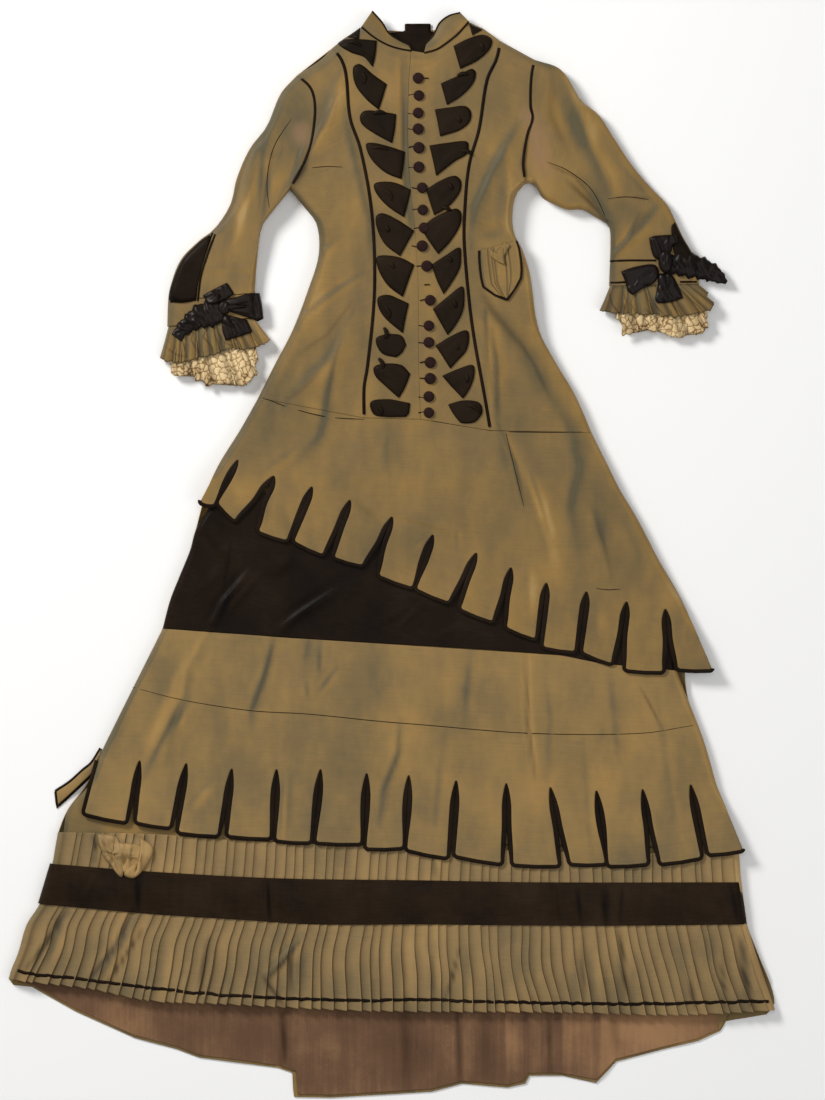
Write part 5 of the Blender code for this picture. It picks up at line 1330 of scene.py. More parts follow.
@dataclass
class TabbedLayer:
    """A layer that is whole above its slits and hangs in bound tabs below them."""

    maker: Maker
    name: str
    sides: tuple[Rows, Rows]
    top: Rows
    slits: Rows
    feet: Rows
    level: Callable | float
    foot_rise: float
    creases: Rows
    slit_half: float
    tip_length: float
    bound_sides: tuple[bool, bool]
    corner: float = 3.6
    binding_width: float = 7.4
    foot_width: float = 5.8
    binding_lap: float = 0.9
    seed: int = 4

    def half_gap(self, gap: float, length: float, v: np.ndarray) -> np.ndarray:
        """Half the distance between the silk of two tabs.

        Args:
            gap: Distance between their feet.
            length: Length of the slit.
            v: Fractions from the top of the slit to the feet.

        Returns:
            The half distance, rounded at the top and like a lens below it.
        """
        lens = max(self.slit_half * min(1.0, length / 80), 0.27 * gap)
        tip = np.sin(math.pi / 2 * np.clip(v * length / self.tip_length, 0, 1)) ** 0.8
        low = smooth_step(v, 0.45, 1.0)
        return tip * (lens * (1 - low) + gap / 2 * low)

    def gaps(self, k: int) -> tuple[float | None, float | None]:
        """Distance from a tab's foot to the feet of the tabs on its left and right."""
        left = self.feet[k][0] - self.feet[k - 1][2] if k > 0 else None
        right = self.feet[k + 1][0] - self.feet[k][2] if k < len(self.feet) - 1 else None
        return left, right

    def slit_row(self) -> tuple[np.ndarray, Line, Line, Line]:
        """Slit tops with both ends, and the lines of the sides and of the row of slits."""
        left, right = Line(self.sides[0]), Line(self.sides[1])
        tops = np.vstack((left.points[-1:], np.array(self.slits, dtype=float), right.points[-1:]))
        return tops, left, right, Line(tops, False)

    def tab_patch(self, k: int, tops: np.ndarray) -> Patch:
        """Outline of a tab, with rounded corners and sides that bulge away from the slits."""
        x0, y0, x1, y1 = self.feet[k]
        foot_left, foot_right = np.array((x0, y0), dtype=float), np.array((x1, y1), dtype=float)
        start, end = tops[k], tops[k + 1]
        reach = self.corner
        across = (foot_right - foot_left) / np.linalg.norm(foot_right - foot_left)
        down_left, down_right = foot_left - start, foot_right - end
        up_left = -down_left / np.linalg.norm(down_left) * reach
        up_right = -down_right / np.linalg.norm(down_right) * reach
        lines = []
        for corner, top, up, turn, gap in ((foot_left, start, up_left, 1.0, self.gaps(k)[0]),
                                           (foot_right, end, up_right, -1.0, self.gaps(k)[1])):
            v = even(31)
            base = top + (corner + up - top) * v[:, None]
            if gap is not None:
                length = float(np.linalg.norm(corner - top))
                base[:, 0] += turn * (self.half_gap(gap, length, v) - gap / 2 * v)
            lines.append(base)
        foot_start, foot_end = lines[0][-1], lines[1][-1]
        sag = np.array((0.0, -1.6))
        bends = [foot_start]
        for angle in (0.25, 0.5, 0.75, 1.0):
            a = angle * math.pi / 2
            bends.append(foot_start * (1 - math.sin(a)) + foot_left * math.sin(a)
                         + across * reach * (1 - math.cos(a)) + sag * angle * 0.4)
        middle = (foot_left + foot_right) / 2 + sag
        bends.append(middle)
        for angle in (1.0, 0.75, 0.5, 0.25):
            a = angle * math.pi / 2
            bends.append(foot_end * (1 - math.sin(a)) + foot_right * math.sin(a)
                         - across * reach * (1 - math.cos(a)) + sag * angle * 0.4)
        bends.append(foot_end)
        return Patch(Line(lines[0], False), Line(lines[1], False), Line((start, end)),
                     Line(np.array(bends), False))

    def full_height(self, x: np.ndarray, y: np.ndarray) -> np.ndarray:
        """Height of the layer where nothing rounds over."""
        above = self.level(y) if callable(self.level) else self.level
        fine = value_noise(x, y, 52, self.seed) * 0.7 + value_noise(x, y * 0.6, 21, self.seed + 5) * 0.28
        fine = fine + value_noise(x, y, 8, self.seed + 9) * 0.08
        return 2 * tube_half(y) + above * LAYER_PITCH + along_lines(self.creases, x, y) + fine

    def build(self) -> None:
        """Make the layer and its binding."""
        tops, left, right, row_line = self.slit_row()
        top = Line(self.top, False)
        at = row_line.at
        parts = [max(8, int((b - a) * row_line.length / CELL)) for a, b in zip(at, at[1:])]
        pieces = [np.linspace(at[k], at[k + 1], parts[k] + 1)[:-1] for k in range(len(parts))]
        u = np.concatenate((*pieces, (1.0,)))
        v = spread((left.length + right.length) / 2, CELL, False, False)
        patch = Patch(left, right, top, row_line)
        side_columns = np.clip(np.array((1.2, 3.4, 6.4, 9.5)) / row_line.length, 0, 1)
        u = np.unique(np.round(np.concatenate((u, side_columns, 1 - side_columns)), 7))
        uu, vv = np.meshgrid(u, v)
        place = patch.place(uu, vv)
        x, y = place[..., 0], place[..., 1]
        width = patch.width(v)[:, None]
        share = np.clip(np.minimum(uu, 1 - uu) * width / SIDE_ROUND, 0, 1)
        rise = quarter_round(share)
        full = self.full_height(x, y)
        middle = tube_half(y)
        z = middle + SEAM / 2 + (full - middle - SEAM / 2) * rise
        weave = Weave()
        upper = np.stack((x, y, z), axis=-1)
        weave.add_grid(upper)
        binding = Weave()
        edges = []
        for k in range(len(self.feet)):
            inside = (u >= at[k] - 1e-6) & (u <= at[k + 1] + 1e-6)
            first = upper[-1, inside]
            tab = self.tab_patch(k, tops)
            s = (u[inside] - at[k]) / (at[k + 1] - at[k])
            t = spread(tab.left.length, CELL, False, False)
            ss, tt = np.meshgrid(s, t)
            spot = tab.place(ss, tt)
            spot[0] = first[:, :2]
            full = self.full_height(spot[..., 0], spot[..., 1])
            turn = math.sin(self.seed * 7.3 + k * 2.9)
            curl = self.foot_rise * tt ** 1.5 + 0.55 * turn * tt**2 * (2 * ss - 1)
            curl = curl + 0.5 * (0.5 + 0.5 * math.sin(k * 4.1)) * tt**3 * np.abs(2 * ss - 1) ** 2
            target = full + curl
            lack = (full[0] - first[:, 2])[None, :] * (1 - smooth_step(tt, 0.0, 0.55))
            points = raised(spot, target - lack)
            weave.add_grid(points)
            edges.append(self.edge_path(tab, k))
        length = (left.length + right.length) / 2 + 70
        self.maker.cloth(self.name, weave, "tier_silk" if self.name == "tier" else "silk", Cloth.SILK,
                         (row_line.length * 1.06, length), "hung", ("skirt_front",))
        for edge, widths in edges:
            heights = laid_path(inset_path(edge, 1.3), (self.name,), 0.15)[:, 2]
            swept(binding, np.column_stack((edge, heights)), widths, 0.75, 0.9,
                  inset=self.binding_lap - widths / 2)
        self.maker.solid(f"{self.name}_edge", binding, "satin", Cloth.SATIN, (f"{self.name}_binding",))

    def edge_path(self, tab: Patch, k: int) -> tuple[np.ndarray, np.ndarray]:
        """Path along a tab's left side, its foot and its right side, with the width of its binding.

        Args:
            tab: Outline of the tab.
            k: Number of the tab.

        Returns:
            The path's places, and the width at each.
        """
        v = even(31)
        down, up = tab.left.at_fraction(v), tab.right.at_fraction(v)[::-1]
        foot = tab.foot.at_fraction(even(44))[1:-1]
        widths = []
        for gap, side in zip(self.gaps(k), (tab.left, tab.right)):
            if gap is None:
                widths.append(np.full(len(v), self.foot_width))
                continue
            free = self.half_gap(gap, side.length, v) + self.binding_lap - 0.12
            wide = self.binding_width + (self.foot_width - self.binding_width) * smooth_step(v, 0.8, 1.0)
            widths.append(np.maximum(np.minimum(free, wide), 0.8))
        path, across = [foot], [np.full(len(foot), self.foot_width)]
        if k > 0 or self.bound_sides[0]:
            path.insert(0, down)
            across.insert(0, widths[0])
        if k < len(self.feet) - 1 or self.bound_sides[1]:
            path.append(up)
            across.append(widths[1][::-1])
        return np.vstack(path), np.concatenate(across)


def crisp_outline(row: Sequence[float], corners: Sequence[int], cell: float = 2.7) -> np.ndarray:
    """Outline through places that go once round, soft between its sharp corners.

    Args:
        row: The places, x and y in turn.
        corners: Numbers of the places that stay sharp.
        cell: Distance between its points.

    Returns:
        Points of the outline, with the first not repeated.
    """
    places = pairs(row)
    made = []
    for first, last in zip(corners, (*corners[1:], corners[0])):
        end = last if last > first else last + len(places)
        stretch = Line(places[np.arange(first, end + 1) % len(places)])
        made.append(resampled(stretch.points, cell, False)[:-1])
    return np.vstack(made)


@dataclass
class Skirts:
    """Foundation skirt, satin panel, flounce with ribbon and braid, back with train, and lining."""

    maker: Maker
    pleat_profile: Rows = ((0.0, 0.0), (0.3, 0.9), (0.6, 1.9), (0.9, 2.8), (0.97, 2.7), (0.985, 2.2),
                           (0.93, 1.2), (0.9, 0.3))
    depth_at: Sequence[float] = (0.0, 0.26, 0.42, 1.0)
    depths: Sequence[float] = (1.9, 1.0, 1.0, 3.1)
    hem_tooth: float = 2.2
    ribbon_lift: float = 3.3
    folds: Rows = (
        (8, 3.0, 0.8, -492, -545, -502, -570, -513, -600),
        (9, 3.4, 0.7, -381, -540, -405, -580, -446, -640),
        (6, 1.6, 0.8, -259, -566, -270, -600),
        (8, 3.0, 0.8, -133, -570, -160, -600, -190, -640),
        (6, 1.8, 0.7, -14, -585, -22, -662),
        (7, -1.6, 0.2, 268, -600, 268, -670),
        (6, 1.8, 0.6, 301, -590, 304, -672),
        (6, 1.6, -0.6, 346, -590, 350, -675),
        (9, 2.4, 0.4, 530, -575, 538, -684),
        (9, 2.6, 0.4, -430, -425, -405, -440, -372, -430),
        (7, 2.2, 0.5, -425, -455, -398, -448, -366, -462),
        (6, 2.0, 0.6, 60, -440, 70, -484),
        (12, 1.6, 0.3, 430, -560, 452, -680),
        (12, 1.4, 0.3, 120, -560, 110, -680),
        (12, 1.6, 0.3, -330, -560, -352, -664),
    )
    # Folded parts of the bunch in the heading, the lowest first
    bunch_parts: Rows = (
        (-414, -430, -372, -438, -379, -466, -396, -478, -409, -458),
        (-440, -418, -412, -422, -401, -456, -404, -482, -419, -466, -433, -446),
        (-375, -424, -357, -438, -361, -455, -385, -483, -400, -478, -380, -458, -372, -442),
    )
    ribbon_folds: Rows = (
        (5, 1.8, 0.8, -448, -482, -464, -522),
        (6, 2.4, 0.8, -381, -470, -386, -505, -393, -538),
        (4, 1.3, 0.7, -184, -487, -187, -545),
        (5, 1.4, 0.6, 247, -492, 255, -552),
        (5, 1.6, -0.6, 281, -492, 276, -552),
        (5, 1.5, 0.6, 314, -492, 322, -552),
        (4, 1.2, 0.7, 346, -492, 342, -552),
        (4, 1.0, 0.5, -300, -482, -308, -540),
        (4, 0.9, 0.5, -60, -486, -62, -552),
        (4, 1.0, 0.6, 120, -488, 126, -552),
        (4, 1.1, 0.6, 430, -490, 436, -553),
        (5, 1.3, 0.6, 490, -490, 500, -553),
    )

    def front(self) -> None:
        """Foundation skirt and the satin panel between overskirt and tier."""
        for name, sides, top, hem, level, cell, creases in (
                ("skirt_front", (SKIRT_SIDE_LEFT, SKIRT_SIDE_RIGHT), SKIRT_TOP, SKIRT_HEM, 0.0,
                 COARSE_CELL, ()),
                ("satin_panel", (SATIN_SIDE_LEFT, SATIN_SIDE_RIGHT), SATIN_TOP, SATIN_HEM, 1.0,
                 CELL, SATIN_CREASES)):
            patch = Patch(Line(sides[0]), Line(sides[1]), Line(top), Line(hem))
            rows = spread(patch.left.length, cell, False, False)
            widths = patch.width(rows)
            columns = spread(float(widths.max()), cell, True, True)
            grid = panel_points(patch, columns, rows, True, level, creases, True, True,
                                np.ones_like(rows), seed=31, crumple=0.8 if level else 0.2)
            weave = Weave()
            weave.add_grid(grid)
            satin = name == "satin_panel"
            self.maker.cloth(name, weave, "satin" if satin else "silk",
                             Cloth.SATIN if satin else Cloth.SILK,
                             (float(widths.max()) * EASE, patch.left.length * 1.1), "hung",
                             ("skirt_back",) if not satin else ("skirt_front",))

    @staticmethod
    def groove(s: float, z: float) -> float:
        """Painted shade at a place of a pleat: deepest under its fold."""
        if z < 1.3 and s > 0.8:
            return 1.0
        if s == 0:
            return 0.75
        return 0.25 if s < 0.5 else 0.0

    def pleat_columns(self, share: float) -> tuple[np.ndarray, np.ndarray, np.ndarray, np.ndarray]:
        """Columns of the pleats.

        Args:
            share: Share of the width that rounds over at each side.

        Returns:
            Fraction across, height, number and groove of each column.
        """
        turns = np.sin(np.arange(PLEATS + 1) * 12.9898) * 43758.5453
        jitter = 0.56 * (turns - np.floor(turns) - 0.5)
        jitter[[0, -1]] = 0
        at = share + (1 - 2 * share) * (np.arange(PLEATS + 1) + jitter) / PLEATS
        across, up, number, groove = [], [], [], []
        for k in range(PLEATS):
            for s, z in self.pleat_profile:
                across.append(at[k] + (at[k + 1] - at[k]) * s)
                up.append(z / 2.8)
                number.append(k)
                groove.append(self.groove(s, z))
        return np.array(across), np.array(up), np.array(number, float), np.array(groove)

    def flounce(self) -> None:
        """Knife-pleated flounce."""
        patch = Patch(Line(FLOUNCE_SIDE_LEFT), Line(FLOUNCE_SIDE_RIGHT), Line(FLOUNCE_TOP),
                      Line(FLOUNCE_HEM))
        rows = spread(patch.left.length, 4.0, False, False)
        share = SIDE_ROUND / float(patch.width(rows).mean())
        across, up, number, groove = self.pleat_columns(share)
        turn = np.array((0.0, 0.03, 0.12, 0.3, 0.6)) * share
        u = np.concatenate((turn, across, (1 - share,), 1 - turn[::-1]))
        up = np.concatenate((np.zeros(5), up, np.zeros(6)))
        number = np.concatenate((np.full(5, -1.0), number, np.full(6, float(PLEATS))))
        groove = np.concatenate((np.zeros(5), groove, np.zeros(6)))
        uu, vv = np.meshgrid(u, rows)
        place = patch.place(uu, vv)
        x, y = place[..., 0].copy(), place[..., 1].copy()
        inside = np.clip(np.minimum(uu, 1 - uu) / (3 * share), 0, 1)
        wide = value_noise(number[None, :] * 16.0, vv * 260, 90, 11) * 6.4
        small = value_noise(number[None, :] * 31.0, vv * 260, 60, 17) * 1.5
        loose = smooth_step(vv, 0.42, 0.8) + 0.3 * (1 - smooth_step(vv, 0.0, 0.25))
        x += (wide + small) * loose * inside
        y -= self.hem_tooth * (up[None, :] - 0.5) * smooth_step(vv, 0.9, 1.0) * inside
        away = np.clip(np.minimum(uu, 1 - uu) / share, 0, 1)
        rise = quarter_round(away)
        depth = np.interp(vv, self.depth_at, self.depths)
        lively = 1 + 0.5 * value_noise(number[None, :] * 5.0, vv * 90, 40, 23)
        half = tube_half(y)
        z = half + (half + LAYER_PITCH) * rise
        bumps = 1.3 * along_lines(self.folds, x, y) + 0.5 * value_noise(x, y, 60, 8)
        crumple = np.exp(-((x + 402) / 40) ** 4 - ((y + 440) / 26) ** 4)
        bumps = bumps + crumple * (4.6 * value_noise(x, y, 17, 41) + 2.6 * value_noise(x, y, 9, 43) + 1.8)
        z = z + up[None, :] * depth * lively * away + bumps * np.clip((rise - 0.5) * 2, 0, 1)
        weave = Weave()
        weave.add_grid(np.stack((x, y, z), axis=-1))
        # Painted shade in the pleats' grooves, a little darker towards the hem
        fold_shade = (groove[None, :] * (0.75 + 0.25 * smooth_step(vv, 0.3, 0.9))).ravel()
        cut = (FLOUNCE_WIDTH * FLOUNCE_FULLNESS, FLOUNCE_LENGTH)
        self.maker.cloth("flounce", weave, "flounce_silk", Cloth.SILK, cut, "gathered", ("skirt_front",),
                         fold_shade=fold_shade)

    def ribbon(self) -> None:
        """Satin band over the pleats, and the dark line of the hem."""
        top, foot = Line(RIBBON_TOP), Line(RIBBON_FOOT)
        ends = np.array((0.0, 1.0))
        a, b = top.at_fraction(ends), foot.at_fraction(ends)
        patch = Patch(Line((a[0], b[0])), Line((a[1], b[1])), top, foot)
        rows = spread(66.0, 3.0, False, False)
        columns = spread(top.length, 2.6, True, True)
        grid = panel_points(patch, columns, rows, True, 0.0, self.ribbon_folds, True, True,
                            np.ones_like(rows), seed=61, crumple=0.5)
        away = np.clip(np.minimum(columns, 1 - columns) * top.length / SIDE_ROUND, 0, 1)[None, :]
        ripple = 0.3 * np.sin(grid[..., 0] * 2 * math.pi / 16.6)
        ripple = ripple + 0.35 * value_noise(grid[..., 0], grid[..., 1] * 0.15, 7, 71)
        curl = 0.5 * np.cos(rows * 2 * math.pi)[:, None]
        grid[..., 2] += (LAYER_PITCH + self.ribbon_lift + ripple - curl) * away
        weave = Weave()
        weave.add_grid(grid)
        self.maker.cloth("ribbon_band", weave, "ribbon", Cloth.SATIN, (1060.0, 72.0), "laid", ("flounce",),
                         wall=TRIM_WALL)
        path = resampled(np.array(BRAID_LINE, dtype=float), 2.5)
        braid = Weave()
        laid = laid_path(path, ("flounce",), 0.2)
        laid[:, 1] += 1.1 * value_noise(laid[:, 0], laid[:, 0] * 0, 9, 4)
        swept(braid, laid, 5.0, 0.9, 1.4)
        self.maker.solid("hem_line", braid, "satin", Cloth.SATIN, ("hem_braid",))

    def bunch(self) -> None:
        """Crumpled bunch of silk where the heading is caught over the ribbon."""
        weave = Weave()
        for number, row in enumerate(self.bunch_parts):
            places = pairs(row)
            outline = closed_outline(places, 2.0)
            high, low = places[places[:, 1].argmax()], places[places[:, 1].argmin()]
            across = np.array((1.0, 0.2)) * (4.5 if number else 9.0)
            creases = [(2.6, 2.2 * way, 0.6, *(high + across * a), *((high + low) / 2 + across * a),
                        *(low + across * a * 0.4)) for a, way in ((-0.9, 1.0), (0.1, -1.0), (1.0, 1.0))]
            add_domed(weave, outline, ("flounce", "ribbon_band"), 2.0 + 0.8 * number, 10, creases,
                      SEAT + SILK_WALL, 3.4)
        self.maker.cloth("heading_bunch", weave, "flounce_silk", Cloth.SILK, (120.0, 60.0), "folded",
                         ("flounce", "ribbon_band"), nodes=())

    def back(self) -> None:
        """Back skirt with its train, and the lining that shows past the front hem."""
        waist = np.array(WAIST_BACK, dtype=float) - (0, SEAM)
        left, right = hung_from(waist, BACK_SIDE_LEFT, BACK_SIDE_RIGHT)
        train = Line(TRAIN_EDGE, False)
        patch = Patch(Line(left), Line(right), Line(waist), train)
        rows = spread(patch.left.length, COARSE_CELL, False, False)
        columns = spread(float(patch.width(rows).max()), 9.0, True, True)
        columns = np.unique(np.round(np.concatenate((columns, train.at)), 5))
        shut = 1 - smooth_step(rows, 0.93, 0.955)
        grid = panel_points(patch, columns, rows, False, 0.0, BACK_CREASES, True, True, shut,
                            seed=13, crumple=0.9)
        weave = Weave()
        weave.add_grid(grid, flip=True)
        self.maker.cloth("skirt_back", weave, "silk", Cloth.SILK, (1150.0, 1060.0), "laid", ("floor",),
                         laid=False)
        sides = (Line((LINING_TOP[0], LINING_EDGE[0])), Line((LINING_TOP[-1], LINING_EDGE[-1])))
        edge = Line(LINING_EDGE, False)
        patch = Patch(*sides, Line(LINING_TOP), edge)
        rows = spread(160.0, CELL, False, False)
        columns = np.unique(np.round(np.concatenate((spread(edge.length, CELL, False, False), edge.at)), 5))
        uu, vv = np.meshgrid(columns, rows)
        place = patch.place(uu, vv)
        x, y = place[..., 0], place[..., 1]
        bumps = along_lines(LINING_CREASES, x, y) + 0.7 * value_noise(x, y, 42, 19)
        bumps = bumps + 0.35 * value_noise(x, y * 0.4, 14, 29)
        z = SILK_WALL + SEAT + TRIM_WALL + 0.5 + np.maximum(bumps, -0.4)
        weave = Weave()
        weave.add_grid(np.stack((x, y, z), axis=-1))
        self.maker.cloth("train_lining", weave, "lining", Cloth.LINING, (1110.0, 165.0), "laid",
                         ("skirt_back",), wall=TRIM_WALL, own_streaks=LINING_STREAKS)

    def side_tab(self) -> None:
        """Loose tab at the left side, which slopes to the floor."""
        upper = Line(((-434.9, -291), (-449, -313), (-461, -323), (-481, -341), (-502, -355)))
        lower = Line(((-441, -307), (-450, -327), (-461, -338), (-479, -355), (-500, -374)))
        t, s = np.meshgrid(even(26), even(9))
        place = across_lines(upper, lower, t, s)
        z = np.interp(t, (0, 0.25, 0.45, 0.78, 1), (8.6, 8.6, 8.2, 3.2, 1.6))
        z = z + 0.8 * np.sin(math.pi * s)
        weave = Weave()
        weave.add_grid(raised(place, z))
        self.maker.cloth("side_tab", weave, "tier_silk", Cloth.SILK, (100.0, 22.0), "hung", ("tier",))
        edge = np.vstack((upper.at_fraction(even(24)), lower.at_fraction(even(24))[::-1]))
        binding = Weave()
        path = laid_path(inset_path(resampled(edge, 2.5, False), -1.6), ("side_tab",), 0.25)
        swept(binding, path, 4.8, 0.9, 0.8)
        self.maker.solid("side_tab_edge", binding, "satin", Cloth.SATIN)

    def build(self) -> None:
        """Make the skirts from the floor up."""
        self.back()
        self.front()


@dataclass
class Cuff:
    """Ruffle and lace at a cuff, its ruched ribbon and its bow."""

    maker: Maker
    side: Side
    waves: int = 14
    lace_waves: int = 8
    # Sharp corners and outline of each loop and tail, the lowest first
    bows: dict[Side, Rows] = field(default_factory=lambda: {
        Side.LEFT: (((2, 3, 5), (-250, 358, -234, 356, -217, 352, -209, 334, -229, 327, -248, 321,
                                 -253, 339)),
                    ((1, 3, 4), (-272, 376, -282, 388, -264, 398, -246, 407, -236, 391, -250, 382)),
                    ((3, 5, 6), (-250, 380, -230, 386, -214, 391, -198, 392, -194, 372, -192, 354, -200, 350,
                                 -220, 358, -240, 364, -250, 368))),
        Side.RIGHT: (((3, 5), (401, 420, 419, 419, 427, 406, 436, 385, 418, 379, 398, 377, 395, 382,
                               399, 403)),
                     ((0, 6), (344, 424, 365, 431, 394, 434, 400, 422, 393, 408, 375, 399, 361, 389,
                               354, 395, 350, 410)),
                     ((0, 2, 3), (386, 474, 394, 477, 425, 479, 428, 469, 420, 462, 418, 454, 402, 442,
                                  394, 445, 389, 457))),
    })
    knots: dict[Side, tuple[float, float, float, float]] = field(default_factory=lambda: {
        Side.LEFT: (-250, 370, 8.5, 10.0),
        Side.RIGHT: (410, 439, 10.0, 17.0),
    })
    # Places that the ruched ribbon follows, and half its width at each
    ribbons: dict[Side, Rows] = field(default_factory=lambda: {
        Side.LEFT: ((-322, 325, 8), (-314, 336, 11), (-303, 346, 14), (-288, 356, 19), (-268, 362, 19),
                    (-250, 369, 13)),
        Side.RIGHT: ((412, 434, 13), (430, 435, 17), (447, 433, 18), (461, 430, 16), (481, 422, 12),
                     (502, 408, 3)),
    })

    def frills(self) -> None:
        """Make the silk ruffle and the lace below it."""
        left = self.side is Side.LEFT
        top = np.array(RUFFLE_TOP_LEFT if left else RUFFLE_TOP_RIGHT, dtype=float)
        top = top + ((1.6, 2.6), (-1.6, 2.6))
        hem = Line(RUFFLE_HEM_LEFT if left else RUFFLE_HEM_RIGHT)
        half = CUFF_HEIGHT / 2
        self.tube("ruffle", Line(top), hem, self.waves, 3.0, half, half, "silk", Cloth.SILK, 3.0)
        inside = np.array([0.55 * Line(top).at_fraction(np.array(u)) + 0.45 * hem.at_fraction(np.array(u))
                           for u in (0.05, 0.2, 0.35, 0.5, 0.65, 0.8, 0.95)])
        lace_hem = Line(LACE_HEM_LEFT if left else LACE_HEM_RIGHT)
        ends = np.concatenate(((0.02,), even(12)[1:-1], (0.98,)))
        self.tube("lace", Line(inside), Line(lace_hem.at_fraction(ends)), self.lace_waves, 2.8, half - 0.6,
                  half - 3.3, "lace", Cloth.LACE, 2.2)

    def tube(self, kind: str, top: Line, foot: Line, waves: int, depth: float, middle: float,
             half: float, finish: str, slot: Cloth, tooth: float) -> None:
        """A gathered ring, waved over its upper half and plain where it lies on the floor.

        Args:
            kind: Ruffle or lace.
            top: Its upper line.
            foot: Its lower edge.
            waves: Waves of its upper half.
            depth: Height of the waves.
            middle: Height of its middle.
            half: Half its thickness.
            finish: Name of its finish.
            slot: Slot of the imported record.
            tooth: How far the waves shift its edge.
        """
        seed = 5 if self.side is Side.LEFT else 9
        steps = waves * 16
        number = np.arange(waves + 1)
        widths = 1 + 0.6 * np.sin(number[1:] * 2.4 + seed)
        ends = np.concatenate(((0.0,), np.cumsum(widths))) / widths.sum()
        phase = np.interp(even(steps), ends, number)
        tall = 0.72 + 0.28 * np.sin(np.floor(phase) * 1.7 + seed)
        wave = (0.5 - 0.5 * np.cos(phase * 2 * math.pi)) ** 0.34 * tall
        length = foot.length
        round_over = np.clip(np.minimum(even(steps), 1 - even(steps)) * length / 7, 0, 1)
        height = quarter_round(round_over)
        back = np.array((0.96, 0.8, 0.6, 0.4, 0.2, 0.04))
        u = np.concatenate((even(steps), back))
        up = np.concatenate((height, -np.ones(6)))
        swell = np.concatenate((wave * round_over, np.zeros(6)))
        rows = even(22 if kind == "ruffle" else 18)
        uu, vv = np.meshgrid(u, rows)
        a, b = top.at_fraction(uu), foot.at_fraction(uu)
        place = (1 - vv[..., None]) * a + vv[..., None] * b
        run = foot.at_fraction(np.array(1.0)) - foot.at_fraction(np.array(0.0))
        run = run / np.linalg.norm(run)
        down = np.array((run[1], -run[0]))
        shift = tooth * (swell[None, :] - 0.4) * smooth_step(vv, 0.5, 1.0)
        if slot is Cloth.LACE:
            scallop = np.abs(np.sin(uu * length * math.pi / 9.5)) - 0.6
            shift = shift + 2.8 * scallop * smooth_step(vv, 0.8, 1)
        fan = 3.0 * np.sin(np.concatenate((phase, np.zeros(6))) * 2 * math.pi + 0.6)[None, :]
        fan = fan * smooth_step(vv, 0.2, 1.0) * (up > 0.99)[None, :]
        place = place + shift[..., None] * down + fan[..., None] * run
        opened = 0.3 + 0.7 * smooth_step(vv, 0.0, 0.7)
        tucked = half - 1.4 * (1 - smooth_step(vv, 0.0, 0.12))
        z = middle + tucked * up[None, :] + swell[None, :] * depth * opened
        z = z + 0.5 * value_noise(place[..., 0], place[..., 1], 14, seed) * (up > 0.9)[None, :]
        weave = Weave()
        weave.add_grid(raised(place, z), wrap=True)
        name = f"{kind}_{self.side.value}"
        drop = float(np.linalg.norm(top.at_fraction(np.array(0.5)) - foot.at_fraction(np.array(0.5))))
        # Painted shade in the grooves between the waves, and a painted dark line at the edge
        groove = np.clip(1 - 1.9 * swell[None, :], 0, 1) * (up > 0.9)[None, :] * np.ones_like(vv)
        groove = np.maximum(groove, 0.6 * smooth_step(vv, 0.955, 0.98)).ravel()
        self.maker.cloth(name, weave, finish, slot, (length * 2.5, drop), "gathered",
                         (f"sleeve_upper_{self.side.value}",), fold_shade=groove)

    def ruched(self, under: Sequence[str]) -> None:
        """Make the ruched ribbon, with folds that slant across it unevenly."""
        rows = np.array(self.ribbons[self.side], dtype=float)
        line = Line(rows[:, :2])
        fraction = even(54)
        path = line.at_fraction(fraction)
        runs = np.gradient(path, axis=0)
        sides = np.stack((-runs[:, 1], runs[:, 0]), axis=1)
        sides /= np.linalg.norm(sides, axis=1, keepdims=True)
        half = np.interp(fraction, even(len(rows)), rows[:, 2])
        half = half * (1 + 0.10 * np.sin(fraction * 37) + 0.06 * np.sin(fraction * 71 + 1))
        across = np.linspace(-1, 1, 15)
        heights = np.maximum(softened(relief.heights(path, under), 4), 3.0)
        places = path[None] + across[:, None, None] * (sides * half[:, None])[None]
        crown = np.sqrt(1 - across[:, None] ** 2 * 0.98)
        phase = fraction[None] ** 0.8 * 5.2 + 0.22 * across[:, None] + 0.25 * np.sin(across[:, None] * 4)
        fold = np.abs(np.sin(phase * math.pi)) ** 0.7 - 0.6
        small = value_noise(places[..., 0], places[..., 1], 7, 3)
        z = heights[None] + 1.0 + (half[None] * 0.32) * crown + 2.2 * fold * crown + 1.3 * small * crown
        weave = Weave()
        weave.add_grid(raised(places, z), flip=True)
        self.maker.cloth(f"cuff_ribbon_{self.side.value}", weave, "bow_satin", Cloth.SATIN,
                         (line.length * 1.5, 24.0), "gathered", under, wall=TRIM_WALL)

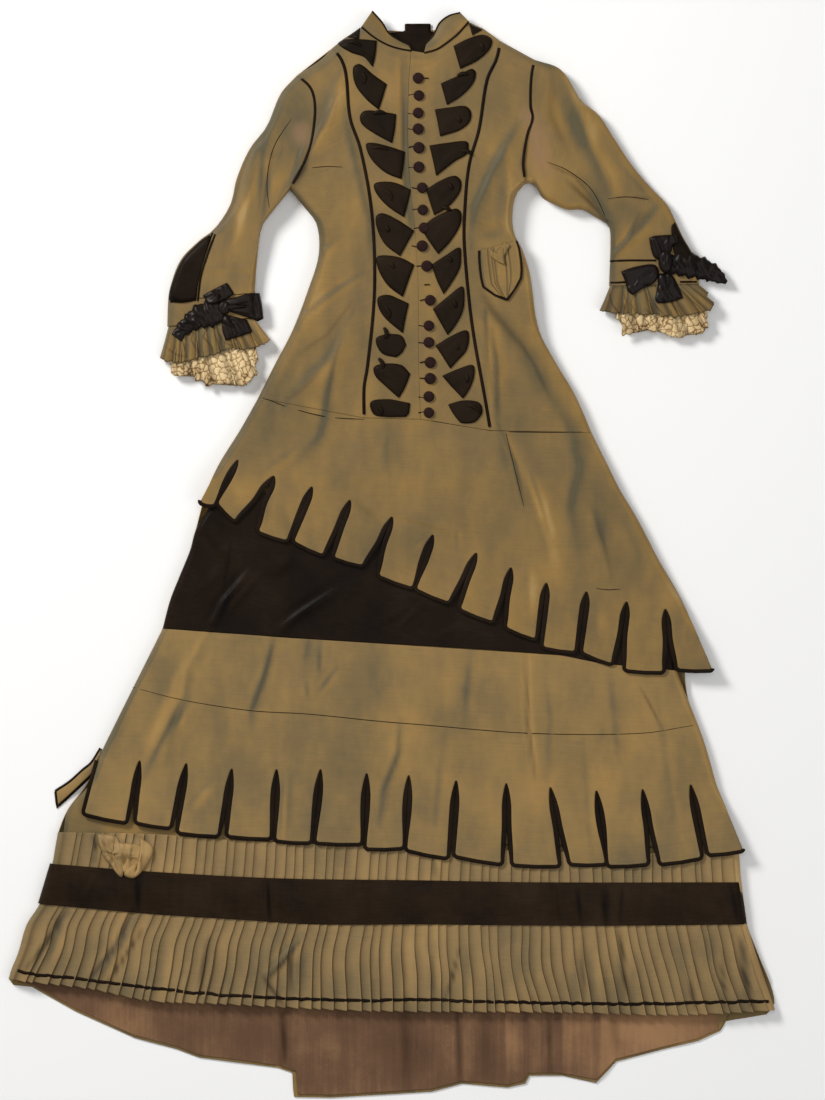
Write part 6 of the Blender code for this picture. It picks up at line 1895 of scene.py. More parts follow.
    def bow(self, under: Sequence[str]) -> None:
        """Make the bow, with flat folded loops and tails and a tight knot."""
        weave = Weave()
        x, y, wide, tall = self.knots[self.side]
        knot = np.array((x, y), dtype=float)
        for number, (corners, row) in enumerate(self.bows[self.side]):
            outline = crisp_outline(row, corners, 2.2)
            middle = outline.mean(axis=0)
            out = (middle - knot) / np.linalg.norm(middle - knot)
            across = np.array((-out[1], out[0]))
            far = knot + out * 44
            creases = [(2.6, 1.7 * s, 0.6, *(knot + across * a * 3), *(knot + out * 20 + across * a * 7),
                        *(far + across * a * 12)) for a, s in ((-1.0, 1.0), (-0.1, -0.9), (0.8, 1.0))]
            add_domed(weave, outline, (*under, f"cuff_ribbon_{self.side.value}"), 2.4, 10, creases,
                      SEAT + TRIM_WALL + 1.0 * number, 6.0)
        turns = np.linspace(0, 2 * math.pi, 29)[:-1]
        ring = knot + np.stack((wide * np.cos(turns), tall * np.sin(turns)), axis=1)
        folds = [(2.0, 1.3, 0.6, x + a, y + tall * 0.9, x + a * 0.4, y, x + a, y - tall * 0.9)
                 for a in (-wide * 0.45, wide * 0.4)]
        add_domed(weave, ring, under, 3.4, 8, folds, SEAT + TRIM_WALL + 4.6, 3.4)
        self.maker.cloth(f"bow_{self.side.value}", weave, "bow_satin", Cloth.SATIN, (150.0, 56.0), "folded",
                         under, wall=TRIM_WALL)

    def build(self) -> None:
        """Make the cuff's pieces."""
        self.frills()
        side = self.side.value
        under = (f"sleeve_upper_{side}", f"ruffle_{side}", f"cuff_panel_{side}")
        self.ruched(under)
        self.bow(under)


@dataclass
class FrontTrims:
    """Collars, pipings, satin flaps with their loops, and the hip pocket."""

    maker: Maker
    collars: dict[Side, Rows] = field(default_factory=lambda: {
        Side.LEFT: ((-45, 790, -29, 814), (-27, 775, -14, 797), (-6, 763, -4, 781), (13, 757, 10, 771),
                    (30, 754, 26, 763)),
        Side.RIGHT: ((116, 798, 103, 812), (100, 780, 86, 807), (83, 766, 72, 796), (67, 756, 63, 778),
                     (49, 751, 52, 765)),
    })
    collar_drop: float = 6.0
    bow_parts: Rows = ((147, 457, 163, 447, 161, 437, 148, 447), (158, 450, 170, 468, 177, 463, 167, 445),
                       (156, 450, 167, 450, 169, 434, 160, 438))
    shoulders: dict[Side, Sequence[float]] = field(default_factory=lambda: {
        Side.LEFT: (-47, 789, -66, 775, -49, 771),
        Side.RIGHT: (116, 795, 136, 786, 121, 777),
    })

    def collar(self, side: Side) -> None:
        """A stand collar that lies open, with dark piping on its edge and seam."""
        rows = np.array(self.collars[side], dtype=float)
        seam, edge = Line(rows[:, :2]), Line(rows[:, 2:])
        t, s = np.meshgrid(even(40), even(9))
        place = across_lines(seam, edge, t, s)
        under = f"centre_front_{side.value}"
        base = softened(relief.heights(seam.at_fraction(even(40)) - (0, 4), (under,)), 5)
        z = base[None] + 0.2 - self.collar_drop * s ** 2 + 0.7 * np.sin(math.pi * s)
        weave = Weave()
        weave.add_grid(raised(place, z), flip=side is Side.LEFT)
        weave.face_up()
        name = f"collar_{side.value}"
        self.maker.cloth(name, weave, "silk", Cloth.SILK, (seam.length * 1.05, 26.0), "laid", (under,))
        piping = Weave()
        for line, lift in ((seam, 0.2), (edge, -0.2)):
            path = resampled(line.points, 2.0, False)
            swept(piping, laid_path(path, (name, under), lift), 2.8, 1.5, 1.0)
        self.maker.solid(f"{name}_piping", piping, "satin", Cloth.SATIN)

    def neck(self) -> None:
        """Dark lining in the neck, with its tab."""
        places = np.array(((-4, 733), (67, 733), (67, 783), (59, 786), (59, 797), (20, 797), (20, 786),
                           (-4, 783)), dtype=float)
        outline = closed_outline(places, 3.0, False)
        weave = Weave()
        middle = outline.mean(axis=0)
        rings = np.array([outline * (1 - s) + middle * s for s in (0.0, 0.2, 0.4, 0.6, 0.8, 0.95)])
        z = 2.1 + 0.5 * value_noise(rings[..., 0], rings[..., 1], 14, 3)
        weave.add_grid(raised(rings, z), wrap=True)
        weave.face_up()
        last = 5 * len(outline) + np.arange(len(outline))
        fan = np.stack((last[:-2], last[1:-1], np.full(len(last) - 2, last[-1]),
                        np.full(len(last) - 2, last[-1])), axis=1)
        weave.cells.append(fan)
        self.maker.cloth("neck_lining", weave, "satin", Cloth.SATIN, (72.0, 66.0), "laid",
                         ("bodice_back",), wall=TRIM_WALL)

    def pipings(self) -> None:
        """Dark piping down the princess seams and round the armholes."""
        fronts = {Side.LEFT: ("side_front_left", "centre_front_left"),
                  Side.RIGHT: ("side_front_right", "centre_front_right")}
        for side, princess, armhole in ((Side.LEFT, PRINCESS_LEFT, ARMHOLE_LEFT),
                                        (Side.RIGHT, PRINCESS_RIGHT, ARMHOLE_RIGHT)):
            points = Line(princess).at_fraction(0.02 + 0.97 * even(220))
            weave = Weave()
            swept(weave, laid_path(points, fronts[side], 0.05), 4.8, 1.7, 1.0)
            name = f"princess_piping_{side.value}"
            self.maker.solid(f"{name}_cord", weave, "satin", Cloth.SATIN, (name,))
            points = Line(armhole).at_fraction(0.05 + 0.9 * even(90))
            weave = Weave()
            sleeve = (f"sleeve_upper_{side.value}", fronts[side][0])
            swept(weave, laid_path(points, sleeve, 0.0), 4.0, 1.6, 1.2)
            name = f"armhole_piping_{side.value}"
            self.maker.solid(f"{name}_cord", weave, "satin", Cloth.SATIN, (name,))

    def flaps(self) -> None:
        """Satin leaves beside the front edge, each with a rolled loop."""
        leaves = ((Side.LEFT, FLAPS_LEFT, LOOPS_LEFT), (Side.RIGHT, FLAPS_RIGHT, LOOPS_RIGHT))
        for side, rows, loops in leaves:
            under = (f"side_front_{side.value}", f"centre_front_{side.value}")
            weave = Weave()
            for number, row in enumerate(rows):
                outline = crisp_outline(row, (3, 5) if side is Side.LEFT else (0, 6))
                low, high = outline.min(axis=0), outline.max(axis=0)
                span = high - low
                lean = 1.0 if side is Side.LEFT else -1.0
                middle = (low + high) / 2
                a = middle + np.array((-0.36 * lean, 0.30)) * span
                b = middle + np.array((0.05 * lean, 0.02)) * span
                c = middle + np.array((0.30 * lean, -0.36)) * span
                turn = math.sin(number * 2.3 + (0 if side is Side.LEFT else 1.7))
                creases = ((7, 0.8, 0.6 * turn, *a, *b, *c),)
                add_domed(weave, outline, under, 1.5 + 0.4 * turn, 8, creases, SEAT + TRIM_WALL, 9.0)
            add_domed(weave, crisp_outline(self.shoulders[side], (0, 1, 2)), under, 0.6, 5, (),
                      SEAT + TRIM_WALL - 0.3, 9.0)
            for loop in loops:
                self.loop(weave, np.array(loop, dtype=float).reshape(2, 2), under)
            self.maker.cloth(f"flaps_{side.value}", weave, "flap_satin", Cloth.SATIN, (76.0, 560.0), "folded",
                             under, wall=0.55)

    def loop(self, weave: Weave, ends: np.ndarray, under: Sequence[str]) -> None:
        """A short rolled loop of satin from one place to another."""
        t = even(9)[:, None]
        across = np.array((-(ends[1] - ends[0])[1], (ends[1] - ends[0])[0])) * 0.16
        places = ends[0] * (1 - t) + ends[1] * t + across * np.sin(math.pi * t)
        base = relief.heights(places, under) + 2.2
        path = np.column_stack((places, base + 1.6 * np.sin(math.pi * t[:, 0])))
        turns = np.linspace(0, 2 * math.pi, 9)[:-1]
        runs = np.gradient(path, axis=0)
        runs /= np.linalg.norm(runs, axis=1, keepdims=True)
        sides = np.cross((0.0, 0.0, 1.0), runs)
        sides /= np.linalg.norm(sides, axis=1, keepdims=True)
        ups = np.cross(runs, sides)
        size = 1.9 + 1.3 * np.sin(math.pi * t[:, 0]) ** 0.6
        grid = np.array([[path[k] + size[k] * (math.cos(a) * sides[k] + 0.8 * math.sin(a) * ups[k])
                          for a in turns] for k in range(len(path))])
        weave.add_grid(grid, wrap=True, flip=True)

    def pocket(self) -> None:
        """Pleated pocket on the right hip, its dark edge and its small bow."""
        rows = np.array(((131, 455, 187, 470), (131, 445, 191, 459), (132, 430, 194, 441),
                         (134, 415, 195, 427), (137, 401, 194, 414), (154, 389, 186, 400),
                         (171, 382, 174, 382)), float)
        left, right = Line(rows[:, :2], False), Line(rows[:, 2:], False)
        s, t = np.meshgrid(even(60), even(30))
        place = across_lines(left, right, t, s)
        under = ("side_front_right",)
        base = relief.heights(place.reshape(-1, 2), under).reshape(s.shape)
        tucks = (0.22, 0.31, 0.37, 0.62, 0.72)
        pleat = 1 - sum(np.exp(-((s - tuck) / 0.016) ** 2) for tuck in tucks)
        edge = np.clip(np.minimum(s, 1 - s) * 14, 0, 1) * np.clip((1 - t) * 8, 0, 1)
        z = base + SEAT + SILK_WALL + (1.2 * pleat + 1.6 * np.sin(math.pi * t) ** 0.7) * edge
        weave = Weave()
        weave.add_grid(raised(place, z))
        # Painted shade in the pocket's tucks
        groove = (0.75 * (1 - pleat)).ravel()
        self.maker.cloth("pocket", weave, "silk", Cloth.SILK, (110.0, 86.0), "gathered", under, fold_shade=groove)
        piping = Weave()
        around = np.vstack((left.at_fraction(even(30)), right.at_fraction(even(30))[::-1]))
        path = inset_path(resampled(around, 2.0, False), 0.5)
        swept(piping, laid_path(path, ("pocket", "side_front_right"), 0.1), 4.2, 1.5, 1.0)
        self.maker.solid("pocket_piping", piping, "satin", Cloth.SATIN)
        weave = Weave()
        for number, row in enumerate(self.bow_parts):
            outline = crisp_outline(row, (0, 1, 2, 3), 1.4)
            middle = outline.mean(axis=0)
            creases = [(0.9, -0.8, 0.0, *(middle + (a, 5)), *(middle + (a + 1, -5))) for a in (-3, 0, 3)]
            add_domed(weave, outline, ("pocket",), 1.6, 8, creases, SEAT + TRIM_WALL + 0.7 * number, 5.0)
        self.maker.cloth("pocket_bow", weave, "silk", Cloth.SATIN, (44.0, 18.0), "folded", ("pocket",),
                         wall=0.6)

    def seams(self) -> None:
        """Dark strips along the seams of the bodice and tier that no piping covers, as painted shade of the
        seams.
        """
        weave = Weave()
        lines = ((("side_front_left",), (-119, 579, -96, 581, -73, 580)),
                 (("side_front_left", "centre_front_left"), (-193, 236, -157, 222, -98, 207, -41, 203)),
                 (("side_front_right", "centre_front_right"), (60, 201, 148, 186, 209, 184, 285, 184)),
                 (("tier",), (-388, -198, -313, -217, -211, -233, -127, -238, -18, -249, 43, -254, 208, -267,
                              373, -267, 452, -255)),
                 (("apron",), (171, 183, 184, 130, 198, 73)),
                 (("apron",), (306, -50, 324, -52, 343, -51)))
        for under, row in lines:
            path = resampled(pairs(row), 3.0)
            swept(weave, laid_path(path, under, 0.05), 1.2, 0.35, 0.6, taper=0.5)
        self.maker.solid("seam_lines", weave, "satin", Cloth.SATIN)

    def build(self) -> None:
        """Make the trims of the front."""
        self.neck()
        for side in Side:
            self.collar(side)
        self.pipings()
        self.flaps()
        self.pocket()
        self.seams()


def add_node(tree: bpy.types.NodeTree, kind: str, settings: dict[str, object] | None = None,
             inputs: dict[object, object] | None = None) -> bpy.types.Node:
    """Add a node to a tree.

    Args:
        tree: The tree, of a material or of Geometry Nodes.
        kind: Type of the node.
        settings: Its settings, where "stops" are a colour ramp's.
        inputs: Values or links of its sockets, by name or number.

    Returns:
        The node.
    """
    node = tree.nodes.new(kind)
    for name, setting in (settings or {}).items():
        if name == "stops":
            stops = node.color_ramp.elements
            while len(stops) < len(setting):
                stops.new(0.5)
            for stop, (place, colour) in zip(stops, setting):
                stop.position = place
                stop.color = (*colour, 1.0)
        else:
            setattr(node, name, setting)
    for name, value in (inputs or {}).items():
        feed(tree, node.inputs[name], value)
    return node


def feed(tree: bpy.types.NodeTree, socket: bpy.types.NodeSocket, value: object) -> None:
    """Give a socket a value, or link what makes it."""
    value = getattr(value, "socket", value)
    if isinstance(value, bpy.types.NodeSocket):
        tree.links.new(value, socket)
    else:
        socket.default_value = value


class Value:
    """A number in a material, which adds maths nodes as it is worked with."""

    def __init__(self, nodes: "Nodes", socket: bpy.types.NodeSocket) -> None:
        """Keep the socket that gives the number."""
        self.nodes, self.socket = nodes, socket

    def maths(self, operation: str, *others: object) -> "Value":
        """The result of a maths node on this number and others."""
        inputs = {k: getattr(value, "socket", value) for k, value in enumerate((self, *others))}
        made = self.nodes.add("ShaderNodeMath", {"operation": operation}, inputs)
        return Value(self.nodes, made.outputs[0])

    def __add__(self, other: object) -> "Value":
        """Sum."""
        return self.maths("ADD", other)

    __radd__ = __add__

    def __mul__(self, other: object) -> "Value":
        """Product."""
        return self.maths("MULTIPLY", other)

    __rmul__ = __mul__

    def __sub__(self, other: object) -> "Value":
        """Difference."""
        return self.maths("SUBTRACT", other)

    def __rsub__(self, other: object) -> "Value":
        """Difference from a number."""
        return self.maths("MULTIPLY", -1.0).maths("ADD", other)

    def between(self, low: float, high: float, to_low: float = 0.0, to_high: float = 1.0) -> "Value":
        """This number's place between two others, held in range."""
        made = self.nodes.add("ShaderNodeMapRange", {"clamp": True}, {
            "Value": self.socket, "From Min": low, "From Max": high, "To Min": to_low, "To Max": to_high})
        return Value(self.nodes, made.outputs["Result"])


class Nodes:
    """Adds nodes to one material."""

    def __init__(self, name: str) -> None:
        """Start a material with only its shader and output."""
        self.material = bpy.data.materials.new(name)
        self.material.use_nodes = True
        self.tree = self.material.node_tree
        self.shader = self.tree.nodes["Principled BSDF"]

    def add(self, kind: str, settings: dict[str, object], inputs: dict[object, object]) -> bpy.types.Node:
        """Add a node to the material."""
        return add_node(self.tree, kind, settings, inputs)

    def places(self, scale: tuple[float, float, float] = (1, 1, 1)) -> bpy.types.NodeSocket:
        """Places on the object, stretched."""
        source = self.add("ShaderNodeTexCoord", {}, {})
        made = self.add("ShaderNodeMapping", {}, {"Vector": source.outputs["Object"], "Scale": scale})
        return made.outputs["Vector"]

    def threads(self, scale: tuple[float, float, float] = (1, 1, 1)) -> bpy.types.NodeSocket:
        """Places along the cloth's threads, stretched."""
        source = self.add("ShaderNodeTexCoord", {}, {})
        made = self.add("ShaderNodeMapping", {}, {"Vector": source.outputs["UV"], "Scale": scale})
        return made.outputs["Vector"]

    def noise(self, where: bpy.types.NodeSocket, scale: float, detail: float = 2.0,
              rough: float = 0.5) -> Value:
        """Noise from 0 to 1."""
        made = self.add("ShaderNodeTexNoise", {}, {"Vector": where, "Scale": scale, "Detail": detail,
                                                   "Roughness": rough})
        return Value(self, made.outputs["Fac"])

    def waves(self, where: bpy.types.NodeSocket, scale: float, across: str = "X") -> Value:
        """Even bands from 0 to 1."""
        made = self.add("ShaderNodeTexWave", {"wave_type": "BANDS", "bands_direction": across},
                        {"Vector": where, "Scale": scale, "Distortion": 0.4, "Detail": 1.0})
        return Value(self, made.outputs["Fac"])

    def mark(self, name: str) -> Value:
        """A value that is kept at each point of the cloth."""
        made = self.add("ShaderNodeAttribute", {"attribute_name": name}, {})
        return Value(self, made.outputs["Fac"])

    def ramp(self, value: Value, stops: Sequence[tuple[float, Sequence[float]]]) -> bpy.types.NodeSocket:
        """Colour from a ramp."""
        made = self.add("ShaderNodeValToRGB", {"stops": stops}, {"Fac": value})
        return made.outputs["Color"]

    def mixed(self, share: Value | float, first: object, second: object) -> bpy.types.NodeSocket:
        """Mix of two colours."""
        made = self.add("ShaderNodeMix", {"data_type": "RGBA", "blend_type": "MIX"},
                        {0: share, 6: first, 7: second})
        return made.outputs[2]

    def finish(self, colour: object, roughness: object, height: Value | None, depth: float,
               constants: dict[str, object]) -> bpy.types.Material:
        """Feed the shader.

        Args:
            colour: Base colour.
            roughness: Roughness.
            height: Height of the bump.
            depth: Distance of the bump, in metres.
            constants: Values that are the same all over.

        Returns:
            The material.
        """
        for name, value in (("Base Color", colour), ("Roughness", roughness)):
            feed(self.tree, self.shader.inputs[name], value)
        if height is not None:
            bump = self.add("ShaderNodeBump", {}, {"Height": height, "Distance": depth, "Strength": 1.0})
            self.tree.links.new(bump.outputs["Normal"], self.shader.inputs["Normal"])
        for name, value in constants.items():
            self.shader.inputs[name].default_value = value
        return self.material


Colour = tuple[float, float, float]


@dataclass(frozen=True)
class Silk:
    """Changeant taffeta, with painted grey shade where it turns away, painted amber sheen and highlight where
    it catches the light, and painted dark shade in its folds.
    """

    name: str
    # grey is painted shade, amber and bright are painted sheen, and dark is painted shade in the folds
    grey: Colour = (0.098, 0.080, 0.042)
    base: Colour = (0.202, 0.132, 0.050)
    amber: Colour = (0.295, 0.178, 0.054)
    bright: Colour = (0.430, 0.285, 0.118)
    stained: Colour = (0.270, 0.160, 0.085)
    dark: Colour = (0.028, 0.019, 0.010)
    roughness: float = 0.5
    worn: float = 0.16

    def make(self) -> bpy.types.Material:
        """The material."""
        n = Nodes(self.name)
        broad = n.noise(n.places(), 7.0, 3.0)
        cloud = n.noise(n.places((1.0, 0.45, 1.0)), 26.0, 4.0, 0.6)
        slub = n.noise(n.threads((1.0, 42.0, 1.0)), 14.0, 3.0, 0.65)
        fine = n.noise(n.threads((9.0, 260.0, 1.0)), 6.0, 2.0)
        warp = n.noise(n.threads((230.0, 9.0, 1.0)), 5.0, 2.0)
        # Painted shade and sheen: the ramp goes from grey to amber and bright by the mark of which way the
        # cloth turns and its sheen streaks, over tone that differs at random
        turn = (n.mark("tint") * 0.23 + 0.42 + (broad - 0.5) * 0.80 + (cloud - 0.5) * 0.55
                + (slub - 0.5) * 0.24 + (fine - 0.5) * 0.18)
        colour = n.ramp(turn, ((0.08, self.grey), (0.42, self.base), (0.66, self.amber), (0.95, self.bright)))
        blotch = n.noise(n.places(), 17.0, 4.0, 0.65).between(0.56, 0.74) * self.worn
        colour = n.mixed(blotch, colour, (*self.stained, 1.0))
        colour = n.mixed(n.mark("stain").between(0.15, 0.9, 0.0, 0.62), colour, (*self.stained, 1.0))
        # Painted shade in the folds, darkest in pleat grooves and sharp creases
        colour = n.mixed(n.mark("dark").between(0.0, 1.0, 0.0, 0.82), colour, (*self.dark, 1.0))
        weave = (fine + warp) * 0.5
        height = weave * 0.45 + slub * 0.35 + cloud * 0.2
        rough = self.roughness + (cloud - 0.5) * 0.22 + (fine - 0.5) * 0.12
        return n.finish(colour, rough, height, 0.00028, {
            "Specular IOR Level": 0.13})


@dataclass(frozen=True)
class Satin:
    """Dark satin, brown where it is worn, with painted blue-black shade in the folds."""

    name: str
    deep: Colour = (0.0034, 0.0026, 0.0026)
    brown: Colour = (0.0120, 0.0068, 0.0036)
    pale: Colour = (0.0270, 0.0175, 0.0100)
    roughness: float = 0.40
    pale_from: float = 0.62
    gloss: float = 0.045

    def make(self) -> bpy.types.Material:
        """The material."""
        n = Nodes(self.name)
        broad = n.noise(n.places(), 11.0, 4.0, 0.6)
        drag = n.noise(n.threads((4.0, 60.0, 1.0)), 8.0, 3.0, 0.6)
        fine = n.noise(n.threads((30.0, 420.0, 1.0)), 4.0, 2.0)
        turn = broad * 0.6 + drag * 0.28 + fine * 0.12
        colour = n.ramp(turn, ((0.30, self.deep), (0.52, self.brown), (self.pale_from + 0.2, self.pale)))
        # Painted blue-black shade in the folds
        colour = n.mixed(n.mark("dark").between(0.0, 1.0, 0.0, 0.9), colour, (0.0012, 0.0011, 0.0014, 1.0))
        rough = self.roughness + (drag - 0.5) * 0.25 + (broad - 0.5) * 0.2
        return n.finish(colour, rough, drag * 0.5 + fine * 0.5, 0.00022, {
            "Specular IOR Level": self.gloss})


@dataclass(frozen=True)
class Lining:
    """Plain brown lining, napped up and down and unevenly lighter and darker, with painted shade and sheen by
    which way it turns and painted shade in its folds.
    """

    name: str
    deep: Colour = (0.098, 0.052, 0.030)
    base: Colour = (0.152, 0.083, 0.047)
    lightest: Colour = (0.335, 0.185, 0.090)

    def make(self) -> bpy.types.Material:
        """The material."""
        n = Nodes(self.name)
        broad = n.noise(n.places(), 8.0, 4.0, 0.6)
        nap = n.noise(n.places((34.0, 1.4, 1.0)), 5.0, 4.0, 0.7)
        fine = n.noise(n.places((420.0, 60.0, 1.0)), 4.0, 2.0)
        # The mark adds painted shade and sheen by which way the lining turns, and its lighter and darker
        # streaks
        turn = broad * 0.58 + nap * 0.22 + fine * 0.20 + n.mark("tint") * 0.08
        colour = n.ramp(turn, ((0.32, self.deep), (0.5, self.base), (0.74, self.lightest)))
        # Painted shade in the folds
        colour = n.mixed(n.mark("dark").between(0.0, 1.0, 0.0, 0.8), colour, (0.030, 0.016, 0.009, 1.0))
        return n.finish(colour, 0.78 + (nap - 0.5) * 0.2, nap * 0.5 + fine * 0.5, 0.0003, {
            "Specular IOR Level": 0.05})


@dataclass(frozen=True)
class Lace:
    """Cream lace of packed petals, aged to tan, with small gaps between them and painted shade in its folds.
    """

    name: str
    gap: Colour = (0.050, 0.028, 0.012)
    thread: Colour = (0.420, 0.262, 0.110)
    light: Colour = (0.780, 0.590, 0.320)

    def make(self) -> bpy.types.Material:
        """The material."""
        n = Nodes(self.name)
        bend = n.add("ShaderNodeTexNoise", {}, {"Vector": n.places(), "Scale": 90.0, "Detail": 2.0})
        bent = n.add("ShaderNodeVectorMath", {"operation": "MULTIPLY_ADD"}, {
            0: bend.outputs["Color"], 1: (0.012, 0.012, 0.0), 2: n.places((1.0, 0.8, 1.0))})
        petal = n.add("ShaderNodeTexVoronoi", {"feature": "DISTANCE_TO_EDGE"}, {
            "Vector": bent.outputs["Vector"], "Scale": 120.0, "Randomness": 0.9})
        edge = Value(n, petal.outputs["Distance"])
        net = n.add("ShaderNodeTexVoronoi", {"feature": "DISTANCE_TO_EDGE"}, {
            "Vector": n.places(), "Scale": 620.0, "Randomness": 0.6})
        mesh = Value(n, net.outputs["Distance"])
        broad = n.noise(n.places(), 22.0, 3.0)
        dome = edge.between(0.02, 0.30)
        solid = edge.between(0.0, 0.09)
        thread = mesh.between(0.14, 0.02)
        turn = solid * 0.50 + dome * 0.22 + thread * 0.12 + (broad - 0.5) * 0.9 + 0.06
        colour = n.ramp(turn, ((0.05, self.gap), (0.40, self.thread), (0.85, self.light)))
        # Painted shade in the folds of the lace, in its grooves and at its edge
        colour = n.mixed(n.mark("dark").between(0.1, 1.0, 0.0, 0.7), colour, (*self.gap, 1.0))
        made = n.finish(colour, 0.82, dome * 0.8 + thread * 0.2, 0.0007, {"Specular IOR Level": 0.15})
        alpha = (solid + thread * 0.5).between(0.05, 0.22, 0.5, 1.0)
        n.tree.links.new(alpha.socket, n.shader.inputs["Alpha"])
        return made


@dataclass(frozen=True)
class Corded:
    """Buttons covered with dark red-brown cloth of a raised check."""

    name: str
    deep: Colour = (0.010, 0.0050, 0.0045)
    red: Colour = (0.046, 0.015, 0.013)

    def make(self) -> bpy.types.Material:
        """The material."""
        n = Nodes(self.name)
        rows = n.waves(n.places(), 430.0, "X")
        columns = n.waves(n.places(), 430.0, "Y")
        worn = n.noise(n.places(), 240.0, 3.0)
        cloth = rows * columns
        colour = n.ramp(cloth * 0.6 + worn * 0.6, ((0.2, self.deep), (0.8, self.red)))
        return n.finish(colour, 0.42 + (worn - 0.5) * 0.3, cloth + worn * 0.4, 0.0004, {
            "Specular IOR Level": 0.12})


@dataclass(frozen=True)
class Paper:
    """Near-white floor."""

    name: str
    shade: Colour = (0.94, 0.94, 0.935)

    def make(self) -> bpy.types.Material:
        """The material."""
        n = Nodes(self.name)
        grain = n.noise(n.places(), 3.0, 2.0)
        colour = n.mixed(grain.between(0.3, 0.7, 0.0, 0.05), (*self.shade, 1.0), (0.92, 0.92, 0.92, 1.0))
        return n.finish(colour, 0.92, None, 0.0, {"Specular IOR Level": 0.15})


class Fasteners:
    """Buttons and worked bars, made by Geometry Nodes on points."""

    def __init__(self, maker: Maker) -> None:
        """Keep the maker."""
        self.maker = maker

    def points(self, name: str, places: np.ndarray, turns: np.ndarray, sizes: np.ndarray) -> bpy.types.Object:
        """Loose points with a turn and a size each."""
        mesh = bpy.data.meshes.new(name)
        mesh.from_pydata(((places + (SHIFT_X, 0, 0)) * MM).tolist(), [], [])
        for mark, values in (("turn", turns), ("size", sizes)):
            attribute = mesh.attributes.new(mark, "FLOAT", "POINT")
            attribute.data.foreach_set("value", values.astype(np.float32))
        thing = bpy.data.objects.new(name, mesh)
        bpy.context.scene.collection.objects.link(thing)
        return thing

    def tree(self, name: str, sizes: dict[str, float], material: bpy.types.Material,
             shape: Callable) -> bpy.types.NodeTree:
        """Tree that sets a shape on each point.

        Args:
            name: Name of the tree.
            sizes: Its sizes, in metres.
            material: Its finish.
            shape: Adds the shape's nodes and gives its mesh.

        Returns:
            The tree.
        """
        tree = bpy.data.node_groups.new(name, "GeometryNodeTree")
        tree.interface.new_socket("Geometry", in_out="INPUT", socket_type="NodeSocketGeometry")
        for size, value in sizes.items():
            socket = tree.interface.new_socket(size, in_out="INPUT", socket_type="NodeSocketFloat")
            socket.default_value = value
        tree.interface.new_socket("Geometry", in_out="OUTPUT", socket_type="NodeSocketGeometry")
        given = add_node(tree, "NodeGroupInput")
        turn = add_node(tree, "GeometryNodeInputNamedAttribute", inputs={"Name": "turn"})
        size = add_node(tree, "GeometryNodeInputNamedAttribute", inputs={"Name": "size"})
        spin = add_node(tree, "ShaderNodeCombineXYZ", inputs={"Z": turn.outputs["Attribute"]})
        on_points = add_node(tree, "GeometryNodeInstanceOnPoints", inputs={
            "Points": given.outputs["Geometry"], "Instance": shape(tree, given),
            "Rotation": spin.outputs["Vector"], "Scale": size.outputs["Attribute"]})
        real = add_node(tree, "GeometryNodeRealizeInstances",
                        inputs={"Geometry": on_points.outputs["Instances"]})
        finish = add_node(tree, "GeometryNodeSetMaterial",
                          inputs={"Geometry": real.outputs["Geometry"], "Material": material})
        add_node(tree, "NodeGroupOutput", inputs={"Geometry": finish.outputs["Geometry"]})
        return tree

    def dome(self, tree: bpy.types.NodeTree, given: bpy.types.Node) -> bpy.types.NodeSocket:
        """A flattened dome with a rim, for a covered button."""
        ball = add_node(tree, "GeometryNodeMeshUVSphere",
                        inputs={"Segments": 28, "Rings": 14, "Radius": given.outputs["Radius"]})
        place = add_node(tree, "GeometryNodeInputPosition")
        parts = add_node(tree, "ShaderNodeSeparateXYZ", inputs={"Vector": place.outputs["Position"]})
        flat = add_node(tree, "ShaderNodeMath", {"operation": "MULTIPLY"},
                        {0: parts.outputs["Z"], 1: given.outputs["Flatness"]})
        joined = add_node(tree, "ShaderNodeCombineXYZ", inputs={
            "X": parts.outputs["X"], "Y": parts.outputs["Y"], "Z": flat.outputs["Value"]})
        moved = add_node(tree, "GeometryNodeSetPosition",
                         inputs={"Geometry": ball.outputs["Mesh"], "Position": joined.outputs["Vector"]})
        smooth = add_node(tree, "GeometryNodeSetShadeSmooth", inputs={"Geometry": moved.outputs["Geometry"]})
        return smooth.outputs["Geometry"]

    def bar(self, tree: bpy.types.NodeTree, given: bpy.types.Node) -> bpy.types.NodeSocket:
        """A worked bar of thread, round and closed at both ends."""
        line = add_node(tree, "GeometryNodeCurvePrimitiveLine", {"mode": "DIRECTION"}, {
            "Start": (0.0, 0.0, 0.0), "Direction": (1.0, 0.0, 0.0), "Length": given.outputs["Length"]})
        ring = add_node(tree, "GeometryNodeCurvePrimitiveCircle",
                        inputs={"Resolution": 8, "Radius": given.outputs["Radius"]})
        tube = add_node(tree, "GeometryNodeCurveToMesh", inputs={
            "Curve": line.outputs["Curve"], "Profile Curve": ring.outputs["Curve"], "Fill Caps": True})
        return tube.outputs["Mesh"]

    def made(self, name: str, tree: bpy.types.NodeTree, source: bpy.types.Object, values: dict[str, float],
             slot: Cloth, nodes: Sequence[str]) -> bpy.types.Object:
        """Plain mesh of a tree's result, tied to the dress."""
        modifier = source.modifiers.new(name, "NODES")
        modifier.node_group = tree
        for item in tree.interface.items_tree:
            if item.in_out == "INPUT" and item.name in values:
                modifier[item.identifier] = values[item.name]
        source.update_tag()
        bpy.context.view_layer.update()
        graph = bpy.context.evaluated_depsgraph_get()
        mesh = bpy.data.meshes.new_from_object(source.evaluated_get(graph))
        source.modifiers.remove(modifier)
        old = source.data
        source.data = mesh
        bpy.data.meshes.remove(old)
        return self.maker.tie(source, slot, nodes)

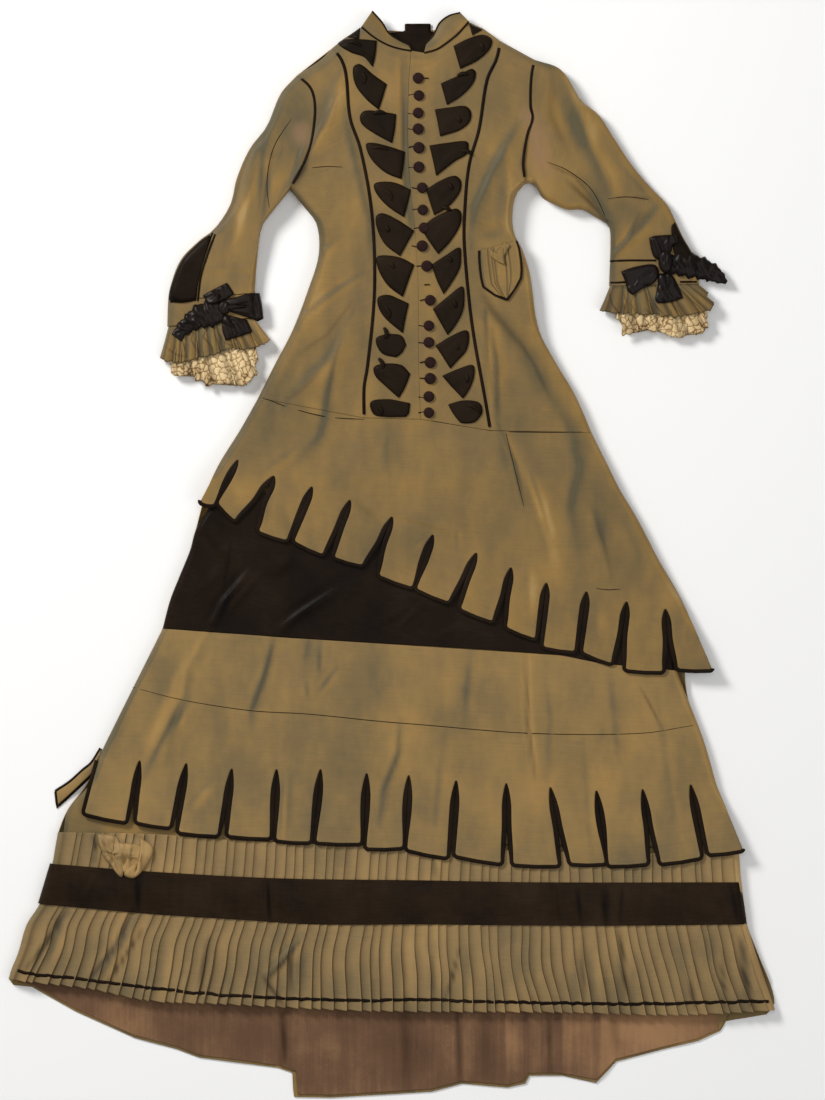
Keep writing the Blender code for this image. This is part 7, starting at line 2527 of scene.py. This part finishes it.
    def build(self) -> None:
        """Make the buttons, their worked holes and the bars on the tier."""
        finishes = self.maker.finishes
        fronts = ("centre_front_left", "centre_front_right")
        places = np.array(BUTTON_PLACES, dtype=float)
        heights = relief.heights(places, fronts) + 1.9
        count = np.arange(len(places))
        source = self.points("buttons", np.column_stack((places, heights)), np.sin(count * 3.7) * 0.5,
                             1 + 0.04 * np.sin(count * 5.1))
        sizes = {"Radius": BUTTON_RADIUS * MM, "Flatness": 0.36}
        tree = self.tree("covered_button", sizes, finishes["button"], self.dome)
        self.made("buttons", tree, source, sizes, Cloth.BUTTON,
                  [f"button_{k:02d}" for k in range(1, len(places) + 1)])
        side = np.where(count == 0, 7.5, -15.5)
        bars = places + np.column_stack((side, 0.6 * np.sin(count * 2.2)))
        bars = np.vstack((bars, ((49, 404), (166, -432), (249, -435), (384, -438))))
        heights = np.concatenate((relief.heights(bars[:-3], fronts),
                                  relief.heights(bars[-3:] - (10, 0), ("tier",)) + 0.8))
        turns = 0.25 * np.sin(np.arange(len(bars)) * 1.9)
        source = self.points("worked_bars", np.column_stack((bars, heights + 0.8)), turns,
                             np.ones(len(bars)))
        sizes = {"Radius": 0.85 * MM, "Length": 8.0 * MM}
        tree = self.tree("worked_bar", sizes, finishes["satin"], self.bar)
        self.made("worked_bars", tree, source, sizes, Cloth.SATIN, ())


@dataclass
class Studio:
    """Floor, soft light and the camera straight above."""

    camera_height: float = 8.0
    camera_x: float = 0.031
    camera_y: float = 0.0075
    lens: float = 174.5
    floor_size: float = 14.0

    def floor(self) -> None:
        """A plain pale floor."""
        mesh = bpy.data.meshes.new("floor")
        half = self.floor_size / 2
        mesh.from_pydata([(-half, -half, 0), (half, -half, 0), (half, half, 0), (-half, half, 0)], [],
                         [(0, 1, 2, 3)])
        mesh.materials.append(Paper("paper").make())
        thing = bpy.data.objects.new("floor", mesh)
        thing.location = (0, 0, -0.0012)
        bpy.context.scene.collection.objects.link(thing)

    def light(self, name: str, size: float, power: float, place: Sequence[float],
              colour: Sequence[float]) -> None:
        """A soft light that faces the dress."""
        lamp = bpy.data.lights.new(name, "AREA")
        lamp.shape = "DISK"
        lamp.size = size
        lamp.energy = power
        lamp.color = colour
        thing = bpy.data.objects.new(name, lamp)
        thing.location = place
        thing.rotation_euler = (-Vector(place)).to_track_quat("-Z", "Y").to_euler()
        bpy.context.scene.collection.objects.link(thing)

    def build(self) -> None:
        """Make the studio."""
        self.floor()
        self.light("key", 1.5, 205.0, (-2.9, 2.7, 2.9), (1.0, 0.985, 0.96))
        self.light("fill", 3.0, 36.0, (2.8, -1.4, 3.4), (0.97, 0.985, 1.0))
        self.light("top", 3.2, 40.0, (0.2, 0.4, 4.6), (1.0, 1.0, 1.0))
        world = bpy.data.worlds.new("studio")
        world.use_nodes = True
        back = world.node_tree.nodes["Background"]
        back.inputs["Color"].default_value = (1.0, 1.0, 1.0, 1.0)
        back.inputs["Strength"].default_value = 0.26
        bpy.context.scene.world = world
        bpy.context.scene.view_settings.view_transform = "Standard"
        lens = bpy.data.cameras.new("camera")
        lens.lens = self.lens
        lens.clip_end = 50
        camera = bpy.data.objects.new("camera", lens)
        camera.location = (self.camera_x, self.camera_y, self.camera_height)
        bpy.context.scene.collection.objects.link(camera)
        bpy.context.scene.camera = camera


def finishes() -> dict[str, bpy.types.Material]:
    """Every finish of the dress, by name."""
    kinds = (
        Silk("silk"),
        Silk("tier_silk", grey=(0.110, 0.090, 0.050), base=(0.240, 0.157, 0.060),
             amber=(0.340, 0.207, 0.068)),
        Silk("flounce_silk", grey=(0.165, 0.122, 0.060), base=(0.300, 0.196, 0.082),
             amber=(0.390, 0.245, 0.095), bright=(0.520, 0.360, 0.170)),
        Satin("satin"),
        Satin("ribbon", deep=(0.0040, 0.0032, 0.0030), brown=(0.0200, 0.0112, 0.0054), roughness=0.36,
              pale=(0.040, 0.026, 0.014)),
        Satin("bow_satin", brown=(0.0100, 0.0062, 0.0048), pale=(0.034, 0.022, 0.016), roughness=0.33,
              gloss=0.12),
        Satin("flap_satin", deep=(0.0060, 0.0045, 0.0034), brown=(0.0150, 0.0092, 0.0048), roughness=0.46),
        Lining("lining"),
        Lace("lace"),
        Corded("button"),
    )
    return {kind.name: kind.make() for kind in kinds}


def main() -> None:
    """Build the dress from the floor up, then the studio."""
    logging.basicConfig(level=logging.INFO)
    Studio().build()
    maker = Maker(finishes())
    skirts = Skirts(maker)
    skirts.build()
    Bodice(maker).build()
    for side in Side:
        Sleeve(maker, side).build()
        Cuff(maker, side).build()
    waist = np.array(WAIST_SEAM, dtype=float) - (0, SEAM)
    apron_sides = hung_from(waist, APRON_SIDE_LEFT, APRON_SIDE_RIGHT)
    skirts.flounce()
    skirts.ribbon()
    skirts.bunch()
    tier_top = np.array(TIER_TOP, dtype=float) - (0, SEAM)
    tier_sides = hung_from(tier_top, TIER_SIDE_LEFT, TIER_SIDE_RIGHT)
    TabbedLayer(maker, "tier", tier_sides, tier_top, TIER_SLITS, TIER_FEET, 1.0, 4.6, TIER_CREASES,
                6.4, 42.0, (True, False), seed=8).build()
    TabbedLayer(maker, "apron", apron_sides, waist, APRON_SLITS, APRON_FEET, apron_level, 1.2,
                APRON_CREASES + BODICE_CREASES, 6.6, 25.0, (False, False), seed=4).build()
    skirts.side_tab()
    FrontTrims(maker).build()
    Fasteners(maker).build()
    log.info("triangles: %d", maker.triangles)


if __name__ == "__main__":
    main()
